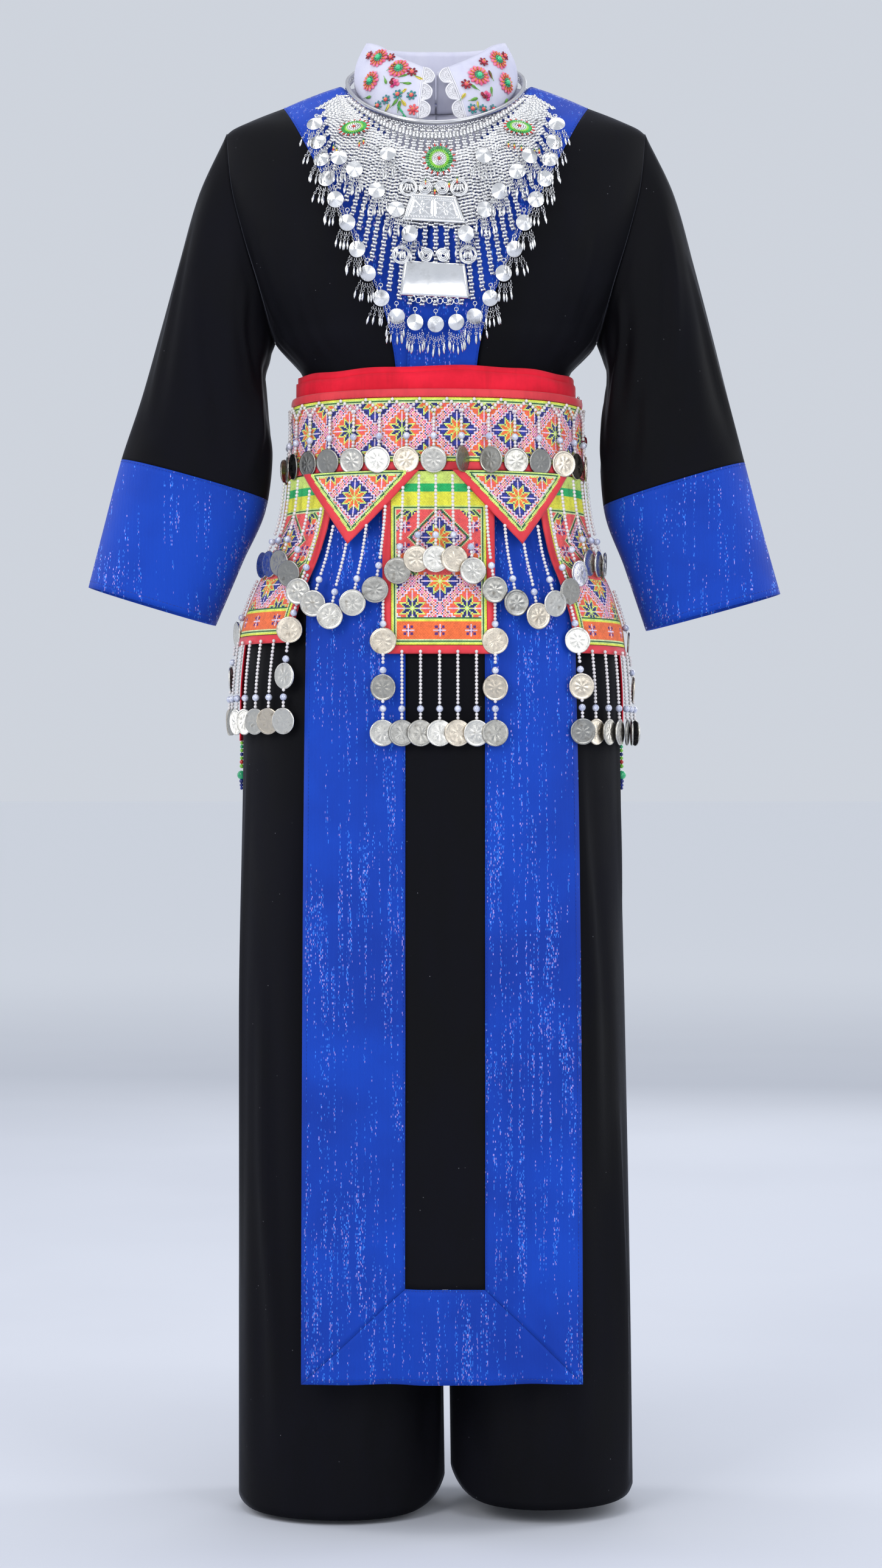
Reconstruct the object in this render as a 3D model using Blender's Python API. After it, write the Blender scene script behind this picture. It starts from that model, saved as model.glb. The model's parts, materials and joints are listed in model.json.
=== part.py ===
"""A worn costume: velvet jacket and trousers, apron, sash, coin belt, blouse collar and silver necklace.

Metres, +Z up. The costume faces -Y and hangs from the wearer's shoulders, which are the origin.
Left and right are as seen from the front: left is -X.
Every cloth piece is a thin closed wall laid on level outlines round the body.
"""
import math
from bisect import bisect_right

import bpy
from mathutils import Vector

CLOTH = 0.0020
FINE_CLOTH = 0.0014
SEAM = 0.0003
SQUARE = 2.3
UP = Vector((0.0, 0.0, 1.0))

JACKET_HEM = -0.400
ARMPIT = -0.250
ARMHOLE_TOP = 0.205
LAPEL_LIFT = 0.0038
BLOUSE_DEPTH = 0.0076
LAPEL_TOP = -0.018
BACK_NECK_HALF = 0.094
BACK_NECK_BAND = 0.055

TROUSER_TOP = -0.330
CROTCH = -0.630
CROTCH_START = -0.500
HEM_LEFT = -1.387
HEM_RIGHT = -1.377
LEG_GAP = 0.0030

SASH_TOP = -0.286
SASH_BOTTOM = -0.345
BELT_TOP = -0.3076
BELT_BOTTOM = -0.385
BINDING = 0.008
FLAP_PITCH = 0.0765
PANEL_HALF = 0.0535
TRIANGLE_HALF = 0.0610
TRIANGLE_TIP = -0.455
BEAD = 0.0032
COIN = 0.0244
COIN_THICK = 0.0016

APRON_TOP = -0.302
APRON_BOTTOM = -1.250
APRON_LEFT = -0.127
APRON_RIGHT = 0.139
CENTRE_LEFT = -0.0285
CENTRE_RIGHT = 0.0465
CENTRE_BOTTOM = -1.160

RING_HALF = 0.087
RING_FRONT = 0.0935
RING_BACK = 0.066
RING_SIDE_Z = 0.0083
RING_TILT = 0.600
RING_DIP = 0.0035
RING_TUBE = 0.0023
DISC = 0.016
EDGE_TURN = 0.0009
BACK_SHARES = (0.08, 0.26, 0.44, 0.60, 0.72)
BACK_NECK_Z = -0.012
CUFF_SEAM = 0.0008
SLEEVE_SQUARE = 2.2
LEG_SQUARE = 2.0
LEG_DEPTH = 0.90
BELT_END_ANGLE = 86.0
BELT_START_ANGLE = 90.0
BELT_END_LIFT = 0.0025
TRIANGLE_OUT = 0.0042
PANEL_STEPS = 6
ROW_COUNT = 31
ROW_MARGIN = 0.014
ROW_COIN_Z = -0.3755
ROW_OUT = 0.0040
STRIP_OUT = 0.0020
WAVE_TOP = -0.3915
WAVE_OUT = 0.0060
WAVE_DROP = 0.068
WAVE_STAGGER = 0.0027
WAVE_PITCH = 0.0155
WAVE_SIDE = 0.1560
WAVE_MORE = 0.0110
PANEL_DROP = 0.075
SASH_SIDES = 32
TAIL_ANGLE = 117.0
TAIL_HALF = 0.042
TAIL_TOP = -0.3854
TAIL_BOTTOM = -0.640
TAIL_OUT = 0.0
TAIL_DROPS = 5
TAIL_DROP = 0.048
BLOUSE_LOW = -0.200
NECK_HALF = 0.070
NECK_FRONT_Z = -0.030
NECK_BACK_Z = 0.000
NECK_STEPS = 9
COLLAR_SEAT = 0.0009
COLLAR_OPEN = 0.012
LEAF_LEFT = (8.5, 11.5)
LEAF_RIGHT = (8.5, 20.5)
RING_OPEN = 0.22
BIB_SPREAD = 72.0
BIB_OUT_TOP = 0.0052
BIB_OUT = 0.0080
BIB_THICK = 0.0020
PLATE_THICK = 0.0026
PENDANT_LINK = 0.0020
PENDANT_SEAT = 0.0012
PENDANT_OUT = 0.0019
PENDANT_SLOPE = 0.115
INNER_SHARE = 0.60
OUTER_SPOKES = (0.085, 0.175, 0.26, 0.35, 0.44, 0.53, 0.62, 0.71, 0.80, 0.89, 0.98)
INNER_SPOKES = (0.32, 0.46, 0.60, 0.72)
SIDES = ((-1.0, "left"), (1.0, "right"))

LOOKS = {
    "black_velvet": ((0.006, 0.006, 0.010), 0.75, 0.0),
    "blue_glitter_cloth": ((0.010, 0.065, 0.480), 0.45, 0.1),
    "red_sash_cloth": ((0.720, 0.010, 0.018), 0.55, 0.0),
    "coral_binding": ((0.860, 0.050, 0.075), 0.45, 0.0),
    "cross_stitch": ((0.800, 0.260, 0.130), 0.65, 0.0),
    "white_cotton": ((0.780, 0.780, 0.860), 0.75, 0.0),
    "coins_and_pearls": ((0.620, 0.610, 0.600), 0.30, 0.8),
    "silver": ((0.780, 0.780, 0.790), 0.25, 1.0),
    "rosette_enamel": ((0.350, 0.850, 0.150), 0.35, 0.0),
    "bead_ends": ((0.020, 0.350, 0.250), 0.30, 0.0),
}


class Smooth:
    """A smooth line through points, with no overshoot between them."""

    def __init__(self, points):
        points = sorted(points)
        self.at = [point[0] for point in points]
        self.value = [point[1] for point in points]
        steps = []
        for first, second in zip(points, points[1:]):
            steps.append((second[1] - first[1]) / (second[0] - first[0]))
        self.slope = [steps[0]]
        for before, after in zip(steps, steps[1:]):
            level = before * after <= 0.0
            self.slope.append(0.0 if level else 2.0 * before * after / (before + after))
        self.slope.append(steps[-1])

    def __call__(self, at):
        at = min(max(at, self.at[0]), self.at[-1])
        index = min(bisect_right(self.at, at) - 1, len(self.at) - 2)
        span = self.at[index + 1] - self.at[index]
        t = (at - self.at[index]) / span
        start, end = self.value[index], self.value[index + 1]
        leave, arrive = self.slope[index] * span, self.slope[index + 1] * span
        bend = 2.0 * (start - end) + leave + arrive
        return start + t * (leave + t * ((end - start) - leave - bend + t * bend))


def named(columns, rows):
    """Each column of a table as a smooth line against its first column."""
    names = columns.split()
    lines = {}
    for place, name in enumerate(names[1:], start=1):
        lines[name] = Smooth([(row[0], row[place]) for row in rows])
    return lines


TORSO = named("z wide front back", [
    (0.012, 0.060, 0.006, 0.030),
    (0.004, 0.094, 0.013, 0.042),
    (-0.008, 0.128, 0.026, 0.052),
    (-0.018, 0.151, 0.042, 0.060),
    (-0.036, 0.190, 0.069, 0.074),
    (-0.045, 0.206, 0.080, 0.080),
    (-0.055, 0.213, 0.088, 0.086),
    (-0.080, 0.216, 0.100, 0.094),
    (-0.120, 0.212, 0.112, 0.102),
    (-0.160, 0.203, 0.117, 0.105),
    (-0.200, 0.188, 0.115, 0.105),
    (-0.230, 0.170, 0.110, 0.103),
    (-0.242, 0.162, 0.1070, 0.1025),
    (-0.250, 0.158, 0.1060, 0.1018),
    (-0.260, 0.1495, 0.1030, 0.1000),
    (-0.270, 0.1400, 0.0990, 0.0980),
    (-0.279, 0.1325, 0.0965, 0.0968),
    (-0.288, 0.1295, 0.0955, 0.0965),
    (-0.340, 0.1285, 0.0955, 0.0965),
    (-0.400, 0.1330, 0.0975, 0.0995),
])

HIPS = named("z left right front back", [
    (-0.330, 0.1245, 0.1245, 0.0915, 0.0925),
    (-0.400, 0.1285, 0.1280, 0.0935, 0.0955),
    (-0.430, 0.1370, 0.1350, 0.0970, 0.1000),
    (-0.460, 0.1510, 0.1470, 0.1030, 0.1070),
    (-0.500, 0.1720, 0.1660, 0.1110, 0.1170),
    (-0.540, 0.1840, 0.1760, 0.1160, 0.1230),
    (-0.600, 0.1890, 0.1800, 0.1180, 0.1250),
    (-0.684, 0.1900, 0.1810, 0.1160, 0.1210),
    (-0.914, 0.1940, 0.1860, 0.1080, 0.1120),
    (-1.170, 0.1940, 0.1910, 0.1040, 0.1060),
    (-1.390, 0.1940, 0.1940, 0.1010, 0.1030),
])

SASH_LINE = named("z left right front back", [
    (-0.280, 0.1372, 0.1372, 0.1064, 0.1050),
    (-0.350, 0.1380, 0.1380, 0.1074, 0.1056),
])

BELT_LINE = named("z left right front back", [
    (-0.290, 0.1408, 0.1405, 0.1103, 0.1085),
    (-0.350, 0.1415, 0.1410, 0.1109, 0.1092),
    (-0.385, 0.1450, 0.1440, 0.1126, 0.1120),
    (-0.420, 0.1490, 0.1480, 0.1145, 0.1160),
    (-0.460, 0.1610, 0.1570, 0.1172, 0.1210),
    (-0.500, 0.1795, 0.1735, 0.1205, 0.1265),
    (-0.540, 0.1920, 0.1840, 0.1245, 0.1320),
    (-0.600, 0.1975, 0.1885, 0.1270, 0.1340),
    (-0.720, 0.1985, 0.1895, 0.1270, 0.1310),
])

APRON_LINE = named("z left right front back square", [
    (-0.300, 0.1316, 0.1316, 0.1020, 0.100, 2.3),
    (-0.345, 0.1322, 0.1322, 0.1024, 0.101, 2.3),
    (-0.385, 0.1355, 0.1345, 0.1036, 0.103, 2.3),
    (-0.420, 0.1395, 0.1375, 0.1052, 0.106, 2.3),
    (-0.460, 0.1545, 0.1505, 0.1095, 0.112, 2.3),
    (-0.500, 0.1755, 0.1695, 0.1160, 0.121, 2.3),
    (-0.540, 0.1880, 0.1800, 0.1205, 0.127, 2.3),
    (-0.600, 0.1940, 0.1850, 0.1228, 0.128, 2.4),
    (-0.700, 0.2000, 0.1950, 0.1240, 0.128, 2.6),
    (-0.900, 0.2150, 0.2150, 0.1255, 0.128, 2.9),
    (-1.260, 0.2400, 0.2450, 0.1275, 0.128, 3.3),
])

LAPEL = named("outer_z inner_x inner_z", [
    (-0.018, 0.094, 0.004),
    (-0.050, 0.077, -0.016),
    (-0.096, 0.052, -0.054),
    (-0.146, 0.026, -0.092),
    (-0.200, 0.002, -0.135),
    (-0.240, -0.012, -0.185),
    (-0.272, -0.022, -0.235),
    (-0.300, -0.027, -0.285),
    (-0.400, -0.028, -0.400),
])

LAPEL_EDGE = named("z x", [
    (-0.018, 0.151),
    (-0.050, 0.135),
    (-0.096, 0.112),
    (-0.146, 0.087),
    (-0.200, 0.062),
    (-0.240, 0.047),
    (-0.272, 0.040),
    (-0.300, 0.037),
    (-0.400, 0.031),
])

ARMHOLE = named("z x", [
    (-0.0440, 0.205),
    (-0.100, 0.199),
    (-0.150, 0.187),
    (-0.200, 0.172),
    (-0.250, 0.158),
])

PANEL_ROWS = (0.0, 0.022, 0.06, 0.12, 0.21, 0.31, 0.41, 0.50, 0.55, 0.578, 0.612, 0.640, 0.660, 0.672, 0.75, 1.0)
ARMHOLE_ROWS = 10

SLEEVES = {
    "left": named("along outer_x outer_z inner_x inner_z depth", [
        (0.00, -0.205, -0.044, -0.158, -0.250, 0.057),
        (0.16, -0.233, -0.105, -0.165, -0.266, 0.062),
        (0.34, -0.252, -0.170, -0.171, -0.283, 0.060),
        (0.54, -0.270, -0.235, -0.167, -0.318, 0.056),
        (0.76, -0.290, -0.305, -0.161, -0.358, 0.053),
        (1.00, -0.3096, -0.364, -0.1656, -0.404, 0.051),
        (1.50, -0.326, -0.427, -0.191, -0.466, 0.050),
        (2.00, -0.342, -0.4896, -0.217, -0.527, 0.048),
    ]),
    "right": named("along outer_x outer_z inner_x inner_z depth", [
        (0.00, 0.205, -0.044, 0.158, -0.250, 0.057),
        (0.16, 0.234, -0.105, 0.165, -0.267, 0.062),
        (0.34, 0.254, -0.175, 0.170, -0.286, 0.060),
        (0.54, 0.272, -0.243, 0.165, -0.328, 0.056),
        (0.76, 0.288, -0.306, 0.162, -0.367, 0.053),
        (1.00, 0.304, -0.367, 0.165, -0.409, 0.051),
        (1.50, 0.321, -0.432, 0.186, -0.470, 0.050),
        (2.00, 0.339, -0.496, 0.207, -0.532, 0.048),
    ]),
}

TORSO_FOLDS = [
    # angle in degrees, top z, bottom z, height, width in degrees, lean in degrees
    (38.0, -0.120, -0.276, 0.0035, 7.0, 8.0),
    (60.0, -0.165, -0.277, 0.0026, 8.0, 4.0),
    (76.0, -0.190, -0.277, 0.0018, 6.0, 0.0),
    (-34.0, -0.130, -0.276, 0.0032, 6.0, -8.0),
    (-55.0, -0.160, -0.277, 0.0026, 8.0, -5.0),
    (-74.0, -0.195, -0.277, 0.0018, 6.0, 0.0),
    (118.0, -0.130, -0.277, 0.0035, 7.0, -6.0),
    (142.0, -0.160, -0.277, 0.0040, 7.0, -4.0),
    (-120.0, -0.140, -0.277, 0.0040, 7.0, 6.0),
    (-146.0, -0.170, -0.277, 0.0035, 7.0, 4.0),
    (-176.0, -0.180, -0.277, 0.0030, 6.0, 0.0),
]

SLEEVE_FOLDS = [
    # place round the sleeve in turns, start, end, height, width in turns, lean in turns
    (0.16, 0.05, 0.95, 0.0045, 0.045, 0.05),
    (0.30, 0.00, 0.60, 0.0050, 0.040, 0.04),
    (0.42, 0.02, 0.75, 0.0050, 0.040, -0.03),
    (0.60, 0.00, 0.70, 0.0045, 0.045, 0.05),
    (0.82, 0.10, 0.95, 0.0045, 0.050, -0.04),
]

LEG_FOLDS = [
    # place across the panel, top z, bottom z, height, width, lean
    (0.30, -0.720, -1.390, 0.0050, 0.085, 0.06),
    (0.62, -0.700, -1.390, 0.0060, 0.080, -0.05),
    (0.80, -0.760, -1.390, 0.0040, 0.060, 0.04),
]

BIB_EDGE = named("spoke x z", [
    (0.00, 0.000, -0.2325),
    (0.10, 0.022, -0.2300),
    (0.20, 0.040, -0.2195),
    (0.30, 0.056, -0.197),
    (0.42, 0.070, -0.168),
    (0.55, 0.0835, -0.134),
    (0.68, 0.099, -0.104),
    (0.80, 0.1060, -0.079),
    (0.90, 0.1105, -0.060),
    (1.00, 0.1140, -0.040),
])


LEG_SPLIT = Smooth([(-1.387, 0.012), (-0.900, 0.005), (-0.600, 0.0), (-0.330, 0.0)])
FOLD_Z = Smooth([(0.0, 0.004), (30.0, 0.020), (60.0, 0.038), (90.0, 0.046), (180.0, 0.050)])
LEAF_Z = Smooth([(0.0, -0.046), (20.0, -0.045), (45.0, -0.034), (70.0, -0.012), (90.0, 0.004),
                 (135.0, 0.006), (180.0, 0.001)])

PANELS = (
    # name, run of its middle along the belt's lower edge, bottom z
    ("left", -0.153, -0.548),
    ("centre", 0.0025, -0.560),
    ("right", 0.153, -0.558),
)

PLATES = (
    # name, top z, bottom z, half width at the top and at the bottom, x of the middle, seat
    ("lock_plate_upper", -0.1283, -0.1530, 0.0205, 0.0299, -0.0018, 0.0010),
    ("lock_plate_lower", -0.1895, -0.2205, 0.0280, 0.0325, -0.0010, 0.0002),
)

ROSETTES = (
    # name, x, z, half width, half height, seat
    ("rosette_centre", 0.0032, -0.0932, 0.0160, 0.0160, -0.0006),
    ("rosette_left", -0.0768, -0.0618, 0.0150, 0.0085, 0.0010),
    ("rosette_right", 0.0784, -0.0612, 0.0150, 0.0085, 0.0010),
)


def clear_scene():
    for thing in list(bpy.data.objects):
        bpy.data.objects.remove(thing, do_unlink=True)


def look(name):
    material = bpy.data.materials.get(name)
    if material is None:
        colour, roughness, metallic = LOOKS[name]
        material = bpy.data.materials.new(name)
        material.use_nodes = True
        shader = material.node_tree.nodes["Principled BSDF"]
        shader.inputs["Base Color"].default_value = (*colour, 1.0)
        shader.inputs["Roughness"].default_value = roughness
        shader.inputs["Metallic"].default_value = metallic
    return material


def mix(first, second, share):
    return first + (second - first) * share


def steps(start, end, count):
    return [mix(start, end, index / count) for index in range(count + 1)]


def power(value, exponent):
    return math.copysign(abs(value) ** exponent, value)


def rise(value, start, end):
    """0 before start, 1 after end and a soft ramp between."""
    t = min(max((value - start) / (end - start), 0.0), 1.0)
    return t * t * (3.0 - 2.0 * t)


def fold_height(folds, around, down):
    """The height of the soft ridges that a table of folds raises at one place."""
    total = 0.0
    for place, start, end, height, width, lean in folds:
        share = (down - start) / (end - start)
        if 0.0 < share < 1.0:
            middle = place + lean * (share - 0.5)
            window = math.sin(math.pi * min(share, 1.0)) ** 0.8
            total += height * window * math.exp(-((around - middle) / width) ** 2)
    return total


class Outline:
    """A level outline round the body, by angle from the front or by run along it."""

    SAMPLES = 120

    def __init__(self, left, right, front, back, square):
        self.left = left
        self.right = right
        self.front = front
        self.back = back
        self.square = square
        self.runs = None

    def point(self, angle, out=0.0):
        side, fore = math.sin(angle), math.cos(angle)
        wide = self.right if side > 0.0 else self.left
        deep = self.front if fore > 0.0 else self.back
        x = wide * power(side, 2.0 / self.square)
        y = -deep * power(fore, 2.0 / self.square)
        if out:
            facing = self.facing(x, y)
            x += facing[0] * out
            y += facing[1] * out
        return x, y

    def facing(self, x, y):
        wide = self.right if x > 0.0 else self.left
        deep = self.front if y < 0.0 else self.back
        along_x = power(x / wide, self.square - 1.0) / wide
        along_y = power(y / deep, self.square - 1.0) / deep
        size = math.hypot(along_x, along_y)
        return along_x / size, along_y / size

    def table(self):
        """Runs along the outline from the front centre, at even angles to each side."""
        if self.runs is None:
            self.runs = {}
            for way in (-1.0, 1.0):
                total = 0.0
                runs = [0.0]
                before = self.point(0.0)
                for index in range(1, self.SAMPLES + 1):
                    place = self.point(way * math.pi * index / self.SAMPLES)
                    total += math.hypot(place[0] - before[0], place[1] - before[1])
                    runs.append(total)
                    before = place
                self.runs[way] = runs
        return self.runs

    def angle_at(self, run):
        way = -1.0 if run < 0.0 else 1.0
        runs = self.table()[way]
        run = min(abs(run), runs[-1])
        index = min(bisect_right(runs, run) - 1, self.SAMPLES - 1)
        share = (run - runs[index]) / (runs[index + 1] - runs[index])
        return way * math.pi * (index + share) / self.SAMPLES

    def run_at(self, angle):
        way = -1.0 if angle < 0.0 else 1.0
        runs = self.table()[way]
        place = abs(angle) / math.pi * self.SAMPLES
        index = min(int(place), self.SAMPLES - 1)
        return way * mix(runs[index], runs[index + 1], place - index)


OUTLINES = {}


def outline(line, z):
    """The outline of a table of levels at one height, kept for the next use."""
    key = (id(line), round(z, 5))
    if key not in OUTLINES:
        if "wide" in line:
            left = right = line["wide"](z)
        else:
            left, right = line["left"](z), line["right"](z)
        square = line["square"](z) if "square" in line else SQUARE
        OUTLINES[key] = Outline(left, right, line["front"](z), line["back"](z), square)
    return OUTLINES[key]


def at_run(line, run, z, out=0.0):
    """A point by its run along the outline from the front centre."""
    level = outline(line, z)
    x, y = level.point(level.angle_at(run), out)
    return Vector((x, y, z))


def at_angle(line, angle, z, out=0.0):
    x, y = outline(line, z).point(angle, out)
    return Vector((x, y, z))


def on_flap(angle, run, z, out=0.0):
    """A point on the belt's hanging cloth, by its run from the flap's own middle line."""
    level = outline(BELT_LINE, z)
    x, y = level.point(level.angle_at(level.run_at(angle) + run), out)
    return Vector((x, y, z))


def spread_normal(place, u, v, inside):
    """The outward normal of a surface given by a function of two shares."""
    e = 0.002
    across = place(u + e, v) - place(u - e, v)
    down = place(u, v + e) - place(u, v - e)
    normal = across.cross(down).normalized()
    if normal.dot(place(u, v) - inside(place(u, v))) < 0.0:
        normal.negate()
    return normal


def level_inside(point):
    return Vector((0.0, 0.0, point.z))


def solid(name, vertices, faces, finish):
    """One closed mesh object with its faces turned outward."""
    volume = 0.0
    for face in faces:
        first = vertices[face[0]]
        for second, third in zip(face[1:], face[2:]):
            volume += first.dot(vertices[second].cross(vertices[third]))
    if volume < 0.0:
        faces = [tuple(reversed(face)) for face in faces]
    mesh = bpy.data.meshes.new(name)
    mesh.from_pydata(vertices, [], faces)
    mesh.materials.append(look(finish))
    mesh.shade_smooth()
    mesh.set_sharp_from_angle(angle=math.radians(35.0))
    thing = bpy.data.objects.new(name, mesh)
    bpy.context.scene.collection.objects.link(thing)
    return thing


def wall_of(name, grid, finish, ring=False):
    """A closed wall from rows of outer and inner point pairs."""
    rows, columns = len(grid), len(grid[0])
    vertices = [pair[0] for row in grid for pair in row]
    vertices += [pair[1] for row in grid for pair in row]
    inner = rows * columns
    faces = []

    def square(a, b, c, d):
        faces.append((a, b, c))
        faces.append((a, c, d))

    last = columns if ring else columns - 1
    for row in range(rows - 1):
        for column in range(last):
            here = row * columns + column
            beside = row * columns + (column + 1) % columns
            square(here, beside, beside + columns, here + columns)
            square(inner + here, inner + here + columns, inner + beside + columns, inner + beside)
    for row, turned in ((0, False), (rows - 1, True)):
        for column in range(last):
            here = row * columns + column
            beside = row * columns + (column + 1) % columns
            if turned:
                square(beside, inner + beside, inner + here, here)
            else:
                square(beside, here, inner + here, inner + beside)
    if not ring:
        for column, turned in ((0, False), (columns - 1, True)):
            for row in range(rows - 1):
                here = row * columns + column
                below = here + columns
                if turned:
                    square(here, inner + here, inner + below, below)
                else:
                    square(here, below, inner + below, inner + here)
    return solid(name, vertices, faces, finish)


def wall(name, place, across, down, thick, finish, inside=level_inside, ring=False, normal=None, lift=None):
    """A wall whose outer face is place(u, v), with its inner face one thickness inside."""
    grid = []
    for v in down:
        row = []
        for u in across:
            facing = normal(u, v) if normal else spread_normal(place, u, v, inside)
            point = place(u, v)
            if lift:
                point = point + facing * lift(u, v)
            row.append((point, point - facing * thick))
        grid.append(row)
    return wall_of(name, grid, finish, ring)


def torso_angle(x, z):
    share = min(abs(x) / TORSO["wide"](z), 1.0)
    turn = min(math.asin(share ** (SQUARE / 2.0)), math.pi / 2.0 - EDGE_TURN)
    return math.copysign(turn, x)


def torso_normal(point):
    """The outward normal of the jacket's surface, which stays true along the shoulder ridge."""
    e = 0.0005
    wide = TORSO["wide"](point.z)
    side = "front" if point.y < 0.0 else "back"
    deep = TORSO[side](point.z)
    wide_slope = (TORSO["wide"](point.z + e) - TORSO["wide"](point.z - e)) / (2.0 * e)
    deep_slope = (TORSO[side](point.z + e) - TORSO[side](point.z - e)) / (2.0 * e)
    across = abs(point.x) / wide
    along = abs(point.y) / deep
    x = power(point.x / wide, SQUARE - 1.0) / wide
    y = power(point.y / deep, SQUARE - 1.0) / deep
    z = -(across ** SQUARE * wide_slope / wide + along ** SQUARE * deep_slope / deep)
    return Vector((x, y, z)).normalized()


def torso_at(angle, z, out=0.0):
    point = at_angle(TORSO, angle, z)
    return point + torso_normal(point) * out


def torso_point(x, z, back=False, out=0.0):
    angle = torso_angle(x, z)
    if back:
        angle = math.copysign(math.pi, x) - angle
    return torso_at(angle, z, out)


def ridge(x):
    """The height of the shoulder line at a distance from the middle."""
    low, high = -0.055, 0.012
    for _ in range(40):
        middle = (low + high) / 2.0
        if TORSO["wide"](middle) > abs(x):
            low = middle
        else:
            high = middle
    return (low + high) / 2.0


def panel_side(share):
    """The jacket panel's outer edge: down the armhole, then down the side seam."""
    z = mix(ridge(ARMHOLE_TOP), JACKET_HEM, share)
    if z > ARMPIT:
        return ARMHOLE["x"](z), z
    return TORSO["wide"](z), z


def armhole_facing(point):
    """The shared seam direction at the armhole, between the torso's and the sleeve's own."""
    way = math.copysign(1.0, point.x)
    high = Vector((way * ARMHOLE_TOP, 0.0, ridge(ARMHOLE_TOP)))
    low = Vector((way * ARMHOLE["x"](ARMPIT), 0.0, ARMPIT))
    axis = (high - low).cross(Vector((0.0, way, 0.0))).normalized()
    arm = point - (high + low) / 2.0
    straight = (arm - axis * arm.dot(axis)).normalized()
    return (straight + 0.3 * torso_normal(point)).normalized()


def torso_row(angles, z_values, out, thick, shares, armhole, on_armhole):
    """One row of a torso wall, raised by the folds, with its last point mitred on the armhole."""
    row = []
    for angle, z, share in zip(angles, z_values, shares):
        point = at_angle(TORSO, angle, z)
        facing = torso_normal(point)
        degrees = math.degrees(angle)
        degrees = degrees - 360.0 if degrees > 180.0 else degrees
        fade = 1.0 - share ** 4 * rise(z, ARMPIT - 0.02, ARMPIT) if armhole else 1.0
        raised = out + fold_height(TORSO_FOLDS, degrees, z) * fade
        point = point + facing * raised
        if on_armhole and share > 0.999:
            facing = armhole_facing(point)
        row.append((point, point - facing * thick))
    return row


def torso_wall(name, start, end, shares, down, thick, finish, back=False, out=0.0, armhole=False):
    """A piece on the torso between two edge lines, each giving x and z at a share of its length."""
    grid = []
    for v in down:
        x0, z0 = start(v)
        x1, z1 = end(v)
        turn0, turn1 = torso_angle(x0, z0), torso_angle(x1, z1)
        angles = [mix(turn0, turn1, u) for u in shares]
        if back:
            angles = [math.pi - angle for angle in angles]
        z_values = [mix(z0, z1, u) for u in shares]
        here = out(v) if callable(out) else out
        on_armhole = armhole and z1 >= ARMPIT - 0.0005
        grid.append(torso_row(angles, z_values, here, thick, shares, armhole, on_armhole))
    return wall_of(name, grid, finish)


def jacket_fronts():
    for way, name in SIDES:
        def lapel_side(v, way=way):
            z = mix(LAPEL_TOP, JACKET_HEM, v)
            return way * (LAPEL_EDGE["x"](z) + SEAM), z

        def outer_side(v, way=way):
            x, z = panel_side(v)
            return way * x, z

        torso_wall(f"jacket_front_{name}", lapel_side, outer_side, steps(0.0, 1.0, 5), PANEL_ROWS,
                   CLOTH, "black_velvet", armhole=True)


def back_band_edge(share, low):
    """The back neck band's upper or lower edge, from the middle of the back to the shoulder."""
    if low:
        end_x, middle_z = LAPEL_EDGE["x"](0.0), BACK_NECK_Z - BACK_NECK_BAND
    else:
        end_x, middle_z = BACK_NECK_HALF, BACK_NECK_Z
    return end_x * share, mix(middle_z, ridge(end_x), share * share)


def jacket_back():
    shoulder = BACK_SHARES[-1]
    end_x = LAPEL_EDGE["x"](0.0)
    half = BACK_SHARES + (0.86, 1.0)
    shares = [-share for share in reversed(half)] + list(half)
    tops = []
    for share in shares:
        if abs(share) < shoulder:
            x, z = back_band_edge(abs(share) / shoulder, True)
            z -= 2.5 * SEAM
            tops.append((torso_angle(x, z), z))
        else:
            x = mix(end_x + 2.0 * SEAM, ARMHOLE_TOP, (abs(share) - shoulder) / (1.0 - shoulder))
            tops.append((torso_angle(x, ridge(x)), ridge(x)))
    quarter = math.pi / 2.0 - EDGE_TURN
    grid = []
    for v in PANEL_ROWS:
        side_x, side_z = panel_side(v)
        side_turn = torso_angle(side_x, side_z)
        spread = rise(v, 0.0, 0.14)
        angles, z_values = [], []
        for share, (top_turn, top_z) in zip(shares, tops):
            turn = side_turn * mix(top_turn / quarter, abs(share), spread)
            angles.append(math.copysign(math.pi - turn, share))
            z_values.append(mix(top_z, JACKET_HEM, v))
        sizes = [abs(share) for share in shares]
        on_armhole = side_z >= ARMPIT - 0.0005
        grid.append(torso_row(angles, z_values, 0.0, CLOTH, sizes, True, on_armhole))
    wall_of("jacket_back", grid, "black_velvet")


def lapels():
    for way, name in SIDES:
        def outer_side(v, way=way):
            z = mix(LAPEL_TOP, JACKET_HEM, v)
            return way * LAPEL_EDGE["x"](z), z

        def inner_side(v, way=way):
            z = mix(LAPEL_TOP, JACKET_HEM, v)
            return way * LAPEL["inner_x"](z), LAPEL["inner_z"](z)

        def lift(v, way=way):
            return LAPEL_LIFT * rise(v, 0.10, 0.40) if way > 0.0 else 0.0

        torso_wall(f"lapel_band_{name}", inner_side, outer_side, (0.0, 0.33, 0.67, 1.0), PANEL_ROWS,
                   CLOTH, "blue_glitter_cloth", out=lift)


def back_neck_band():
    grid = []
    for v in (0.0, 0.5, 1.0):
        row = []
        shares = [share / BACK_SHARES[-1] for share in BACK_SHARES]
        for u in [-share for share in reversed(shares)] + shares:
            high_x, high_z = back_band_edge(abs(u), False)
            low_x, low_z = back_band_edge(abs(u), True)
            turn = mix(torso_angle(high_x, high_z), torso_angle(low_x, low_z), v)
            point = at_angle(TORSO, math.copysign(math.pi - turn, u), mix(high_z, low_z, v))
            row.append((point, point - torso_normal(point) * CLOTH))
        grid.append(row)
    wall_of("back_neck_band", grid, "blue_glitter_cloth")


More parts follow.
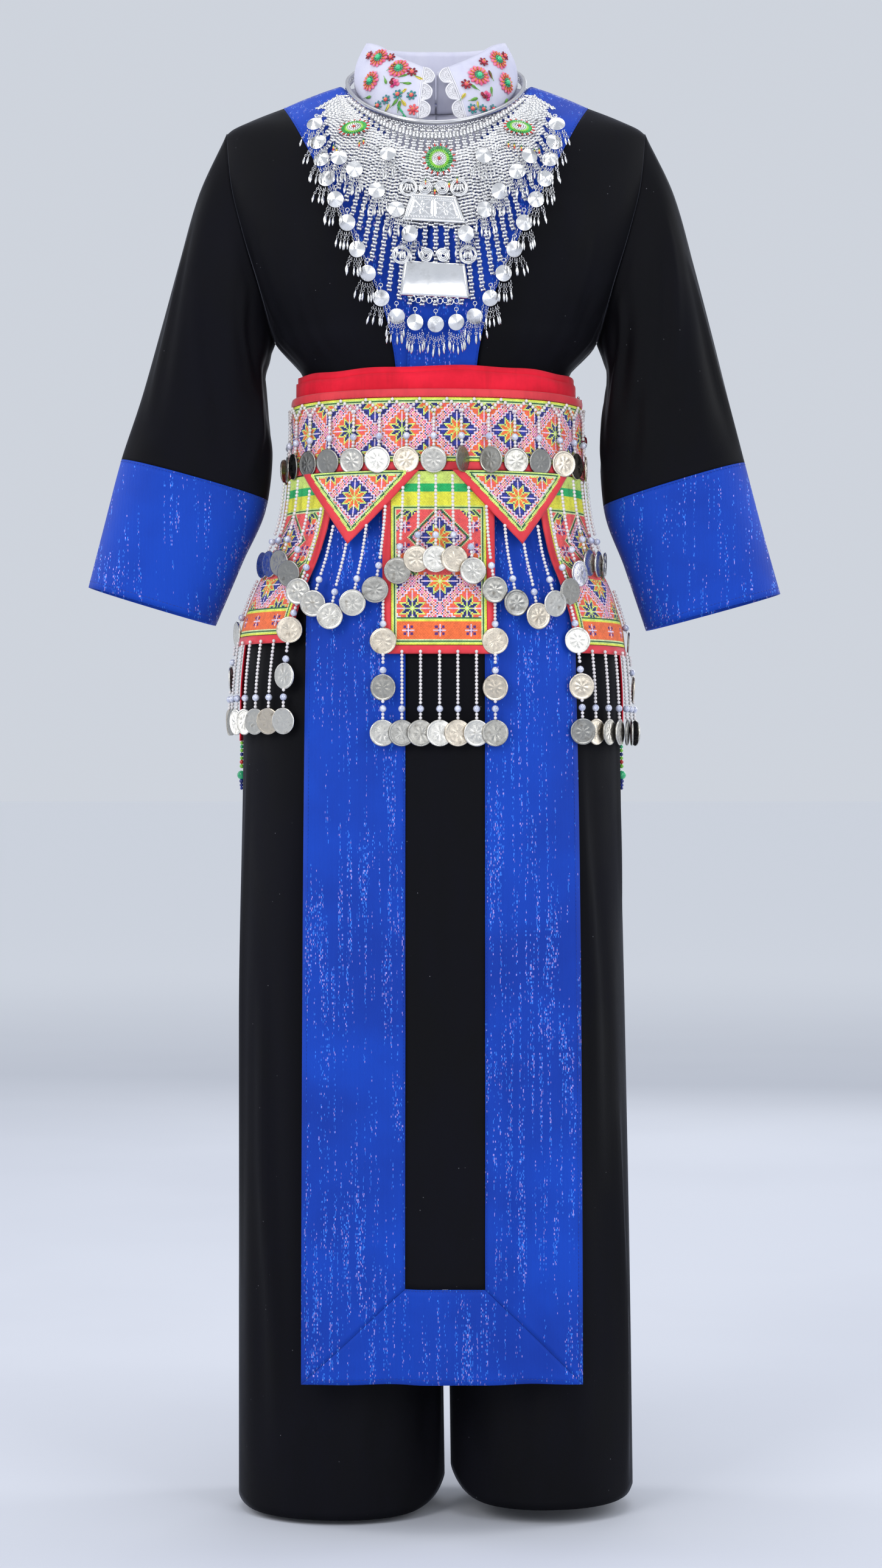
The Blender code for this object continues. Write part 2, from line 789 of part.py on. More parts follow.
def armhole_point(way, turn):
    """The armhole's edge by turn: 0 at the shoulder, 0.25 in front and 0.5 at the armpit."""
    last = ARMHOLE_ROWS - 1
    place = (turn if turn <= 0.5 else 1.0 - turn) * 2.0 * last
    index = min(int(place), last - 1)
    share = mix(PANEL_ROWS[index], PANEL_ROWS[index + 1], place - index)
    x, z = panel_side(share)
    return torso_point(way * x, z, turn > 0.5)


def sleeve_point(name, turn, along):
    """The sleeve's outer face; along is 0 at the armhole, 1 at the cuff seam and 2 at the cuff's hem."""
    way = -1.0 if name == "left" else 1.0
    turn %= 1.0
    rings = SLEEVES[name]

    def ring(at):
        outer = Vector((rings["outer_x"](at), 0.0, rings["outer_z"](at)))
        inner = Vector((rings["inner_x"](at), 0.0, rings["inner_z"](at)))
        fore, side = math.cos(turn * math.tau), math.sin(turn * math.tau)
        half = (outer - inner) / 2.0
        point = (outer + inner) / 2.0 + half * power(fore, 2.0 / SLEEVE_SQUARE)
        point.y = -rings["depth"](at) * power(side, 2.0 / SLEEVE_SQUARE)
        return point

    point = ring(max(along, 0.0))
    join = 1.0 - rise(along, 0.0, 0.40)
    if join > 0.0:
        point += (armhole_point(way, turn) - ring(0.0)) * join
    return point


def sleeve_inside(name, along):
    rings = SLEEVES[name]
    x = (rings["outer_x"](along) + rings["inner_x"](along)) / 2.0
    z = (rings["outer_z"](along) + rings["inner_z"](along)) / 2.0
    return Vector((x, 0.0, z))


def sleeve_wall(node, name, finish, down):
    way = -1.0 if name == "left" else 1.0
    around = 2 * (ARMHOLE_ROWS - 1)
    away = Vector((way * 0.975, 0.0, -0.2225))
    grid = []
    for along in down:
        row = []
        for index in range(around):
            turn = index / around
            point = sleeve_point(name, turn, along)
            if along == 0.0:
                facing = armhole_facing(point)
                point = point + away * SEAM
            else:
                def place(u, v):
                    return sleeve_point(name, u, v)

                facing = spread_normal(place, turn, along, lambda _: sleeve_inside(name, along))
                point = point + facing * fold_height(SLEEVE_FOLDS, turn, along)
            row.append((point, point - facing * CLOTH))
        grid.append(row)
    wall_of(node, grid, finish, ring=True)


def sleeves():
    for _, name in SIDES:
        sleeve_wall(f"sleeve_{name}", name, "black_velvet", (0.0, 0.10, 0.24, 0.42, 0.60, 0.80, 1.0 - CUFF_SEAM))
        sleeve_wall(f"cuff_{name}", name, "blue_glitter_cloth", (1.0 + CUFF_SEAM, 1.33, 1.66, 2.0))


def leg_point(way, back, u, v):
    """The trousers' outer face: u runs from the middle or the inside leg to the side seam."""
    hem = HEM_LEFT if way < 0.0 else HEM_RIGHT
    z = mix(TROUSER_TOP, hem, v)
    wide = HIPS["left" if way < 0.0 else "right"](z)
    deep = HIPS["back"](z) if back else -HIPS["front"](z)
    side, fore = math.sin(u * math.pi / 2.0), math.cos(u * math.pi / 2.0)
    hip_x = way * (SEAM / 2.0 + (wide - SEAM / 2.0) * power(side, 2.0 / SQUARE))
    hip_y = deep * power(fore, 2.0 / SQUARE)
    inner = LEG_SPLIT(z) + way * LEG_GAP
    outer = way * wide
    leg_x = (inner + outer) / 2.0 - (outer - inner) / 2.0 * power(math.cos(u * math.pi), 2.0 / LEG_SQUARE)
    leg_y = deep * LEG_DEPTH * power(math.sin(u * math.pi), 2.0 / LEG_SQUARE)
    legs = rise(-z, -CROTCH_START, -CROTCH)
    return Vector((mix(hip_x, leg_x, legs), mix(hip_y, leg_y, legs), z))


def trousers():
    down = (0.0, 0.07, 0.115, 0.16, 0.20, 0.24, 0.285, 0.37, 0.48, 0.62, 0.76, 0.90, 1.0)
    across = (0.0001, 0.10, 0.22, 0.35, 0.48, 0.61, 0.74, 0.87, 0.9995)
    for way, name in SIDES:
        for back, face in ((False, "front"), (True, "back")):
            def place(u, v, way=way, back=back):
                return leg_point(way, back, u, v)

            def inside(point, way=way):
                legs = rise(-point.z, -CROTCH_START, -CROTCH)
                return Vector((way * 0.095 * legs, 0.0, point.z))

            def lift(u, v, way=way, back=back):
                z = mix(TROUSER_TOP, HEM_LEFT, v)
                return fold_height(LEG_FOLDS, 1.0 - u if back else u, z)

            wall(f"trouser_leg_{name}_{face}", place, across, down, CLOTH, "black_velvet",
                 inside=inside, lift=lift)


def apron_point(run, z, out=0.0):
    """The apron's outer face, which sways a little more towards its free hem."""
    sway = 0.0035 * rise(-z, 0.60, 1.25)
    wave = math.sin(run * 46.0 + 0.6) + 0.5 * math.sin(run * 93.0 + z * 3.0)
    return at_run(APRON_LINE, run, z, out + sway * wave)


def apron_piece(name, corners, across, down, finish):
    """A four-sided apron piece from its corner runs and heights."""
    (run0, z0), (run1, z1), (run2, z2), (run3, z3) = corners

    def place(u, v):
        run = mix(mix(run0, run1, u), mix(run3, run2, u), v)
        z = mix(mix(z0, z1, u), mix(z3, z2, u), v)
        return apron_point(run, z)

    wall(name, place, across, down, FINE_CLOTH, finish)


def apron():
    half = SEAM / 2.0
    down = (0.0, 0.07, 0.12, 0.17, 0.21, 0.25, 0.32, 0.45, 0.60, 0.75, 0.88, 1.0)
    apron_piece("apron_centre", [
        (CENTRE_LEFT + half, APRON_TOP), (CENTRE_RIGHT - half, APRON_TOP),
        (CENTRE_RIGHT - half, CENTRE_BOTTOM + half), (CENTRE_LEFT + half, CENTRE_BOTTOM + half),
    ], steps(0.0, 1.0, 3), down, "black_velvet")
    apron_piece("apron_border_left", [
        (APRON_LEFT, APRON_TOP), (CENTRE_LEFT - half, APRON_TOP),
        (CENTRE_LEFT - half, CENTRE_BOTTOM), (APRON_LEFT, APRON_BOTTOM + half),
    ], steps(0.0, 1.0, 5), down, "blue_glitter_cloth")
    apron_piece("apron_border_right", [
        (CENTRE_RIGHT + half, APRON_TOP), (APRON_RIGHT, APRON_TOP),
        (APRON_RIGHT, APRON_BOTTOM + half), (CENTRE_RIGHT + half, CENTRE_BOTTOM),
    ], steps(0.0, 1.0, 5), down, "blue_glitter_cloth")
    apron_piece("apron_border_bottom", [
        (CENTRE_LEFT, CENTRE_BOTTOM - half), (CENTRE_RIGHT, CENTRE_BOTTOM - half),
        (APRON_RIGHT, APRON_BOTTOM - half), (APRON_LEFT, APRON_BOTTOM - half),
    ], steps(0.0, 1.0, 12), (0.0, 0.5, 1.0), "blue_glitter_cloth")


def sash():
    turns = (
        # name, how far in, top z, bottom z, height of the top edge's wave
        ("sash_inner_turn", -FINE_CLOTH - SEAM, SASH_TOP, SASH_BOTTOM, 0.0012),
        ("sash_outer_turn", 0.0, SASH_TOP - 0.006, SASH_BOTTOM - 0.002, 0.0020),
    )
    for name, out, top, bottom, wave in turns:
        grid = []
        for v in (0.0, 1.0):
            row = []
            for index in range(SASH_SIDES):
                angle = math.tau * index / SASH_SIDES - math.pi
                high = top + wave * math.sin(3.0 * angle + 1.0)
                z = mix(high, bottom, v)
                row.append((at_angle(SASH_LINE, angle, z, out), at_angle(SASH_LINE, angle, z, out - FINE_CLOTH)))
            grid.append(row)
        wall_of(name, grid, "red_sash_cloth", ring=True)


def sash_tails():
    """The sash's two ends, which hang at the back from under the belt and end in bead drops."""
    for way, name in SIDES:
        angle = way * math.radians(TAIL_ANGLE)

        def place(u, v, angle=angle):
            return on_flap(angle, mix(-TAIL_HALF, TAIL_HALF, u), mix(TAIL_TOP, TAIL_BOTTOM, v), TAIL_OUT)

        wall(f"sash_tail_{name}", place, steps(0.0, 1.0, 3), (0.0, 0.12, 0.24, 0.36, 0.5, 0.65, 1.0),
             FINE_CLOTH, "red_sash_cloth")
        strands = []
        for index in range(TAIL_DROPS):
            run = mix(-TAIL_HALF + 0.006, TAIL_HALF - 0.006, index / (TAIL_DROPS - 1))

            def hang(side, z, out, run=run, angle=angle):
                return on_flap(angle, run + side, z, out)

            low = TAIL_BOTTOM - TAIL_DROP
            rings = [(low + 0.022, 0.004, 0.004), (low + 0.011, 0.010, 0.006), (low, 0.004, 0.004)]
            strands.append((hang, TAIL_BOTTOM - 0.0025, rings, TAIL_OUT - FINE_CLOTH / 2.0))
        fringe(f"sash_tail_beads_{name}", strands, "bead_ends", 0.004)


def belt_run(run):
    """A point's angle on the belt by its run, which goes to the left round the back."""
    level = outline(BELT_LINE, BELT_TOP)
    half = level.run_at(math.pi)
    run = run + 2.0 * half if run < -half else run
    return level.angle_at(run)


def belt_edges():
    level = outline(BELT_LINE, BELT_TOP)
    right = level.run_at(math.radians(BELT_END_ANGLE))
    start = level.run_at(math.radians(BELT_START_ANGLE)) - 2.0 * level.run_at(math.pi)
    return start, right


def row_runs():
    """The runs along the belt of the strings on its upper edge."""
    start, end = belt_edges()
    return steps(start + ROW_MARGIN, end - ROW_MARGIN, ROW_COUNT - 1)


def belt_band():
    start, end = belt_edges()
    strips = (
        ("belt_binding_top", BELT_TOP, BELT_TOP - BINDING + SEAM / 2.0, 0.0004),
        ("belt_band", BELT_TOP - BINDING - SEAM / 2.0, BELT_BOTTOM + BINDING + SEAM / 2.0, 0.0),
        ("belt_binding_bottom", BELT_BOTTOM + BINDING - SEAM / 2.0, BELT_BOTTOM, 0.0004),
    )
    for name, top, bottom, out in strips:
        grid = []
        for z in (top, bottom):
            row = []
            for run in [start] + row_runs() + [end]:
                free = out + BELT_END_LIFT * rise(run, end - 0.05, end)
                angle = belt_run(run)
                row.append((at_angle(BELT_LINE, angle, z, free), at_angle(BELT_LINE, angle, z, free - CLOTH)))
            grid.append(row)
        wall_of(name, grid, "cross_stitch" if name == "belt_band" else "coral_binding")


def flap_wall(name, angle, outer, inner, finish, across, out=0.0):
    """A strip of flap cloth between two lines of run and height."""
    grid = []
    for first, second in zip(outer, inner):
        row = []
        for u in across:
            run, z = mix(first[0], second[0], u), mix(first[1], second[1], u)
            row.append((on_flap(angle, run, z, out), on_flap(angle, run, z, out - CLOTH)))
        grid.append(row)
    return wall_of(name, grid, finish)


def subdivide(line, count):
    """The corners of a line with even points between them."""
    points = []
    for first, second in zip(line, line[1:]):
        for index in range(count):
            share = index / count
            points.append((mix(first[0], second[0], share), mix(first[1], second[1], share)))
    points.append(line[-1])
    return points


def flap_angle(run):
    level = outline(BELT_LINE, BELT_BOTTOM)
    return level.angle_at(run)


def belt_panels():
    for name, middle, bottom in PANELS:
        angle = flap_angle(middle)
        top = BELT_BOTTOM - SEAM
        half = PANEL_HALF
        field = half - BINDING - SEAM
        rows = steps(top, bottom + BINDING, PANEL_STEPS)
        rows[-1] += SEAM
        flap_wall(f"belt_panel_{name}", angle, [(-field, z) for z in rows], [(field, z) for z in rows],
                  "cross_stitch", steps(0.0, 1.0, 4))
        outer = [(-half, top), (-half, bottom), (half, bottom), (half, top)]
        near = half - BINDING
        inner = [(-near, top), (-near, bottom + BINDING), (near, bottom + BINDING), (near, top)]
        flap_wall(f"belt_panel_binding_{name}", angle, subdivide(outer, PANEL_STEPS), subdivide(inner, PANEL_STEPS),
                  "coral_binding", (0.0, 1.0), 0.0004)


def belt_triangles():
    slope = math.hypot(TRIANGLE_HALF, BELT_BOTTOM - TRIANGLE_TIP) / TRIANGLE_HALF
    drop = BINDING * slope
    top = BELT_BOTTOM - SEAM
    for way, name in SIDES:
        angle = flap_angle(way * FLAP_PITCH)
        half = TRIANGLE_HALF
        near = half * (1.0 - drop / (top - TRIANGLE_TIP))
        outer = subdivide([(-half, top), (0.0, TRIANGLE_TIP), (half, top)], 4)
        inner = subdivide([(-near, top), (0.0, TRIANGLE_TIP + drop), (near, top)], 4)
        flap_wall(f"belt_triangle_binding_{name}", angle, outer, inner, "coral_binding", (0.0, 1.0), TRIANGLE_OUT)
        rows = (0.0, 0.25, 0.5, 0.75, 0.90)
        size = near - 3.0 * SEAM * slope
        low = TRIANGLE_TIP + drop
        left = [(-size * (1.0 - row), mix(top, low, row)) for row in rows]
        right = [(size * (1.0 - row), mix(top, low, row)) for row in rows]
        flap_wall(f"belt_triangle_{name}", angle, left, right, "cross_stitch", steps(0.0, 1.0, 4), TRIANGLE_OUT)


def fringe(name, strands, finish, strip, root_width=BEAD, from_face=False):
    """Hanging strands that stand apart below one narrow strip, which joins their roots."""
    vertices = []
    faces = []

    def square(a, b, c, d):
        faces.append((a, b, c))
        faces.append((a, c, d))

    stations = []
    for hang, root, rings, out in strands:
        for side in (-root_width / 2.0, root_width / 2.0):
            base = len(vertices)
            near, far = out - COIN_THICK / 2.0, out + COIN_THICK / 2.0
            vertices.append(hang(side, root + strip / 2.0, far))
            vertices.append(hang(side, root - strip / 2.0, far))
            vertices.append(hang(side, root - strip / 2.0, near))
            vertices.append(hang(side, root + strip / 2.0, near))
            stations.append(base)
    for index in range(len(stations) - 1):
        a, b = stations[index], stations[index + 1]
        square(a + 3, b + 3, b + 2, a + 2)
        square(a, b, b + 3, a + 3)
        between = index % 2 == 1
        if between or not from_face:
            square(a, a + 1, b + 1, b)
        if between or from_face:
            square(a + 1, a + 2, b + 2, b + 1)
    first, last = stations[0], stations[-1]
    square(first, first + 3, first + 2, first + 1)
    square(last, last + 1, last + 2, last + 3)
    for index, (hang, root, rings, out) in enumerate(strands):
        a, b = stations[2 * index], stations[2 * index + 1]
        above = (a, b, b + 1, a + 1) if from_face else (a + 1, b + 1, b + 2, a + 2)
        for ring in rings:
            z, width, thick = ring[:3]
            middle = out + (ring[3] if len(ring) > 3 else 0.0)
            base = len(vertices)
            for side, face in ((-1, 1), (1, 1), (1, -1), (-1, -1)):
                vertices.append(hang(side * width / 2.0, z, middle + face * thick / 2.0))
            below = (base, base + 1, base + 2, base + 3)
            for corner in range(4):
                after = (corner + 1) % 4
                square(above[corner], below[corner], below[after], above[after])
            above = below
        faces.append((above[0], above[3], above[2]))
        faces.append((above[0], above[2], above[1]))
    return solid(name, vertices, faces, finish)


def coin_rings(middle, out=0.0, size=COIN):
    """A string's rings down to and round its coin, an upright eight-sided plate."""
    radius = size / 2.0
    return [
        (middle + radius + 0.0008, BEAD, BEAD * 0.6, out),
        (middle + radius, 0.41 * size, COIN_THICK, out),
        (middle + 0.41 * radius, size, COIN_THICK, out),
        (middle - 0.41 * radius, size, COIN_THICK, out),
        (middle - radius, 0.41 * size, COIN_THICK, out),
    ]


def along_flap(angle, run=0.0):
    return lambda side, z, out: on_flap(angle, run + side, z, out)


def coin_row():
    """The strings that hang from the belt's upper edge, all the way round."""
    _, end = belt_edges()
    groups = {"front": [], "back": []}
    for run in row_runs():
        angle = belt_run(run)
        lift = BELT_END_LIFT * rise(run, end - 0.05, end)
        strand = (along_flap(angle), BELT_TOP - 0.004, coin_rings(ROW_COIN_Z, ROW_OUT), STRIP_OUT + lift)
        groups["front" if run > -0.215 else "back"].append(strand)
    for name, strands in groups.items():
        fringe(f"belt_coin_row_{name}", strands, "coins_and_pearls", 0.004)


def wave_coins():
    """The strings that follow the belt's lower edge and the triangles' points."""
    roots = []
    for side in (-1.0, 1.0):
        for step in range(-3, 4):
            offset = step * WAVE_PITCH
            z = mix(TRIANGLE_TIP, BELT_BOTTOM, abs(offset) / TRIANGLE_HALF)
            roots.append((side * FLAP_PITCH + offset, z - 0.001, WAVE_DROP + WAVE_MORE * min(1.0, abs(step) / 2.0)))
    for middle in (-WAVE_SIDE, 0.0, WAVE_SIDE):
        for step in (-1.0, 0.0, 1.0):
            roots.append((middle + step * WAVE_PITCH, WAVE_TOP, WAVE_DROP + WAVE_MORE))
    roots.sort()
    strands = []
    for index, (run, z, drop) in enumerate(roots):
        depth = WAVE_STAGGER * (index % 2)
        strands.append((along_flap(flap_angle(run)), z, coin_rings(z - drop, depth), WAVE_OUT))
    fringe("belt_coin_wave", strands, "coins_and_pearls", 0.003)


def panel_coins():
    """The strings on each panel's sides and lower edge."""
    for name, middle, bottom in PANELS:
        angle = flap_angle(middle)
        edge = PANEL_HALF - 0.001
        strands = []
        for index in range(7):
            run = mix(-edge, edge, index / 6)
            depth = WAVE_STAGGER * (index % 2)
            strands.append((along_flap(angle, run), bottom + 0.002, coin_rings(bottom - PANEL_DROP, depth), STRIP_OUT))
        fringe(f"belt_panel_coins_{name}", strands, "coins_and_pearls", 0.003)


def blouse_depth(share):
    """How far the blouse lies inside the jacket's surface, less towards the shoulder line."""
    return BLOUSE_DEPTH - 0.0026 * rise(share, 0.7, 1.0)


def neck_seam(angle):
    """The blouse's neck seam by the angle from the front, on the blouse's own surface."""
    front = abs(math.atan2(math.sin(angle), math.cos(angle)))
    x = NECK_HALF * math.sin(angle)
    side_z = ridge(NECK_HALF)
    if front <= math.pi / 2.0:
        z = mix(NECK_FRONT_Z, side_z, 1.0 - math.cos(front))
    else:
        z = mix(NECK_BACK_Z, side_z, 1.0 + math.cos(front))
    share = 1.0 - abs(front / (math.pi / 2.0) - 1.0)
    return torso_point(x, z, front > math.pi / 2.0, -blouse_depth(share))


def collar_fold(angle):
    front = abs(math.atan2(math.sin(angle), math.cos(angle)))
    deep = -0.060 if front <= math.pi / 2.0 else -0.051
    return Vector((0.067 * math.sin(angle), deep * math.cos(angle), FOLD_Z(math.degrees(front))))


def leaf_edge(angle):
    front = abs(math.atan2(math.sin(angle), math.cos(angle)))
    deep = -0.0855 if front <= math.pi / 2.0 else -0.071
    x = 0.0800 * math.sin(angle)
    return Vector((x, deep * math.cos(angle), LEAF_Z(math.degrees(front))))


def collar():
    def stand(u, v):
        angle = mix(-COLLAR_OPEN, -math.tau + COLLAR_OPEN, u)
        low = neck_seam(angle) + UP * COLLAR_SEAT
        return low.lerp(collar_fold(angle), 1.0 - v)

    turns = steps(0.0, math.tau, 4 * NECK_STEPS)[1:-1]
    across = [0.0] + [(turn - COLLAR_OPEN) / (math.tau - 2.0 * COLLAR_OPEN) for turn in turns] + [1.0]
    wall("collar_stand", stand, across, (0.0, 1.0), FINE_CLOTH, "white_cotton")

    def leaf(u, v):
        left = -math.radians(mix(LEAF_LEFT[0], LEAF_LEFT[1], v))
        right = math.radians(mix(LEAF_RIGHT[0], LEAF_RIGHT[1], v)) - math.tau
        angle = mix(left, right, u)
        away = Vector((math.sin(angle), -math.cos(angle), 0.0))
        high = collar_fold(angle) + away * (FINE_CLOTH + 2.0 * SEAM)
        point = high.lerp(leaf_edge(angle), v)
        return point + away * 0.004 * math.sin(math.pi * v)

    wall("collar_leaf", leaf, steps(0.0, 1.0, 24), (0.0, 0.2, 0.6, 1.0), FINE_CLOTH, "white_cotton")


def blouse():
    for way, name in SIDES:
        def neck(u, way=way):
            angle = u * math.pi / 2.0
            return way * (SEAM / 2.0 + NECK_HALF * math.sin(angle)), mix(NECK_FRONT_Z, ridge(NECK_HALF),
                                                                      1.0 - math.cos(angle))

        def low(u, way=way):
            edge = mix(BLOUSE_LOW, LAPEL_TOP, u)
            x = LAPEL["inner_x"](edge) + 0.012 * u
            z = LAPEL["inner_z"](edge) - 0.012
            return way * max(x, SEAM / 2.0), min(z, ridge(x)) if u < 1.0 else ridge(x)

        grid = []
        for v in steps(0.0, 1.0, 4):
            row = []
            for u in steps(0.0, 1.0, NECK_STEPS):
                x0, z0 = neck(u)
                x1, z1 = low(u)
                turn = mix(torso_angle(x0, z0), torso_angle(x1, z1), v)
                point = torso_at(turn, mix(z0, z1, v), -blouse_depth(u))
                row.append((point, point - torso_normal(point) * FINE_CLOTH))
            grid.append(row)
        wall_of(f"blouse_front_{name}", grid, "white_cotton")
    grid = []
    for v in (0.0, 0.5, 1.0):
        row = []
        for u in steps(-1.0, 1.0, 2 * NECK_STEPS):
            angle = math.pi - abs(u) * math.pi / 2.0
            x0 = NECK_HALF * math.sin(angle)
            z0 = mix(NECK_BACK_Z, ridge(NECK_HALF), 1.0 + math.cos(angle))
            x1, z1 = back_band_edge(abs(u), False)
            x1, z1 = x1 * 1.12, z1 - 0.014
            z1 = ridge(x1) if abs(u) == 1.0 else min(z1, ridge(x1))
            turn = mix(torso_angle(x0, z0), torso_angle(x1, z1), v)
            point = torso_at(math.copysign(math.pi - turn, u), mix(z0, z1, v), -blouse_depth(abs(u)))
            row.append((point, point - torso_normal(point) * FINE_CLOTH))
        grid.append(row)
    wall_of("blouse_back", grid, "white_cotton")


def ring_point(angle):
    """The neck ring's middle line by the angle from the front."""
    fore = math.cos(angle)
    y = -fore * (RING_FRONT if fore > 0.0 else RING_BACK)
    dip = RING_DIP * max(fore, 0.0) ** 4
    return Vector((RING_HALF * math.sin(angle), y, RING_SIDE_Z + y * RING_TILT - dip))


def neck_ring():
    vertices = []
    faces = []
    sides = 5
    angles = steps(-math.pi + RING_OPEN, math.pi - RING_OPEN, 30)
    for angle in angles:
        point = ring_point(angle)
        ahead = (ring_point(angle + 0.01) - ring_point(angle - 0.01)).normalized()
        away = Vector((math.sin(angle), -math.cos(angle), 0.0))
        away = (away - ahead * away.dot(ahead)).normalized()
        up = ahead.cross(away)
        for side in range(sides):
            turn = math.tau * side / sides
            vertices.append(point + (away * math.cos(turn) + up * math.sin(turn)) * RING_TUBE)
    for index in range(len(angles) - 1):
        for side in range(sides):
            a = index * sides + side
            b = index * sides + (side + 1) % sides
            faces.append((a, b, b + sides))
            faces.append((a, b + sides, a + sides))
    faces.append(tuple(reversed(range(sides))))
    faces.append(tuple(range(len(vertices) - sides, len(vertices))))
    solid("neck_ring", vertices, faces, "silver")


def bib_flat(spoke, out):
    """The bib's x and z at a spoke, -1 to 1 from left to right, and a share of the way to its edge."""
    angle = math.radians(BIB_SPREAD) * spoke
    start = ring_point(angle)
    share = abs(spoke)
    x0, z0 = start.x * 1.05, start.z - mix(0.0075, 0.0085, share)
    x1 = math.copysign(BIB_EDGE["x"](share), spoke)
    z1 = BIB_EDGE["z"](share)
    return mix(x0, x1, out), mix(z0, z1, out)


def bib_point(spoke, share, out=0.0):
    x, z = bib_flat(spoke, share)
    return torso_point(x, z, out=mix(BIB_OUT_TOP, BIB_OUT, rise(share, 0.0, 0.25)) + out)


def on_chest(x, z, out=0.0):
    return torso_point(x, z, out=BIB_OUT + out)


def bib():
    grid = []
    for share in (0.0, 0.14, 0.4, 0.7, 1.0):
        row = []
        for spoke in steps(-1.0, 1.0, 22):
            point = bib_point(spoke, share)
            row.append((point, point - torso_normal(point) * BIB_THICK))
        grid.append(row)
    wall_of("necklace_bib", grid, "silver")


def lock_plates():
    for name, top, bottom, top_half, bottom_half, middle, seat in PLATES:
        grid = []
        for v in (0.0, 1.0):
            z = mix(top, bottom, v)
            half = mix(top_half, bottom_half, v)
            row = []
            for u in steps(-1.0, 1.0, 4):
                outer = on_chest(middle + half * u, z, PLATE_THICK + seat)
                inner = on_chest(middle + half * u, z, seat)
                row.append((outer, inner))
            grid.append(row)
        wall_of(name, grid, "silver")


def rosettes():
    for name, x, z, wide, tall, seat in ROSETTES:
        vertices = []
        faces = []
        levels = ((1.0, seat), (1.0, seat + 0.0012), (0.55, seat + 0.0024))
        sides = 14
        for scale, out in levels:
            for side in range(sides):
                turn = math.tau * side / sides
                vertices.append(on_chest(x + wide * scale * math.cos(turn), z + tall * scale * math.sin(turn), out))
        for level in range(len(levels) - 1):
            for side in range(sides):
                a = level * sides + side
                b = level * sides + (side + 1) % sides
                faces.append((a, b, b + sides))
                faces.append((a, b + sides, a + sides))
        low, high = len(vertices), len(vertices) + 1
        vertices.append(on_chest(x, z, seat))
        vertices.append(on_chest(x, z, seat + 0.0028))
        top = (len(levels) - 1) * sides
        for side in range(sides):
            after = (side + 1) % sides
            faces.append((after, side, low))
            faces.append((top + side, top + after, high))
        solid(name, vertices, faces, "rosette_enamel")


def pendant_rings(root):
    """A pendant's rings, each further out the lower it hangs, so that it lies over the next."""
    middle = root - 0.006 - DISC / 2.0
    radius = DISC / 2.0
    levels = (
        (middle + radius, 0.40 * DISC),
        (middle + 0.4 * radius, DISC),
        (middle - 0.4 * radius, DISC),
        (middle - radius - 0.003, 0.90 * DISC),
        (middle - radius - 0.021, 0.70 * DISC),
    )
    return [(z, wide, COIN_THICK, PENDANT_OUT + PENDANT_SLOPE * (root - z)) for z, wide in levels]


def pendants():
    """The pendants on the bib's lower edge, and a shorter row on each side of its middle."""
    groups = {
        "outer": [(-spoke, 1.0) for spoke in reversed(OUTER_SPOKES)] + [(0.0, 1.0)],
        "left": [(-spoke, INNER_SHARE) for spoke in reversed(INNER_SPOKES)],
        "right": [(spoke, INNER_SHARE) for spoke in INNER_SPOKES],
    }
    groups["outer"] += [(spoke, 1.0) for spoke in OUTER_SPOKES]
    for name, places in groups.items():
        strands = []
        for spoke, share in places:
            x, z = bib_flat(spoke, share)

            def hang(side, height, away, x=x):
                return on_chest(x + side, height, away)

            strands.append((hang, z, pendant_rings(z), PENDANT_SEAT))
        fringe(f"pendants_{name}", strands, "silver", 0.003, PENDANT_LINK, True)


def main():
    clear_scene()
    trousers()
    jacket_fronts()
    jacket_back()
    lapels()
    back_neck_band()
    sleeves()
    apron()
    sash()
    sash_tails()
    belt_band()
    belt_panels()
    belt_triangles()
    coin_row()
    wave_coins()
    panel_coins()
    collar()
    blouse()
    neck_ring()
    bib()
    lock_plates()
    rosettes()
    pendants()


if __name__ == "__main__":
    main()
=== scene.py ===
"""The looks of a worn costume: velvet jacket and trousers, apron, sash, coin belt and silver necklace.

Metres, +Z up. The costume faces -Y and hangs from the shoulders, which are the origin.
Left and right are as seen from the front: left is -X.
"""
import json
from bisect import bisect_right
from math import asin, atan2, copysign, cos, degrees, exp, hypot, pi, radians, sin, sqrt, tau
from random import Random

import bpy
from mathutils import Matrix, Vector

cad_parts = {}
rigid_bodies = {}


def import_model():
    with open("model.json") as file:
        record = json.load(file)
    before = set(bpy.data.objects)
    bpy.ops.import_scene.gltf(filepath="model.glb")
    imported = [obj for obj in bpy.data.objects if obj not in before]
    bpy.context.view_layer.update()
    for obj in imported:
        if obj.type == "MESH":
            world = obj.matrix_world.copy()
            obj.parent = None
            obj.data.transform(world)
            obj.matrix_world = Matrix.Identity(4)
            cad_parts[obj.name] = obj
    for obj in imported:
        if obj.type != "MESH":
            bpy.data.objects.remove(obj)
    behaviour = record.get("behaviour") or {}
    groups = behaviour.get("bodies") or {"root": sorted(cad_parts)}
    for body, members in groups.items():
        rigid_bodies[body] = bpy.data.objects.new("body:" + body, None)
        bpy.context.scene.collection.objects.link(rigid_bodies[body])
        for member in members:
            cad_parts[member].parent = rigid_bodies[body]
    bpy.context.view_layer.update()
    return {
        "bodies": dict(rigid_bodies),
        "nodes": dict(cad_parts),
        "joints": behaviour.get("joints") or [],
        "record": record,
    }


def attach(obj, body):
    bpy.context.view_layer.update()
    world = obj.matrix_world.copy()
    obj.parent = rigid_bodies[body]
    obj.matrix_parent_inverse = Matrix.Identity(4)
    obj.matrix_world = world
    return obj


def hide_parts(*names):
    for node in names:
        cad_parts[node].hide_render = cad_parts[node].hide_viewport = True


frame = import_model()

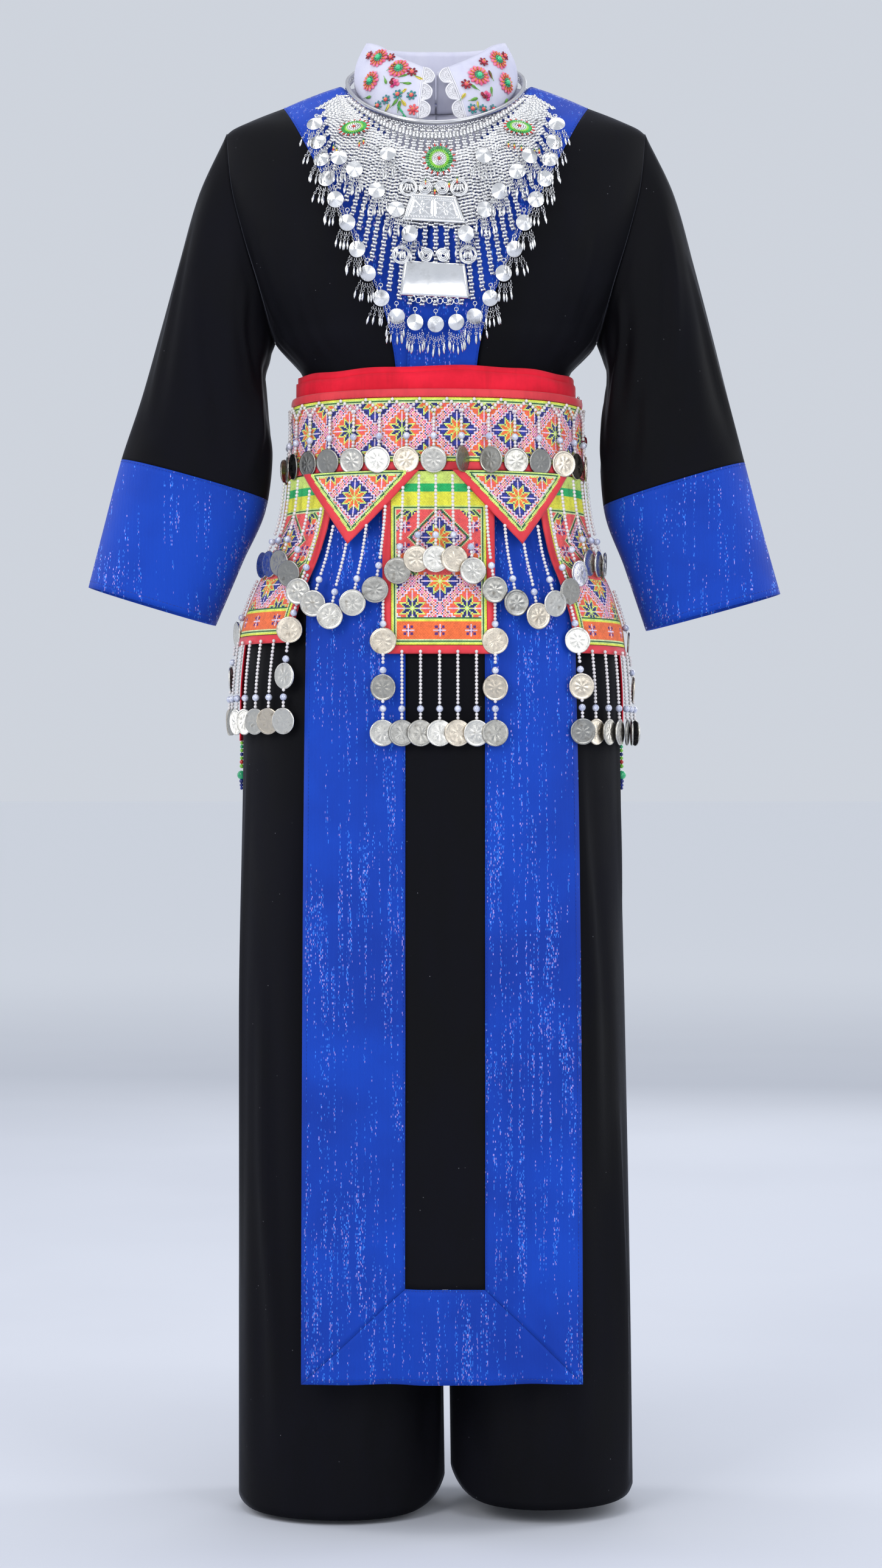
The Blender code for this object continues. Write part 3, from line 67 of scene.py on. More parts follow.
bl_info = {
    "name": "Worn costume",
    "version": (1, 0, 0),
    "blender": (4, 5, 0),
    "location": "3D View > Sidebar > Costume",
    "description": "Builds a jacket, trousers, apron, sash, coin belt and necklace",
    "category": "Object",
}

CLOTH = 0.0020
FINE_CLOTH = 0.0014
BELT_CLOTH = 0.0016
SEAM = 0.0003
SQUARE = 2.3  # how square the body's outlines are: 2 is an ellipse
UP = Vector((0.0, 0.0, 1.0))

# Heights, half widths, steps outward and angles of the cut pieces.
JACKET_HEM = -0.400
ARMPIT = -0.250
ARMHOLE_TOP = 0.205
LAPEL_LIFT = 0.0038
BLOUSE_DEPTH = 0.0076
LAPEL_TOP = -0.018
BACK_NECK_HALF = 0.094
BACK_NECK_BAND = 0.055

TROUSER_TOP = -0.330
CROTCH = -0.630
CROTCH_START = -0.500
HEM_LEFT = -1.387
HEM_RIGHT = -1.377
LEG_GAP = 0.0030

SASH_TOP = -0.286
SASH_BOTTOM = -0.345
BELT_TOP = -0.3076
BELT_BOTTOM = -0.385
BINDING = 0.008
FLAP_PITCH = 0.0765
PANEL_HALF = 0.0535
TRIANGLE_HALF = 0.0610
TRIANGLE_TIP = -0.455
COIN = 0.0244
COIN_THICK = 0.0016

APRON_TOP = -0.302
APRON_BOTTOM = -1.250
APRON_LEFT = -0.127
APRON_RIGHT = 0.139
CENTRE_LEFT = -0.0285
CENTRE_RIGHT = 0.0465
CENTRE_BOTTOM = -1.160

RING_HALF = 0.087
RING_FRONT = 0.0935
RING_BACK = 0.066
RING_SIDE_Z = 0.0083
RING_TILT = 0.600
RING_DIP = 0.0035
RING_TUBE = 0.0023
DISC = 0.016
EDGE_TURN = 0.0009
BACK_SHOULDER = 0.72
BACK_NECK_Z = -0.012
CUFF_SEAM = 0.0008
SLEEVE_SQUARE = 2.2
LEG_SQUARE = 2.0
LEG_DEPTH = 0.90
BELT_END_ANGLE = 86.0
BELT_START_ANGLE = 90.0
BELT_END_LIFT = 0.0025
TRIANGLE_OUT = 0.0042
ROW_COUNT = 31
ROW_MARGIN = 0.014
ROW_COIN_Z = -0.3755
WAVE_TOP = -0.3915
WAVE_DROP = 0.068
WAVE_PITCH = 0.0155
WAVE_SIDE = 0.1560
WAVE_MORE = 0.0110
PANEL_DROP = 0.075
TAIL_ANGLE = 117.0
TAIL_HALF = 0.042
TAIL_TOP = -0.3854
TAIL_BOTTOM = -0.640
TAIL_DROPS = 5
BLOUSE_LOW = -0.200
NECK_HALF = 0.070
NECK_FRONT_Z = -0.030
NECK_BACK_Z = 0.000
COLLAR_SEAT = 0.0009
COLLAR_OPEN = 0.012
LEAF_LEFT = (8.5, 11.5)
LEAF_RIGHT = (8.5, 20.5)
RING_OPEN = 0.22
BIB_SPREAD = 72.0
BIB_OUT_TOP = 0.0052
BIB_OUT = 0.0080
PLATE_THICK = 0.0026
PENDANT_OUT = 0.0019
PENDANT_SLOPE = 0.115
OUTER_SPOKES = (0.085, 0.175, 0.26, 0.35, 0.44, 0.53, 0.62, 0.71, 0.80, 0.89, 0.98)
SIDES = ((-1.0, "left"), (1.0, "right"))

# How far in from an edge its sewing runs.
BAND_SEWING = 0.0016
JOIN_SEWING = 0.0014
APRON_SEWING = 0.0050
CUFF_SEWING = 0.0018
CUFF_HEM_SEWING = 0.0060
BINDING_SEWING = 0.0010


class Smooth:
    """A smooth line through points, with no overshoot between them."""

    def __init__(self, points):
        points = sorted(points)
        self.at = [point[0] for point in points]
        self.value = [point[1] for point in points]
        steps = []
        for first, second in zip(points, points[1:]):
            steps.append((second[1] - first[1]) / (second[0] - first[0]))
        self.slope = [steps[0]]
        for before, after in zip(steps, steps[1:]):
            level = before * after <= 0.0
            self.slope.append(0.0 if level else 2.0 * before * after / (before + after))
        self.slope.append(steps[-1])

    def __call__(self, at):
        at = min(max(at, self.at[0]), self.at[-1])
        index = min(bisect_right(self.at, at) - 1, len(self.at) - 2)
        span = self.at[index + 1] - self.at[index]
        t = (at - self.at[index]) / span
        start, end = self.value[index], self.value[index + 1]
        leave, arrive = self.slope[index] * span, self.slope[index + 1] * span
        bend = 2.0 * (start - end) + leave + arrive
        return start + t * (leave + t * ((end - start) - leave - bend + t * bend))


def named(columns, rows):
    """Each column of a table as a smooth line against its first column."""
    names = columns.split()
    lines = {}
    for place, name in enumerate(names[1:], start=1):
        lines[name] = Smooth([(row[0], row[place]) for row in rows])
    return lines


TORSO = named("z wide front back", [
    (0.012, 0.060, 0.006, 0.030),
    (0.004, 0.094, 0.013, 0.042),
    (-0.008, 0.128, 0.026, 0.052),
    (-0.018, 0.151, 0.042, 0.060),
    (-0.036, 0.190, 0.069, 0.074),
    (-0.045, 0.206, 0.080, 0.080),
    (-0.055, 0.213, 0.088, 0.086),
    (-0.080, 0.216, 0.100, 0.094),
    (-0.120, 0.212, 0.112, 0.102),
    (-0.160, 0.203, 0.117, 0.105),
    (-0.200, 0.188, 0.115, 0.105),
    (-0.230, 0.170, 0.110, 0.103),
    (-0.242, 0.162, 0.1070, 0.1025),
    (-0.250, 0.158, 0.1060, 0.1018),
    (-0.260, 0.1495, 0.1030, 0.1000),
    (-0.270, 0.1400, 0.0990, 0.0980),
    (-0.279, 0.1325, 0.0965, 0.0968),
    (-0.288, 0.1295, 0.0955, 0.0965),
    (-0.340, 0.1285, 0.0955, 0.0965),
    (-0.400, 0.1330, 0.0975, 0.0995),
])

HIPS = named("z left right front back", [
    (-0.330, 0.1245, 0.1245, 0.0915, 0.0925),
    (-0.400, 0.1285, 0.1280, 0.0935, 0.0955),
    (-0.430, 0.1370, 0.1350, 0.0970, 0.1000),
    (-0.460, 0.1510, 0.1470, 0.1030, 0.1070),
    (-0.500, 0.1720, 0.1660, 0.1110, 0.1170),
    (-0.540, 0.1840, 0.1760, 0.1160, 0.1230),
    (-0.600, 0.1890, 0.1800, 0.1180, 0.1250),
    (-0.684, 0.1900, 0.1810, 0.1160, 0.1210),
    (-0.914, 0.1940, 0.1860, 0.1080, 0.1120),
    (-1.170, 0.1940, 0.1910, 0.1040, 0.1060),
    (-1.390, 0.1940, 0.1940, 0.1010, 0.1030),
])

SASH_LINE = named("z left right front back", [
    (-0.280, 0.1372, 0.1372, 0.1064, 0.1050),
    (-0.350, 0.1380, 0.1380, 0.1074, 0.1056),
])

BELT_LINE = named("z left right front back", [
    (-0.290, 0.1408, 0.1405, 0.1103, 0.1085),
    (-0.350, 0.1415, 0.1410, 0.1109, 0.1092),
    (-0.385, 0.1450, 0.1440, 0.1126, 0.1120),
    (-0.420, 0.1490, 0.1480, 0.1145, 0.1160),
    (-0.460, 0.1610, 0.1570, 0.1172, 0.1210),
    (-0.500, 0.1795, 0.1735, 0.1205, 0.1265),
    (-0.540, 0.1920, 0.1840, 0.1245, 0.1320),
    (-0.600, 0.1975, 0.1885, 0.1270, 0.1340),
    (-0.720, 0.1985, 0.1895, 0.1270, 0.1310),
])

APRON_LINE = named("z left right front back square", [
    (-0.300, 0.1316, 0.1316, 0.1020, 0.100, 2.3),
    (-0.345, 0.1322, 0.1322, 0.1024, 0.101, 2.3),
    (-0.385, 0.1355, 0.1345, 0.1036, 0.103, 2.3),
    (-0.420, 0.1395, 0.1375, 0.1052, 0.106, 2.3),
    (-0.460, 0.1545, 0.1505, 0.1095, 0.112, 2.3),
    (-0.500, 0.1755, 0.1695, 0.1160, 0.121, 2.3),
    (-0.540, 0.1880, 0.1800, 0.1205, 0.127, 2.3),
    (-0.600, 0.1940, 0.1850, 0.1228, 0.128, 2.4),
    (-0.700, 0.2000, 0.1950, 0.1240, 0.128, 2.6),
    (-0.900, 0.2150, 0.2150, 0.1255, 0.128, 2.9),
    (-1.260, 0.2400, 0.2450, 0.1275, 0.128, 3.3),
])

LAPEL = named("outer_z inner_x inner_z", [
    (-0.018, 0.094, 0.004),
    (-0.050, 0.077, -0.016),
    (-0.096, 0.052, -0.054),
    (-0.146, 0.026, -0.092),
    (-0.200, 0.002, -0.135),
    (-0.240, -0.012, -0.185),
    (-0.272, -0.022, -0.235),
    (-0.300, -0.027, -0.285),
    (-0.400, -0.028, -0.400),
])

LAPEL_EDGE = named("z x", [
    (-0.018, 0.151),
    (-0.050, 0.135),
    (-0.096, 0.112),
    (-0.146, 0.087),
    (-0.200, 0.062),
    (-0.240, 0.047),
    (-0.272, 0.040),
    (-0.300, 0.037),
    (-0.400, 0.031),
])

ARMHOLE = named("z x", [
    (-0.0440, 0.205),
    (-0.100, 0.199),
    (-0.150, 0.187),
    (-0.200, 0.172),
    (-0.250, 0.158),
])

SLEEVES = {
    "left": named("along outer_x outer_z inner_x inner_z depth", [
        (0.00, -0.205, -0.044, -0.158, -0.250, 0.057),
        (0.16, -0.233, -0.105, -0.165, -0.266, 0.062),
        (0.34, -0.252, -0.170, -0.171, -0.283, 0.060),
        (0.54, -0.270, -0.235, -0.167, -0.318, 0.056),
        (0.76, -0.290, -0.305, -0.161, -0.358, 0.053),
        (1.00, -0.3096, -0.364, -0.1656, -0.404, 0.051),
        (1.50, -0.326, -0.427, -0.191, -0.466, 0.050),
        (2.00, -0.342, -0.4896, -0.217, -0.527, 0.048),
    ]),
    "right": named("along outer_x outer_z inner_x inner_z depth", [
        (0.00, 0.205, -0.044, 0.158, -0.250, 0.057),
        (0.16, 0.234, -0.105, 0.165, -0.267, 0.062),
        (0.34, 0.254, -0.175, 0.170, -0.286, 0.060),
        (0.54, 0.272, -0.243, 0.165, -0.328, 0.056),
        (0.76, 0.288, -0.306, 0.162, -0.367, 0.053),
        (1.00, 0.304, -0.367, 0.165, -0.409, 0.051),
        (1.50, 0.321, -0.432, 0.186, -0.470, 0.050),
        (2.00, 0.339, -0.496, 0.207, -0.532, 0.048),
    ]),
}

TORSO_FOLDS = [
    # angle in degrees, top z, bottom z, height, width in degrees, lean in degrees
    (38.0, -0.120, -0.276, 0.0035, 7.0, 8.0),
    (60.0, -0.165, -0.277, 0.0026, 8.0, 4.0),
    (76.0, -0.190, -0.277, 0.0018, 6.0, 0.0),
    (-34.0, -0.130, -0.276, 0.0032, 6.0, -8.0),
    (-55.0, -0.160, -0.277, 0.0026, 8.0, -5.0),
    (-74.0, -0.195, -0.277, 0.0018, 6.0, 0.0),
    (118.0, -0.130, -0.277, 0.0035, 7.0, -6.0),
    (142.0, -0.160, -0.277, 0.0040, 7.0, -4.0),
    (-120.0, -0.140, -0.277, 0.0040, 7.0, 6.0),
    (-146.0, -0.170, -0.277, 0.0035, 7.0, 4.0),
    (-176.0, -0.180, -0.277, 0.0030, 6.0, 0.0),
]

SLEEVE_FOLDS = [
    # place round the sleeve in turns, start, end, height, width in turns, lean in turns
    (0.16, 0.05, 0.95, 0.0045, 0.045, 0.05),
    (0.30, 0.00, 0.60, 0.0050, 0.040, 0.04),
    (0.42, 0.02, 0.75, 0.0050, 0.040, -0.03),
    (0.60, 0.00, 0.70, 0.0045, 0.045, 0.05),
    (0.82, 0.10, 0.95, 0.0045, 0.050, -0.04),
]

LEG_FOLDS = [
    # place across the panel, top z, bottom z, height, width, lean
    (0.30, -0.720, -1.390, 0.0050, 0.085, 0.06),
    (0.62, -0.700, -1.390, 0.0060, 0.080, -0.05),
    (0.80, -0.760, -1.390, 0.0040, 0.060, 0.04),
]

BIB_EDGE = named("spoke x z", [
    (0.00, 0.000, -0.2325),
    (0.10, 0.022, -0.2300),
    (0.20, 0.040, -0.2195),
    (0.30, 0.056, -0.197),
    (0.42, 0.070, -0.168),
    (0.55, 0.0835, -0.134),
    (0.68, 0.099, -0.104),
    (0.80, 0.1060, -0.079),
    (0.90, 0.1105, -0.060),
    (1.00, 0.1140, -0.040),
])


LEG_SPLIT = Smooth([(-1.387, 0.012), (-0.900, 0.005), (-0.600, 0.0), (-0.330, 0.0)])
FOLD_Z = Smooth([(0.0, 0.004), (30.0, 0.020), (60.0, 0.038), (90.0, 0.046), (180.0, 0.050)])
LEAF_Z = Smooth([(0.0, -0.046), (20.0, -0.045), (45.0, -0.034), (70.0, -0.012), (90.0, 0.004),
                 (135.0, 0.006), (180.0, 0.001)])

PANELS = (
    # name, run of its middle along the belt's lower edge, bottom z
    ("left", -0.153, -0.548),
    ("centre", 0.0025, -0.560),
    ("right", 0.153, -0.558),
)

PLATES = (
    # name, top z, bottom z, half width at the top and at the bottom, x of the middle, seat
    ("lock_plate_upper", -0.1283, -0.1530, 0.0205, 0.0299, -0.0018, 0.0010),
    ("lock_plate_lower", -0.1895, -0.2205, 0.0280, 0.0325, -0.0010, 0.0002),
)

ROSETTES = (
    # name, x, z, radius, seat
    ("rosette_centre", 0.0032, -0.0932, 0.0160, -0.0006),
    ("rosette_left", -0.0768, -0.0618, 0.0150, 0.0010),
    ("rosette_right", 0.0784, -0.0612, 0.0150, 0.0010),
)


def mix(first, second, share):
    return first + (second - first) * share


def steps(start, end, count):
    return [mix(start, end, index / count) for index in range(count + 1)]


def shares(count):
    return steps(0.0, 1.0, count)


def circle(count):
    """Even turns round a circle, in radians."""
    return [tau * step / count for step in range(count)]


def power(value, exponent):
    return copysign(abs(value) ** exponent, value)


def rise(value, start, end):
    """0 before start, 1 after end and a soft ramp between."""
    t = min(max((value - start) / (end - start), 0.0), 1.0)
    return t * t * (3.0 - 2.0 * t)


def fold_height(folds, around, down):
    """The height of the soft ridges that a table of folds raises at one place."""
    total = 0.0
    for place, start, end, height, width, lean in folds:
        share = (down - start) / (end - start)
        if 0.0 < share < 1.0:
            middle = place + lean * (share - 0.5)
            window = sin(pi * min(share, 1.0)) ** 0.8
            total += height * window * exp(-((around - middle) / width) ** 2)
    return total


class Outline:
    """A level outline round the body, by angle from the front or by run along it."""

    SAMPLES = 120

    def __init__(self, left, right, front, back, square):
        self.left = left
        self.right = right
        self.front = front
        self.back = back
        self.square = square
        self.runs = None

    def point(self, angle, out=0.0):
        side, fore = sin(angle), cos(angle)
        wide = self.right if side > 0.0 else self.left
        deep = self.front if fore > 0.0 else self.back
        x = wide * power(side, 2.0 / self.square)
        y = -deep * power(fore, 2.0 / self.square)
        if out:
            facing = self.facing(x, y)
            x += facing[0] * out
            y += facing[1] * out
        return x, y

    def facing(self, x, y):
        wide = self.right if x > 0.0 else self.left
        deep = self.front if y < 0.0 else self.back
        along_x = power(x / wide, self.square - 1.0) / wide
        along_y = power(y / deep, self.square - 1.0) / deep
        size = hypot(along_x, along_y)
        return along_x / size, along_y / size

    def table(self):
        """Runs along the outline from the front centre, at even angles to each side."""
        if self.runs is None:
            self.runs = {}
            for way in (-1.0, 1.0):
                total = 0.0
                runs = [0.0]
                before = self.point(0.0)
                for index in range(1, self.SAMPLES + 1):
                    place = self.point(way * pi * index / self.SAMPLES)
                    total += hypot(place[0] - before[0], place[1] - before[1])
                    runs.append(total)
                    before = place
                self.runs[way] = runs
        return self.runs

    def angle_at(self, run):
        way = -1.0 if run < 0.0 else 1.0
        runs = self.table()[way]
        run = min(abs(run), runs[-1])
        index = min(bisect_right(runs, run) - 1, self.SAMPLES - 1)
        share = (run - runs[index]) / (runs[index + 1] - runs[index])
        return way * pi * (index + share) / self.SAMPLES

    def run_at(self, angle):
        way = -1.0 if angle < 0.0 else 1.0
        runs = self.table()[way]
        place = abs(angle) / pi * self.SAMPLES
        index = min(int(place), self.SAMPLES - 1)
        return way * mix(runs[index], runs[index + 1], place - index)


OUTLINES = {}


def outline(line, z):
    """The outline of a table of levels at one height, kept for the next use."""
    key = (id(line), round(z, 5))
    if key not in OUTLINES:
        if "wide" in line:
            left = right = line["wide"](z)
        else:
            left, right = line["left"](z), line["right"](z)
        square = line["square"](z) if "square" in line else SQUARE
        OUTLINES[key] = Outline(left, right, line["front"](z), line["back"](z), square)
    return OUTLINES[key]


def at_run(line, run, z, out=0.0):
    """A point by its run along the outline from the front centre."""
    level = outline(line, z)
    x, y = level.point(level.angle_at(run), out)
    return Vector((x, y, z))


def at_angle(line, angle, z, out=0.0):
    x, y = outline(line, z).point(angle, out)
    return Vector((x, y, z))


def on_flap(angle, run, z, out=0.0):
    """A point on the belt's hanging cloth, by its run from the flap's own middle line."""
    level = outline(BELT_LINE, z)
    x, y = level.point(level.angle_at(level.run_at(angle) + run), out)
    return Vector((x, y, z))


def level_inside(point):
    return UP * point.z


PANEL_ROWS = (0.0, 0.022, 0.06, 0.12, 0.21, 0.31, 0.41, 0.50, 0.55, 0.578, 0.612, 0.640, 0.660, 0.672, 0.75, 1.0)
ARMHOLE_ROWS = 10


def torso_angle(x, z):
    share = min(abs(x) / TORSO["wide"](z), 1.0)
    turn = min(asin(share ** (SQUARE / 2.0)), pi / 2.0 - EDGE_TURN)
    return copysign(turn, x)


def torso_normal(point):
    """The outward normal of the jacket's surface, which stays true along the shoulder ridge."""
    e = 0.0005
    wide = TORSO["wide"](point.z)
    side = "front" if point.y < 0.0 else "back"
    deep = TORSO[side](point.z)
    wide_slope = (TORSO["wide"](point.z + e) - TORSO["wide"](point.z - e)) / (2.0 * e)
    deep_slope = (TORSO[side](point.z + e) - TORSO[side](point.z - e)) / (2.0 * e)
    across = abs(point.x) / wide
    along = abs(point.y) / deep
    x = power(point.x / wide, SQUARE - 1.0) / wide
    y = power(point.y / deep, SQUARE - 1.0) / deep
    z = -(across ** SQUARE * wide_slope / wide + along ** SQUARE * deep_slope / deep)
    return Vector((x, y, z)).normalized()


def torso_at(angle, z, out=0.0):
    point = at_angle(TORSO, angle, z)
    return point + torso_normal(point) * out


def torso_point(x, z, back=False, out=0.0):
    angle = torso_angle(x, z)
    if back:
        angle = copysign(pi, x) - angle
    return torso_at(angle, z, out)


def ridge(x):
    """The height of the shoulder line at a distance from the middle."""
    low, high = -0.055, 0.012
    for _ in range(40):
        middle = (low + high) / 2.0
        if TORSO["wide"](middle) > abs(x):
            low = middle
        else:
            high = middle
    return (low + high) / 2.0


def panel_side(share):
    """The jacket panel's outer edge: down the armhole, then down the side seam."""
    z = mix(ridge(ARMHOLE_TOP), JACKET_HEM, share)
    if z > ARMPIT:
        return ARMHOLE["x"](z), z
    return TORSO["wide"](z), z


def back_band_edge(share, low):
    """The back neck band's upper or lower edge, from the middle of the back to the shoulder."""
    if low:
        end_x, middle_z = LAPEL_EDGE["x"](0.0), BACK_NECK_Z - BACK_NECK_BAND
    else:
        end_x, middle_z = BACK_NECK_HALF, BACK_NECK_Z
    return end_x * share, mix(middle_z, ridge(end_x), share * share)


def armhole_point(way, turn):
    """The armhole's edge by turn: 0 at the shoulder, 0.25 in front and 0.5 at the armpit."""
    last = ARMHOLE_ROWS - 1
    place = (turn if turn <= 0.5 else 1.0 - turn) * 2.0 * last
    index = min(int(place), last - 1)
    share = mix(PANEL_ROWS[index], PANEL_ROWS[index + 1], place - index)
    x, z = panel_side(share)
    return torso_point(way * x, z, turn > 0.5)


def sleeve_point(name, turn, along):
    """The sleeve's outer face; along is 0 at the armhole, 1 at the cuff seam and 2 at the cuff's hem."""
    way = -1.0 if name == "left" else 1.0
    turn %= 1.0
    rings = SLEEVES[name]

    def ring(at):
        outer = Vector((rings["outer_x"](at), 0.0, rings["outer_z"](at)))
        inner = Vector((rings["inner_x"](at), 0.0, rings["inner_z"](at)))
        fore, side = cos(turn * tau), sin(turn * tau)
        half = (outer - inner) / 2.0
        point = (outer + inner) / 2.0 + half * power(fore, 2.0 / SLEEVE_SQUARE)
        point.y = -rings["depth"](at) * power(side, 2.0 / SLEEVE_SQUARE)
        return point

    point = ring(max(along, 0.0))
    join = 1.0 - rise(along, 0.0, 0.40)
    if join > 0.0:
        point += (armhole_point(way, turn) - ring(0.0)) * join
    return point


def leg_point(way, back, u, v):
    """The trousers' outer face: u runs from the middle or the inside leg to the side seam."""
    hem = HEM_LEFT if way < 0.0 else HEM_RIGHT
    z = mix(TROUSER_TOP, hem, v)
    wide = HIPS["left" if way < 0.0 else "right"](z)
    deep = HIPS["back"](z) if back else -HIPS["front"](z)
    side, fore = sin(u * pi / 2.0), cos(u * pi / 2.0)
    hip_x = way * (SEAM / 2.0 + (wide - SEAM / 2.0) * power(side, 2.0 / SQUARE))
    hip_y = deep * power(fore, 2.0 / SQUARE)
    inner = LEG_SPLIT(z) + way * LEG_GAP
    outer = way * wide
    leg_x = (inner + outer) / 2.0 - (outer - inner) / 2.0 * power(cos(u * pi), 2.0 / LEG_SQUARE)
    leg_y = deep * LEG_DEPTH * power(sin(u * pi), 2.0 / LEG_SQUARE)
    legs = rise(-z, -CROTCH_START, -CROTCH)
    return Vector((mix(hip_x, leg_x, legs), mix(hip_y, leg_y, legs), z))


def apron_point(run, z, out=0.0):
    """The apron's outer face, which sways a little more towards its free hem."""
    sway = 0.0035 * rise(-z, 0.60, 1.25)
    wave = sin(run * 46.0 + 0.6) + 0.5 * sin(run * 93.0 + z * 3.0)
    return at_run(APRON_LINE, run, z, out + sway * wave)


def belt_run(run):
    """A point's angle on the belt by its run, which goes to the left round the back."""
    level = outline(BELT_LINE, BELT_TOP)
    half = level.run_at(pi)
    run = run + 2.0 * half if run < -half else run
    return level.angle_at(run)


def belt_edges():
    level = outline(BELT_LINE, BELT_TOP)
    right = level.run_at(radians(BELT_END_ANGLE))
    start = level.run_at(radians(BELT_START_ANGLE)) - 2.0 * level.run_at(pi)
    return start, right


def row_runs():
    """The runs along the belt of the strings on its upper edge."""
    start, end = belt_edges()
    return steps(start + ROW_MARGIN, end - ROW_MARGIN, ROW_COUNT - 1)


def subdivide(line, count):
    """The corners of a line with even points between them."""
    points = []
    for first, second in zip(line, line[1:]):
        for index in range(count):
            share = index / count
            points.append((mix(first[0], second[0], share), mix(first[1], second[1], share)))
    points.append(line[-1])
    return points


def flap_angle(run):
    level = outline(BELT_LINE, BELT_BOTTOM)
    return level.angle_at(run)


def from_front(angle):
    """The size of an angle from the front, whichever way it is counted."""
    return abs(atan2(sin(angle), cos(angle)))


def away_at(angle):
    """The level direction away from the middle at an angle from the front."""
    return Vector((sin(angle), -cos(angle), 0.0))


def blouse_depth(share):
    """How far the blouse lies inside the jacket's surface, less towards the shoulder line."""
    return BLOUSE_DEPTH - 0.0026 * rise(share, 0.7, 1.0)


def neck_seam(angle):
    """The blouse's neck seam by the angle from the front, on the blouse's own surface."""
    front = from_front(angle)
    x = NECK_HALF * sin(angle)
    side_z = ridge(NECK_HALF)
    if front <= pi / 2.0:
        z = mix(NECK_FRONT_Z, side_z, 1.0 - cos(front))
    else:
        z = mix(NECK_BACK_Z, side_z, 1.0 + cos(front))
    share = 1.0 - abs(front / (pi / 2.0) - 1.0)
    return torso_point(x, z, front > pi / 2.0, -blouse_depth(share))


def collar_fold(angle):
    front = from_front(angle)
    deep = -0.060 if front <= pi / 2.0 else -0.051
    return Vector((0.067 * sin(angle), deep * cos(angle), FOLD_Z(degrees(front))))


def leaf_edge(angle):
    front = from_front(angle)
    deep = -0.0855 if front <= pi / 2.0 else -0.071
    x = 0.0800 * sin(angle)
    return Vector((x, deep * cos(angle), LEAF_Z(degrees(front))))


def ring_point(angle):
    """The neck ring's middle line by the angle from the front."""
    fore = cos(angle)
    y = -fore * (RING_FRONT if fore > 0.0 else RING_BACK)
    dip = RING_DIP * max(fore, 0.0) ** 4
    return Vector((RING_HALF * sin(angle), y, RING_SIDE_Z + y * RING_TILT - dip))


def bib_flat(spoke, out):
    """The bib's x and z at a spoke, -1 to 1 from left to right, and a share of the way to its edge."""
    angle = radians(BIB_SPREAD) * spoke
    start = ring_point(angle)
    share = abs(spoke)
    x0, z0 = start.x * 1.05, start.z - mix(0.0075, 0.0085, share)
    x1 = copysign(BIB_EDGE["x"](share), spoke)
    z1 = BIB_EDGE["z"](share)
    return mix(x0, x1, out), mix(z0, z1, out)


def bib_point(spoke, share, out=0.0):
    x, z = bib_flat(spoke, share)
    return torso_point(x, z, out=mix(BIB_OUT_TOP, BIB_OUT, rise(share, 0.0, 0.25)) + out)


def on_chest(x, z, out=0.0):
    return torso_point(x, z, out=BIB_OUT + out)


def put(name, data):
    """A new object in the scene."""
    thing = bpy.data.objects.new(name, data)
    bpy.context.scene.collection.objects.link(thing)
    return thing


def link(name, mesh, finishes, covers=()):
    """A new piece of the costume from a mesh, which rides with the CAD's only body."""
    thing = put(name, mesh)
    for used in finishes:
        mesh.materials.append(used)
    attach(thing, "root")
    if covers:
        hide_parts(*covers)
    return thing


class Pile:
    """Vertices and faces gathered into one piece, each face with its finish and its colour."""

    def __init__(self, *looks):
        self.looks = looks
        self.vertices = []
        self.faces = []
        self.marks = []
        self.tints = []

    def add(self, vertices, faces, look=0, tint=None):
        start = len(self.vertices)
        self.vertices.extend(vertices)
        self.faces.extend(tuple(start + index for index in face) for face in faces)
        self.marks.extend([look] * len(faces))
        self.tints.extend([tint] * len(faces))

    def piece(self, name, covers=(), smooth=True):
        mesh = bpy.data.meshes.new(name)
        mesh.from_pydata([tuple(point) for point in self.vertices], [], self.faces)
        if smooth:
            mesh.shade_smooth()
        mesh.polygons.foreach_set("material_index", self.marks)
        if any(self.tints):
            layer = mesh.color_attributes.new("tint", "FLOAT_COLOR", "CORNER")
            colours = []
            for face, tint in zip(self.faces, self.tints):
                colours.extend((*(tint or (1.0, 1.0, 1.0)), 1.0) * len(face))
            layer.data.foreach_set("color", colours)
        mesh.update()
        finishes = [finish(look) for look in self.looks]
        return link(name, mesh, finishes, covers)


def facing_of(points, inside, ring):
    """The outward normals of a grid of points."""
    rows, columns = len(points), len(points[0])
    normals = []
    for row in range(rows):
        above, below = points[max(row - 1, 0)], points[min(row + 1, rows - 1)]
        line = []
        for column in range(columns):
            if ring:
                before, after = (column - 1) % columns, (column + 1) % columns
            else:
                before, after = max(column - 1, 0), min(column + 1, columns - 1)
            here = points[row][column]
            middle = inside(here)
            normal = (points[row][after] - points[row][before]).cross(below[column] - above[column])
            if normal.length < 1e-12:
                normal = here - middle
            normal.normalize()
            if normal.dot(here - middle) < 0.0:
                normal.negate()
            line.append(normal)
        normals.append(line)
    return normals


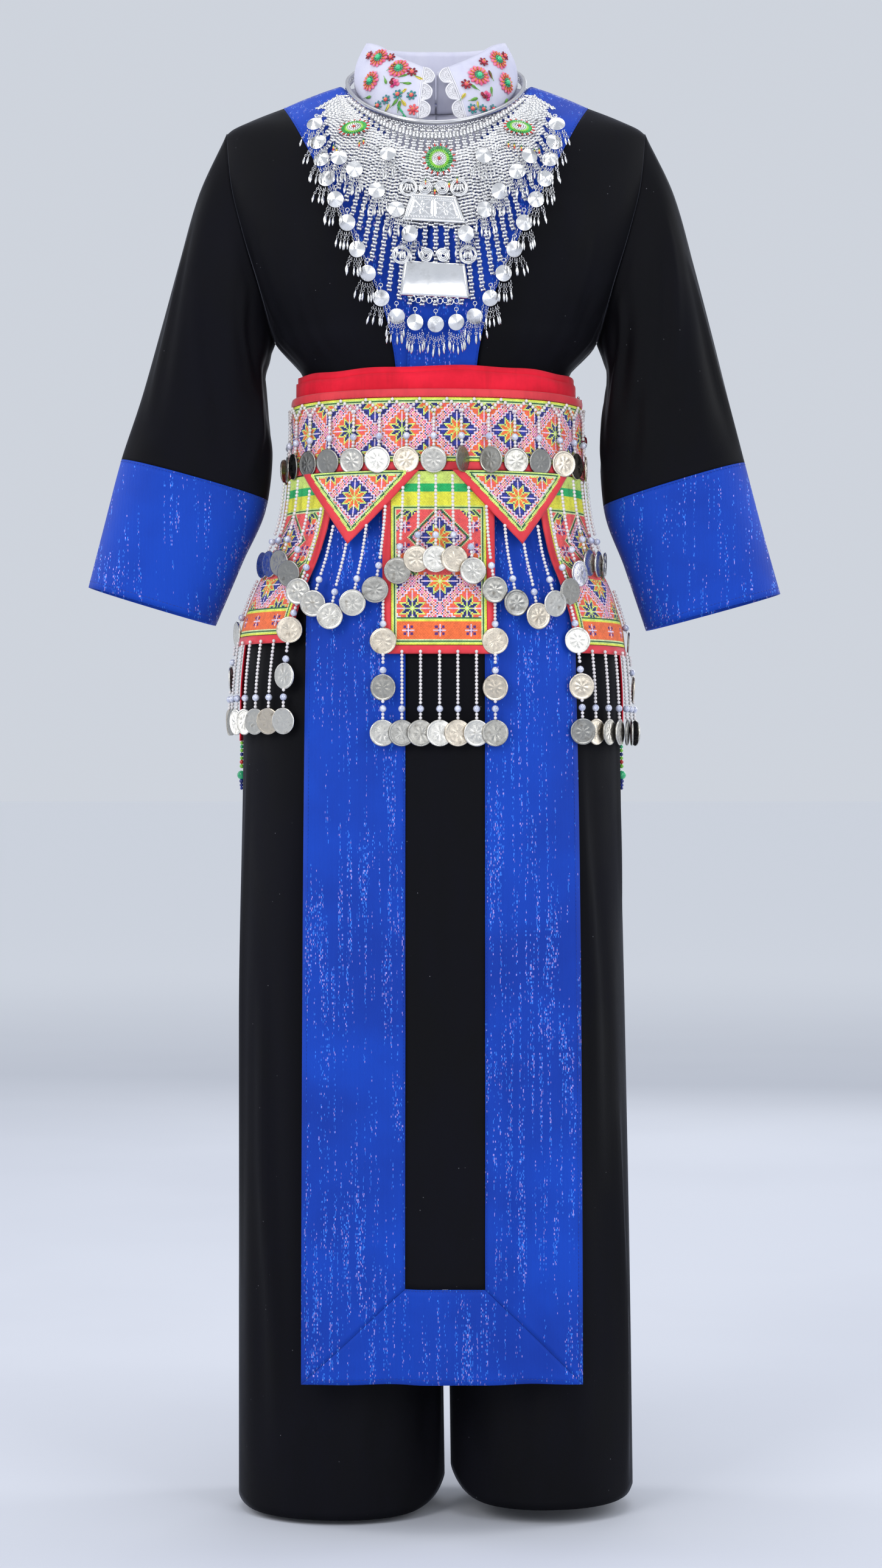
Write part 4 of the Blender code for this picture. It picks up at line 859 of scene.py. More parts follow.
def sheet_mesh(points, normals, thick, ring):
    """The vertices and faces of a thin closed sheet under a grid of points."""
    rows, columns = len(points), len(points[0])
    size = rows * columns
    vertices = [point for row in points for point in row]
    vertices += [points[r][c] - normals[r][c] * thick for r in range(rows) for c in range(columns)]
    faces = []

    def rim(a, b):
        faces.append((a, b, size + b, size + a))

    last = columns if ring else columns - 1
    for row in range(rows - 1):
        for column in range(last):
            a, b = row * columns + column, row * columns + (column + 1) % columns
            faces.append((a, b, b + columns, a + columns))
            faces.append((size + a, size + a + columns, size + b + columns, size + b))
    for column in range(last):
        a, b = column, (column + 1) % columns
        rim(b, a)
        rim(a + (rows - 1) * columns, b + (rows - 1) * columns)
    if not ring:
        for row in range(rows - 1):
            a, b = row * columns, (row + 1) * columns
            rim(a, b)
            rim(b + columns - 1, a + columns - 1)
    return vertices, faces


def outward(vertices, faces):
    """A closed sheet with its faces turned so that its volume is positive."""
    volume = 0.0
    for face in faces:
        first = vertices[face[0]]
        for second, third in zip(face[1:], face[2:]):
            volume += first.dot(vertices[second].cross(vertices[third]))
    return vertices, faces if volume > 0.0 else [tuple(reversed(face)) for face in faces]


def edge_line(points, normals, side, inset):
    """A line that follows one edge of a grid of points, a distance in from it and just above it."""
    if side in ("left", "right"):
        lines = list(zip(points, normals))
    else:
        lines = [([row[c] for row in points], [row[c] for row in normals]) for c in range(len(points[0]))]
    found = []
    for spots, facings in lines:
        if side in ("right", "bottom"):
            spots, facings = spots[::-1], facings[::-1]
        left = inset
        index = 0
        while index < len(spots) - 2 and left > (spots[index + 1] - spots[index]).length:
            left -= (spots[index + 1] - spots[index]).length
            index += 1
        share = min(left / max((spots[index + 1] - spots[index]).length, 1e-6), 1.0)
        found.append(spots[index].lerp(spots[index + 1], share) + facings[index] * 0.00012)
    return found


SEWING_PITCH = 0.0036
SEWING_GAP = 0.0011
SEWING_THREAD = 0.00027


def sew(pile, line):
    """Running stitches along a line of points."""
    reach = [0.0]
    for before, after in zip(line, line[1:]):
        reach.append(reach[-1] + (after - before).length)

    def at(far):
        index = min(max(bisect_right(reach, far) - 1, 0), len(line) - 2)
        span = reach[index + 1] - reach[index]
        return line[index].lerp(line[index + 1], (far - reach[index]) / span if span else 0.0)

    for index in range(int(reach[-1] / SEWING_PITCH)):
        start = index * SEWING_PITCH
        spots = [at(start + (SEWING_PITCH - SEWING_GAP) * share) for share in (0.0, 0.5, 1.0)]
        pile.add(*tube(spots, [SEWING_THREAD * share for share in (0.5, 1.0, 0.5)], 3))


def cloth(name, place, across, down, thick, look, covers=(), inside=level_inside, ring=False, lift=None,
          seams=(), thread="blue_thread"):
    """A thin sheet of cloth whose outer face is place(u, v), raised by its creases and sewn along its seams."""
    points = [[place(u, v) for u in across] for v in down]
    if lift:
        normals = facing_of(points, inside, ring)
        for row, v in enumerate(down):
            for column, u in enumerate(across):
                points[row][column] = points[row][column] + normals[row][column] * lift(u, v)
    normals = facing_of(points, inside, ring)
    if seams:
        sewn = Pile(thread)
        for side, inset in seams:
            sew(sewn, edge_line(points, normals, side, inset))
        sewn.piece(f"{name}_sewing")
    pile = Pile(look)
    pile.add(*outward(*sheet_mesh(points, normals, thick, ring)))
    thing = pile.piece(name, covers)
    declare(points, ring)
    return thing


def declare(points, ring):
    """Works out the width, length and area that a sheet has laid flat; nothing uses them."""
    rows, columns = len(points), len(points[0])
    lines = [row + row[:1] if ring else row for row in points]
    width = max(sum((b - a).length for a, b in zip(line, line[1:])) for line in lines)
    length = max(sum((points[r + 1][c] - points[r][c]).length for r in range(rows - 1)) for c in range(columns))
    area = 0.0
    for upper, lower in zip(lines, lines[1:]):
        for column in range(len(upper) - 1):
            first = lower[column + 1] - upper[column]
            second = lower[column] - upper[column + 1]
            area += first.cross(second).length / 2.0
    width, length = max(round(width, 3) + 0.001, 0.011), max(round(length, 3) + 0.001, 0.011)
    share = min(max(area / (width * length), 0.31), 1.0)
    share * width * length


def creases(table, around, down):
    """The height that listed creases raise at one place."""
    total = 0.0
    for place, start, end, height, width, lean in table:
        share = (down - start) / (end - start)
        if 0.0 < share < 1.0:
            sway = 0.16 * width * sin(9.0 * share + 40.0 * place)
            gap = (around - place - lean * (share - 0.5) - sway) / (width * (0.7 + 0.5 * share))
            if abs(gap) < 4.0:
                total += height * sin(pi * share) ** 0.7 * (exp(-gap * gap)
                                                                      - 0.4 * exp(-(gap - 1.6) ** 2))
    return total


def ring_faces(rows, sides, closed=False):
    """The faces between rows of rings of points, with caps unless the rows close on themselves."""
    size = rows * sides
    faces = []
    for row in range(rows if closed else rows - 1):
        for step in range(sides):
            a, b = row * sides + step, row * sides + (step + 1) % sides
            faces.append((a, b, (b + sides) % size, (a + sides) % size))
    if not closed:
        faces += [tuple(reversed(range(sides))), tuple(range(size - sides, size))]
    return faces


def tube(points, radius, sides=6, closed=False):
    """The vertices and faces of a round thread along a line of points."""
    vertices = []
    count = len(points)
    side = None
    for index, point in enumerate(points):
        if closed:
            ahead = points[(index + 1) % count] - points[index - 1]
        else:
            ahead = points[min(index + 1, count - 1)] - points[max(index - 1, 0)]
        ahead = ahead.normalized()
        if side is None:
            side = ahead.orthogonal().normalized()
        side = (side - ahead * side.dot(ahead)).normalized()
        up = ahead.cross(side)
        width = radius[index] if isinstance(radius, (list, tuple)) else radius
        vertices += [point + (side * cos(turn) + up * sin(turn)) * width for turn in circle(sides)]
    return vertices, ring_faces(count, sides, closed)


def turned(middle, axis, profile, sides=8, side=None, squash=1.0):
    """A shape turned about an axis through middle; profile is a list of (along, radius)."""
    axis = axis.normalized()
    side = (side - axis * side.dot(axis)).normalized() if side else axis.orthogonal().normalized()
    up = axis.cross(side)
    vertices = []
    for along, radius in profile:
        for turn in circle(sides):
            around = side * cos(turn) * radius + up * sin(turn) * radius * squash
            vertices.append(middle + axis * along + around)
    return vertices, ring_faces(len(profile), sides)


def barrel(middle, axis, half, shoulder, radius, end, sides):
    """A short rod with tapered ends."""
    return turned(middle, axis, [(-half, end), (-shoulder, radius), (shoulder, radius), (half, end)], sides)


def ball(middle, radius, axis=UP, sides=8, rings=5):
    turns = [pi * (0.06 + 0.88 * index / rings) for index in range(rings + 1)]
    return turned(middle, axis, [(-cos(turn) * radius, sin(turn) * radius) for turn in turns], sides)


class Value:
    """A node's output that takes part in arithmetic by adding Math nodes."""

    def __init__(self, graph, socket):
        self.graph = graph
        self.socket = socket

    def math(self, operation, *others, swap=False):
        values = [self, *others]
        if swap:
            values.reverse()
        return self.graph.node("ShaderNodeMath", {"operation": operation}, dict(enumerate(values)))

    def __add__(self, other):
        return self.math("ADD", other)

    def __sub__(self, other):
        return self.math("SUBTRACT", other)

    def __rsub__(self, other):
        return self.math("SUBTRACT", other, swap=True)

    def __mul__(self, other):
        return self.math("MULTIPLY", other)

    def __gt__(self, other):
        return self.math("GREATER_THAN", other)

    def __abs__(self):
        return self.math("ABSOLUTE")

    def sine(self):
        return self.math("SINE")

    def ramp(self, start, end, first=0.0, last=1.0):
        """A smooth step from first to last as the value goes from start to end."""
        settings = {"interpolation_type": "SMOOTHSTEP"}
        return self.graph.node("ShaderNodeMapRange", settings, {0: self, 1: start, 2: end, 3: first, 4: last})


class Graph:
    """One material's nodes, ending in a Principled shader."""

    def __init__(self, name, colour, roughness, **constants):
        self.material = bpy.data.materials.new(name)
        self.material.use_nodes = True
        self.tree = self.material.node_tree
        self.shader = self.tree.nodes["Principled BSDF"]
        self.material.diffuse_color = (*colour, 1.0)
        self.shader.inputs["Base Color"].default_value = (*colour, 1.0)
        self.shader.inputs["Roughness"].default_value = roughness
        for socket, value in constants.items():
            self.shader.inputs[socket.replace("_", " ")].default_value = value

    def node(self, kind, settings=None, inputs=None, output=0):
        node = self.tree.nodes.new(kind)
        for key, value in (settings or {}).items():
            setattr(node, key, value)
        for key, value in (inputs or {}).items():
            self.feed(node.inputs[key], value)
        return Value(self, node.outputs[output])

    def feed(self, socket, value):
        if isinstance(value, Value):
            self.tree.links.new(value.socket, socket)
        elif socket.type == "RGBA" and len(value) == 3:
            socket.default_value = (*value, 1.0)
        else:
            socket.default_value = value

    def place(self):
        """The point in the costume's own frame, in metres."""
        return self.node("ShaderNodeTexCoord", output="Object")

    def parts(self, vector):
        split = self.tree.nodes.new("ShaderNodeSeparateXYZ")
        self.tree.links.new(vector.socket, split.inputs[0])
        return [Value(self, output) for output in split.outputs]

    def vector(self, operation, *values, output=0):
        return self.node("ShaderNodeVectorMath", {"operation": operation}, dict(enumerate(values)), output)

    def noise(self, vector, scale, detail=3.0, roughness=0.5, stretch=None):
        if stretch:
            vector = self.vector("MULTIPLY", vector, stretch)
        return self.node("ShaderNodeTexNoise", {}, {"Vector": vector, "Scale": scale, "Detail": detail,
                                                    "Roughness": roughness})

    def tint(self):
        """The colour that each face of the mesh carries."""
        return self.node("ShaderNodeVertexColor", {"layer_name": "tint"})

    def blend(self, share, first, second, mode="MIX"):
        """A colour between two."""
        settings = {"data_type": "RGBA", "blend_type": mode}
        return self.node("ShaderNodeMix", settings, {0: share, 6: first, 7: second}, 2)

    def set(self, socket, value):
        self.feed(self.shader.inputs[socket], value)

    def bump(self, height, strength, distance):
        bumped = self.node("ShaderNodeBump", {}, {"Height": height, "Strength": strength, "Distance": distance})
        self.feed(self.shader.inputs["Normal"], bumped)


FINISHES = {}


def finish(name):
    """A finish by its name, made once."""
    if name not in FINISHES:
        make, *values = MAKERS[name]
        FINISHES[name] = make(*values)
    return FINISHES[name]


def velvet():
    graph = Graph("black_velvet_pile", (0.006, 0.006, 0.009), 0.80, Sheen_Weight=0.15, Sheen_Roughness=0.24,
                  Sheen_Tint=(0.48, 0.51, 0.64, 1.0), Specular_IOR_Level=0.10)
    place = graph.place()
    nap_and_sheen_streaks = graph.noise(place, 9.0, 4.0, 0.6, (1.0, 1.0, 0.45))
    nap = graph.noise(place, 900.0, 2.0, 0.7)
    lint = graph.node("ShaderNodeTexVoronoi", {}, {"Vector": place, "Scale": 130.0}).ramp(0.07, 0.045)
    speck = graph.noise(place, 40.0, 1.0).ramp(0.60, 0.64)
    black = tuple(bpy.context.scene.costume_colours.velvet_black)
    # Painted sheen: the streaky nap noise lightens the black up to 2.6 times in soft streaks, which are painted sheen
    # streaks in the colour. The same noise also sets the real nap's roughness and bump.
    tone = graph.blend(nap_and_sheen_streaks.ramp(0.35, 0.70), black, tuple(value * 2.6 for value in black))
    graph.set("Base Color", graph.blend(lint * speck, tone, (0.11, 0.11, 0.12)))
    graph.set("Roughness", nap_and_sheen_streaks.ramp(0.3, 0.75, 0.62, 0.90))
    graph.bump(nap * 0.6 + nap_and_sheen_streaks * 2.0, 0.35, 0.0008)
    return graph.material


def glitter():
    """Glitter cloth: a fine rib with short bright dashes of tinsel running along it."""
    base = tuple(bpy.context.scene.costume_colours.glitter_blue)
    graph = Graph("blue_glitter_cloth", base, 0.50, Sheen_Weight=0.04, Specular_IOR_Level=0.20)
    place = graph.place()
    x, y, z = graph.parts(place)
    rib = abs((x * (pi / 0.0011)).sine())
    spot = graph.vector("FLOOR", graph.vector("MULTIPLY", place, (1500.0, 420.0, 560.0)))
    one, two, three = graph.parts(graph.node("ShaderNodeTexWhiteNoise", {}, {"Vector": spot}, "Color"))
    thread = graph.noise(place, 260.0, 2.0, 0.6, (1.0, 0.3, 0.03)).ramp(0.40, 0.62, 0.55, 1.14)
    patch = graph.noise(place, 16.0, 3.0, 0.6, (1.0, 1.0, 0.35)).ramp(0.30, 0.70, 0.80, 1.08)
    dash = one * thread * patch > 0.86
    soft = graph.noise(place, 10.0, 3.0)
    tone = graph.blend(soft.ramp(0.30, 0.72), base, (base[0] * 0.6, base[1] * 0.62, base[2] * 0.70))
    tone = graph.blend(rib * 0.35, tone, (0.001, 0.012, 0.20))
    tinsel = graph.blend(three > 0.70, (0.06, 0.28, 0.98), (0.56, 0.42, 0.90))
    graph.set("Base Color", graph.blend(dash * 0.62, tone, tinsel))
    graph.set("Roughness", 0.62 - dash * 0.34)
    graph.set("Metallic", dash * 0.40)
    graph.bump(rib * 0.7 + two * 0.3, 0.45, 0.0004)
    return graph.material


def woven(name, colour, shade, pitch=0.0007, roughness=0.72, sheen=0.25, strength=0.35, slub=0.5):
    """A plain woven cloth, its colour a little uneven and its threads a pitch apart."""
    graph = Graph(name, colour, roughness, Sheen_Weight=sheen, Sheen_Roughness=0.4, Specular_IOR_Level=0.3)
    place = graph.place()
    x, y, z = graph.parts(place)
    warp = ((x + y) * (tau / pitch)).sine()
    weft = (z * (tau / pitch)).sine()
    threads = abs(warp * weft)
    uneven = graph.noise(place, 22.0, 4.0, 0.6)
    streak = graph.noise(place, 90.0, 3.0, 0.6, (1.0, 1.0, 0.15))
    tone = graph.blend(uneven.ramp(0.3, 0.75) * slub, colour, shade)
    graph.set("Base Color", graph.blend(streak.ramp(0.45, 0.75) * slub * 0.7, tone, shade))
    graph.set("Roughness", uneven.ramp(0.3, 0.7, roughness - 0.08, min(roughness + 0.08, 1.0)))
    graph.bump(threads + streak * 0.8, strength, 0.0004)
    return graph.material


def sash():
    red = tuple(bpy.context.scene.costume_colours.sash_red)
    return woven("red_sash_cotton", red, (0.46, 0.003, 0.012), sheen=0.10)


def metal(name, colour, shade, roughness, scale=60.0, bump=0.12, tinted=False):
    """A silver-coloured metal with soft wear, darker in noise patches that its bump raises."""
    graph = Graph(name, colour, roughness, Metallic=1.0)
    place = graph.place()
    wear = graph.noise(place, scale, 5.0, 0.6)
    fine = graph.noise(place, scale * 12.0, 3.0, 0.5)
    tone = graph.blend(wear.ramp(0.52, 0.75), colour, shade)
    if tinted:
        tone = graph.blend(1.0, tone, graph.tint(), "MULTIPLY")
    graph.set("Base Color", tone)
    graph.set("Roughness", wear.ramp(0.3, 0.7, roughness * 0.8, roughness * 1.5))
    graph.bump(wear + fine * 0.3, bump, 0.0006)
    return graph.material


def glossy(name, colour, shade, roughness=0.18, coat=0.4, metallic=0.0):
    """A bead, pearl or enamel, its colour turning a little from place to place."""
    graph = Graph(name, colour, roughness, Coat_Weight=coat, Coat_Roughness=0.08, Metallic=metallic)
    place = graph.place()
    turn = graph.noise(place, 180.0, 2.0)
    graph.set("Base Color", graph.blend(turn.ramp(0.35, 0.7), colour, shade))
    graph.set("Roughness", turn.ramp(0.3, 0.7, roughness * 0.8, roughness * 1.4))
    graph.bump(graph.noise(place, 1200.0, 2.0), 0.06, 0.0003)
    return graph.material


def stitched():
    """Cross-stitch thread, coloured stitch by stitch."""
    graph = Graph("cross_stitch_thread", (0.6, 0.3, 0.2), 0.62, Sheen_Weight=0.25)
    place = graph.place()
    worn = graph.noise(place, 120.0, 3.0).ramp(0.35, 0.7)
    graph.set("Base Color", graph.blend(worn * 0.45, graph.tint(), (0.62, 0.60, 0.62), "MULTIPLY"))
    graph.bump(graph.noise(place, 2600.0, 2.0), 0.4, 0.0003)
    return graph.material


def paper():
    """The studio's pale floor, with painted light: it is painted paler far off, where the lights don't reach it."""
    graph = Graph("pale_floor", (0.62, 0.64, 0.70), 0.95, Specular_IOR_Level=0.1)
    place = graph.place()
    far = graph.vector("LENGTH", place, output="Value")
    cloud = graph.noise(place, 1.1, 4.0).ramp(0.35, 0.7)
    near = graph.blend(cloud, (0.62, 0.64, 0.70), (0.59, 0.61, 0.67))
    # Painted light: between 2 and 9 m out the colour turns from the darker near tone to nearly white, standing in for
    # light that the lamps don't give there.
    graph.set("Base Color", graph.blend(far.ramp(2.0, 9.0), near, (0.97, 0.98, 1.0)))
    graph.bump(graph.noise(place, 300.0), 0.05, 0.001)
    return graph.material


MAKERS = {
    "blue_thread": (woven, "blue_sewing_thread", (0.010, 0.050, 0.380), (0.004, 0.020, 0.180), 0.0003, 0.6, 0.2, 0.2),
    "coral_thread": (woven, "coral_sewing_thread", (0.90, 0.10, 0.12), (0.60, 0.03, 0.05), 0.0003, 0.6, 0.2, 0.2),
    "cobalt": (glossy, "dark_blue_bead", (0.010, 0.035, 0.34), (0.004, 0.015, 0.16)),
    "paper": (paper,),
    "velvet": (velvet,),
    "glitter": (glitter,),
    "stitch": (stitched,),
    "sash": (sash,),
    "coral": (woven, "coral_binding_satin", (0.80, 0.045, 0.060), (0.50, 0.020, 0.035), 0.0005, 0.45, 0.3, 0.2),
    "satin": (woven, "pink_satin", (0.80, 0.20, 0.28), (0.60, 0.10, 0.18), 0.0004, 0.32, 0.3, 0.15),
    "cotton": (woven, "pale_collar_cotton", (0.66, 0.66, 0.78), (0.50, 0.50, 0.66), 0.0005, 0.8, 0.15, 0.3, 0.4),
    "lace": (woven, "white_lace_thread", (0.84, 0.83, 0.86), (0.66, 0.65, 0.70), 0.0004, 0.7, 0.2, 0.3, 0.4),
    "ground": (woven, "dark_ground_cloth", (0.035, 0.030, 0.055), (0.015, 0.012, 0.025), 0.0008, 0.8, 0.2, 0.4),
    "silver": (metal, "necklace_silver", (0.80, 0.80, 0.80), (0.42, 0.42, 0.43), 0.22, 90.0, 0.18),
    "bright": (metal, "polished_silver", (0.88, 0.88, 0.88), (0.62, 0.62, 0.62), 0.13, 50.0, 0.10),
    "ring": (metal, "neck_ring_silver", (0.56, 0.56, 0.58), (0.36, 0.36, 0.38), 0.30, 30.0, 0.10),
    "coin": (metal, "coin_silver", (0.70, 0.69, 0.66), (0.34, 0.32, 0.29), 0.25, 160.0, 0.20, True),
    "pearl": (glossy, "white_pearl", (0.84, 0.80, 0.78), (0.70, 0.66, 0.68), 0.20, 0.6),
    "crystal": (glossy, "clear_crystal", (0.74, 0.76, 0.88), (0.42, 0.46, 0.62), 0.06, 0.8, 0.15),
    "red": (glossy, "red_enamel", (0.70, 0.035, 0.02), (0.45, 0.015, 0.01)),
    "orange": (glossy, "orange_enamel", (0.85, 0.22, 0.02), (0.65, 0.10, 0.01)),
    "lime": (glossy, "lime_enamel", (0.30, 0.72, 0.06), (0.16, 0.50, 0.03)),
    "grass": (glossy, "grass_enamel", (0.03, 0.46, 0.08), (0.015, 0.28, 0.04)),
    "green": (glossy, "green_enamel", (0.010, 0.16, 0.06), (0.005, 0.08, 0.03)),
    "yellow": (glossy, "yellow_bead", (0.85, 0.62, 0.05), (0.70, 0.42, 0.02)),
    "teal": (glossy, "teal_bead", (0.01, 0.28, 0.26), (0.005, 0.14, 0.18)),
    "garnet": (glossy, "garnet_bead", (0.16, 0.006, 0.012), (0.08, 0.002, 0.006)),
    "pink": (glossy, "pink_thread", (0.85, 0.22, 0.36), (0.68, 0.10, 0.22), 0.55, 0.0),
    "emerald": (glossy, "small_green_bead", (0.03, 0.52, 0.20), (0.01, 0.34, 0.14)),
    "green_pearl": (glossy, "green_pearl", (0.05, 0.66, 0.27), (0.02, 0.48, 0.20), 0.16, 0.6),
    "coral_bead": (glossy, "coral_bead", (0.86, 0.12, 0.12), (0.70, 0.06, 0.09)),
    "rose": (glossy, "rose_thread", (0.72, 0.06, 0.24), (0.50, 0.02, 0.14), 0.5, 0.0),
    "white_bead": (glossy, "white_bead", (0.82, 0.82, 0.84), (0.66, 0.68, 0.74)),
    "leaf": (glossy, "leaf_green_thread", (0.16, 0.42, 0.06), (0.08, 0.26, 0.03), 0.55, 0.0),
    "gold": (glossy, "golden_thread", (0.80, 0.52, 0.05), (0.62, 0.34, 0.03), 0.5, 0.0),
    "plum": (glossy, "dark_red_thread", (0.30, 0.01, 0.03), (0.18, 0.005, 0.02), 0.55, 0.0),
}


TORSO_CREASES = [
    # angle in degrees, top z, bottom z, height, width in degrees, lean in degrees
    (47.0, -0.160, -0.279, 0.0016, 2.6, 9.0),
    (53.0, -0.205, -0.278, 0.0013, 2.0, 5.0),
    (68.0, -0.175, -0.279, 0.0014, 2.4, 7.0),
    (30.0, -0.215, -0.278, 0.0012, 2.2, 5.0),
    (84.0, -0.215, -0.279, 0.0012, 2.0, 3.0),
    (-44.0, -0.190, -0.278, 0.0016, 2.4, -7.0),
    (-63.0, -0.150, -0.279, 0.0017, 2.8, -9.0),
    (-28.0, -0.220, -0.279, 0.0012, 2.0, -4.0),
    (-82.0, -0.210, -0.278, 0.0013, 2.2, -4.0),
    (104.0, -0.190, -0.279, 0.0018, 2.6, -5.0),
    (128.0, -0.205, -0.278, 0.0015, 2.2, -4.0),
    (152.0, -0.150, -0.279, 0.0019, 2.8, -6.0),
    (166.0, -0.220, -0.278, 0.0013, 2.0, -2.0),
    (-108.0, -0.180, -0.278, 0.0017, 2.4, 5.0),
    (-133.0, -0.215, -0.279, 0.0016, 2.2, 4.0),
    (-159.0, -0.165, -0.279, 0.0018, 2.6, 3.0),
]

SLEEVE_CREASES = {
    "left": [
        # place round the sleeve in turns, start, end, height, width in turns, lean in turns
        (0.10, 0.22, 0.86, 0.0020, 0.020, 0.05),
        (0.23, 0.30, 0.97, 0.0024, 0.022, 0.09),
        (0.35, 0.08, 0.52, 0.0026, 0.018, 0.06),
        (0.40, 0.45, 0.96, 0.0020, 0.020, -0.05),
        (0.52, 0.10, 0.66, 0.0022, 0.018, 0.03),
        (0.68, 0.15, 0.90, 0.0026, 0.024, 0.08),
        (0.76, 0.05, 0.45, 0.0020, 0.018, -0.04),
        (0.92, 0.35, 0.97, 0.0020, 0.022, -0.05),
    ],
    "right": [
        (0.08, 0.30, 0.94, 0.0020, 0.020, -0.04),
        (0.20, 0.12, 0.70, 0.0026, 0.020, 0.08),
        (0.29, 0.42, 0.97, 0.0020, 0.022, 0.05),
        (0.38, 0.06, 0.58, 0.0028, 0.018, 0.05),
        (0.49, 0.25, 0.80, 0.0020, 0.018, -0.05),
        (0.64, 0.10, 0.62, 0.0024, 0.020, -0.06),
        (0.73, 0.38, 0.97, 0.0026, 0.024, 0.07),
        (0.89, 0.16, 0.72, 0.0018, 0.020, 0.05),
    ],
}

CUFF_CREASES = [
    (0.22, 0.95, 2.05, 0.0008, 0.030, 0.03),
    (0.60, 1.10, 2.10, 0.0009, 0.028, -0.04),
    (0.84, 0.95, 1.80, 0.0007, 0.026, 0.02),
]

LEG_CREASES = {
    # place across the panel, top z, bottom z, height, width, lean
    "left_front": [
        (0.20, -0.610, -1.060, 0.0022, 0.030, 0.05),
        (0.42, -0.930, -1.392, 0.0034, 0.040, 0.07),
        (0.53, -0.560, -0.900, 0.0020, 0.026, 0.05),
        (0.73, -0.860, -1.340, 0.0032, 0.034, -0.06),
        (0.90, -0.640, -1.180, 0.0020, 0.024, 0.03),
        (0.12, -1.050, -1.392, 0.0026, 0.036, 0.02),
    ],
    "right_front": [
        (0.16, -0.700, -1.230, 0.0024, 0.034, 0.06),
        (0.36, -0.590, -0.940, 0.0020, 0.030, -0.05),
        (0.50, -1.010, -1.392, 0.0036, 0.038, -0.06),
        (0.70, -0.620, -1.090, 0.0026, 0.030, 0.05),
        (0.84, -1.000, -1.392, 0.0030, 0.034, 0.05),
        (0.93, -0.560, -0.820, 0.0018, 0.022, 0.02),
    ],
    "left_back": [
        (0.18, -0.640, -1.120, 0.0040, 0.040, 0.05),
        (0.33, -0.900, -1.392, 0.0050, 0.044, 0.06),
        (0.52, -0.580, -1.010, 0.0040, 0.034, -0.05),
        (0.70, -0.980, -1.392, 0.0046, 0.040, -0.05),
        (0.86, -0.620, -1.240, 0.0028, 0.030, 0.04),
    ],
    "right_back": [
        (0.14, -0.820, -1.392, 0.0046, 0.042, -0.04),
        (0.30, -0.600, -0.980, 0.0042, 0.036, 0.05),
        (0.47, -0.870, -1.392, 0.0050, 0.040, 0.06),
        (0.66, -0.600, -1.080, 0.0038, 0.034, 0.04),
        (0.83, -0.940, -1.392, 0.0036, 0.036, -0.05),
    ],
}

APRON_CREASES = [
    # run, top z, bottom z, height, width, lean
    (-0.098, -0.620, -1.120, 0.0011, 0.006, 0.010),
    (-0.050, -0.780, -1.262, 0.0013, 0.007, -0.008),
    (0.000, -0.600, -1.010, 0.0008, 0.006, 0.006),
    (0.062, -0.690, -1.190, 0.0012, 0.006, 0.012),
    (0.112, -0.840, -1.262, 0.0014, 0.007, -0.006),
    (0.085, -0.590, -0.800, 0.0008, 0.005, 0.004),
]

TAIL_CREASES = [
    (0.28, -0.420, -0.645, 0.0022, 0.09, 0.10),
    (0.66, -0.400, -0.600, 0.0018, 0.08, -0.08),
]


def crease_scale():
    return bpy.context.scene.costume_sizes.crease_share


def torso_out(angle, z):
    """How far the bodice's folds and creases stand out at an angle and height."""
    place = degrees(angle)
    return fold_height(TORSO_FOLDS, place, z) + crease_scale() * creases(TORSO_CREASES, place, z)


def torso_sheet(name, start, end, across, down, look, covers, out=None, bare=False, seams=()):
    """A bodice piece between two edge lines, each giving x and z at a share of its length."""
    def place(u, v):
        x0, z0 = start(v)
        x1, z1 = end(v)
        angle = mix(torso_angle(x0, z0), torso_angle(x1, z1), u)
        z = mix(z0, z1, u)
        ease = 1.0 if bare else min(1.0, 8.0 * u, 8.0 * (1.0 - u))
        return torso_at(angle, z, (out(v) if out else 0.0) + (0.0 if bare else torso_out(angle, z) * ease))

    return cloth(name, place, across, down, CLOTH, look, covers, seams=seams)


def build_jacket():
    down = shares(80)
    for way, name in SIDES:
        def edge(v):
            z = mix(LAPEL_TOP, JACKET_HEM, v)
            return way * (LAPEL_EDGE["x"](z) + SEAM), z

        def outer(v):
            x, z = panel_side(v)
            return way * x, z

        torso_sheet(f"velvet_front_{name}", edge, outer, shares(34), down, "velvet",
                    [f"jacket_front_{name}"])

        def inner(v):
            z = mix(LAPEL_TOP, JACKET_HEM, v)
            return way * LAPEL["inner_x"](z), LAPEL["inner_z"](z)

        def band_edge(v):
            z = mix(LAPEL_TOP, JACKET_HEM, v)
            return way * LAPEL_EDGE["x"](z), z

        def lift(v):
            return LAPEL_LIFT * rise(v, 0.10, 0.40) if way > 0.0 else 0.0

        torso_sheet(f"glitter_lapel_{name}", inner, band_edge, shares(14), down, "glitter",
                    [f"lapel_band_{name}"], lift, True, seams=(("left", BAND_SEWING), ("right", BAND_SEWING)))
    build_back()


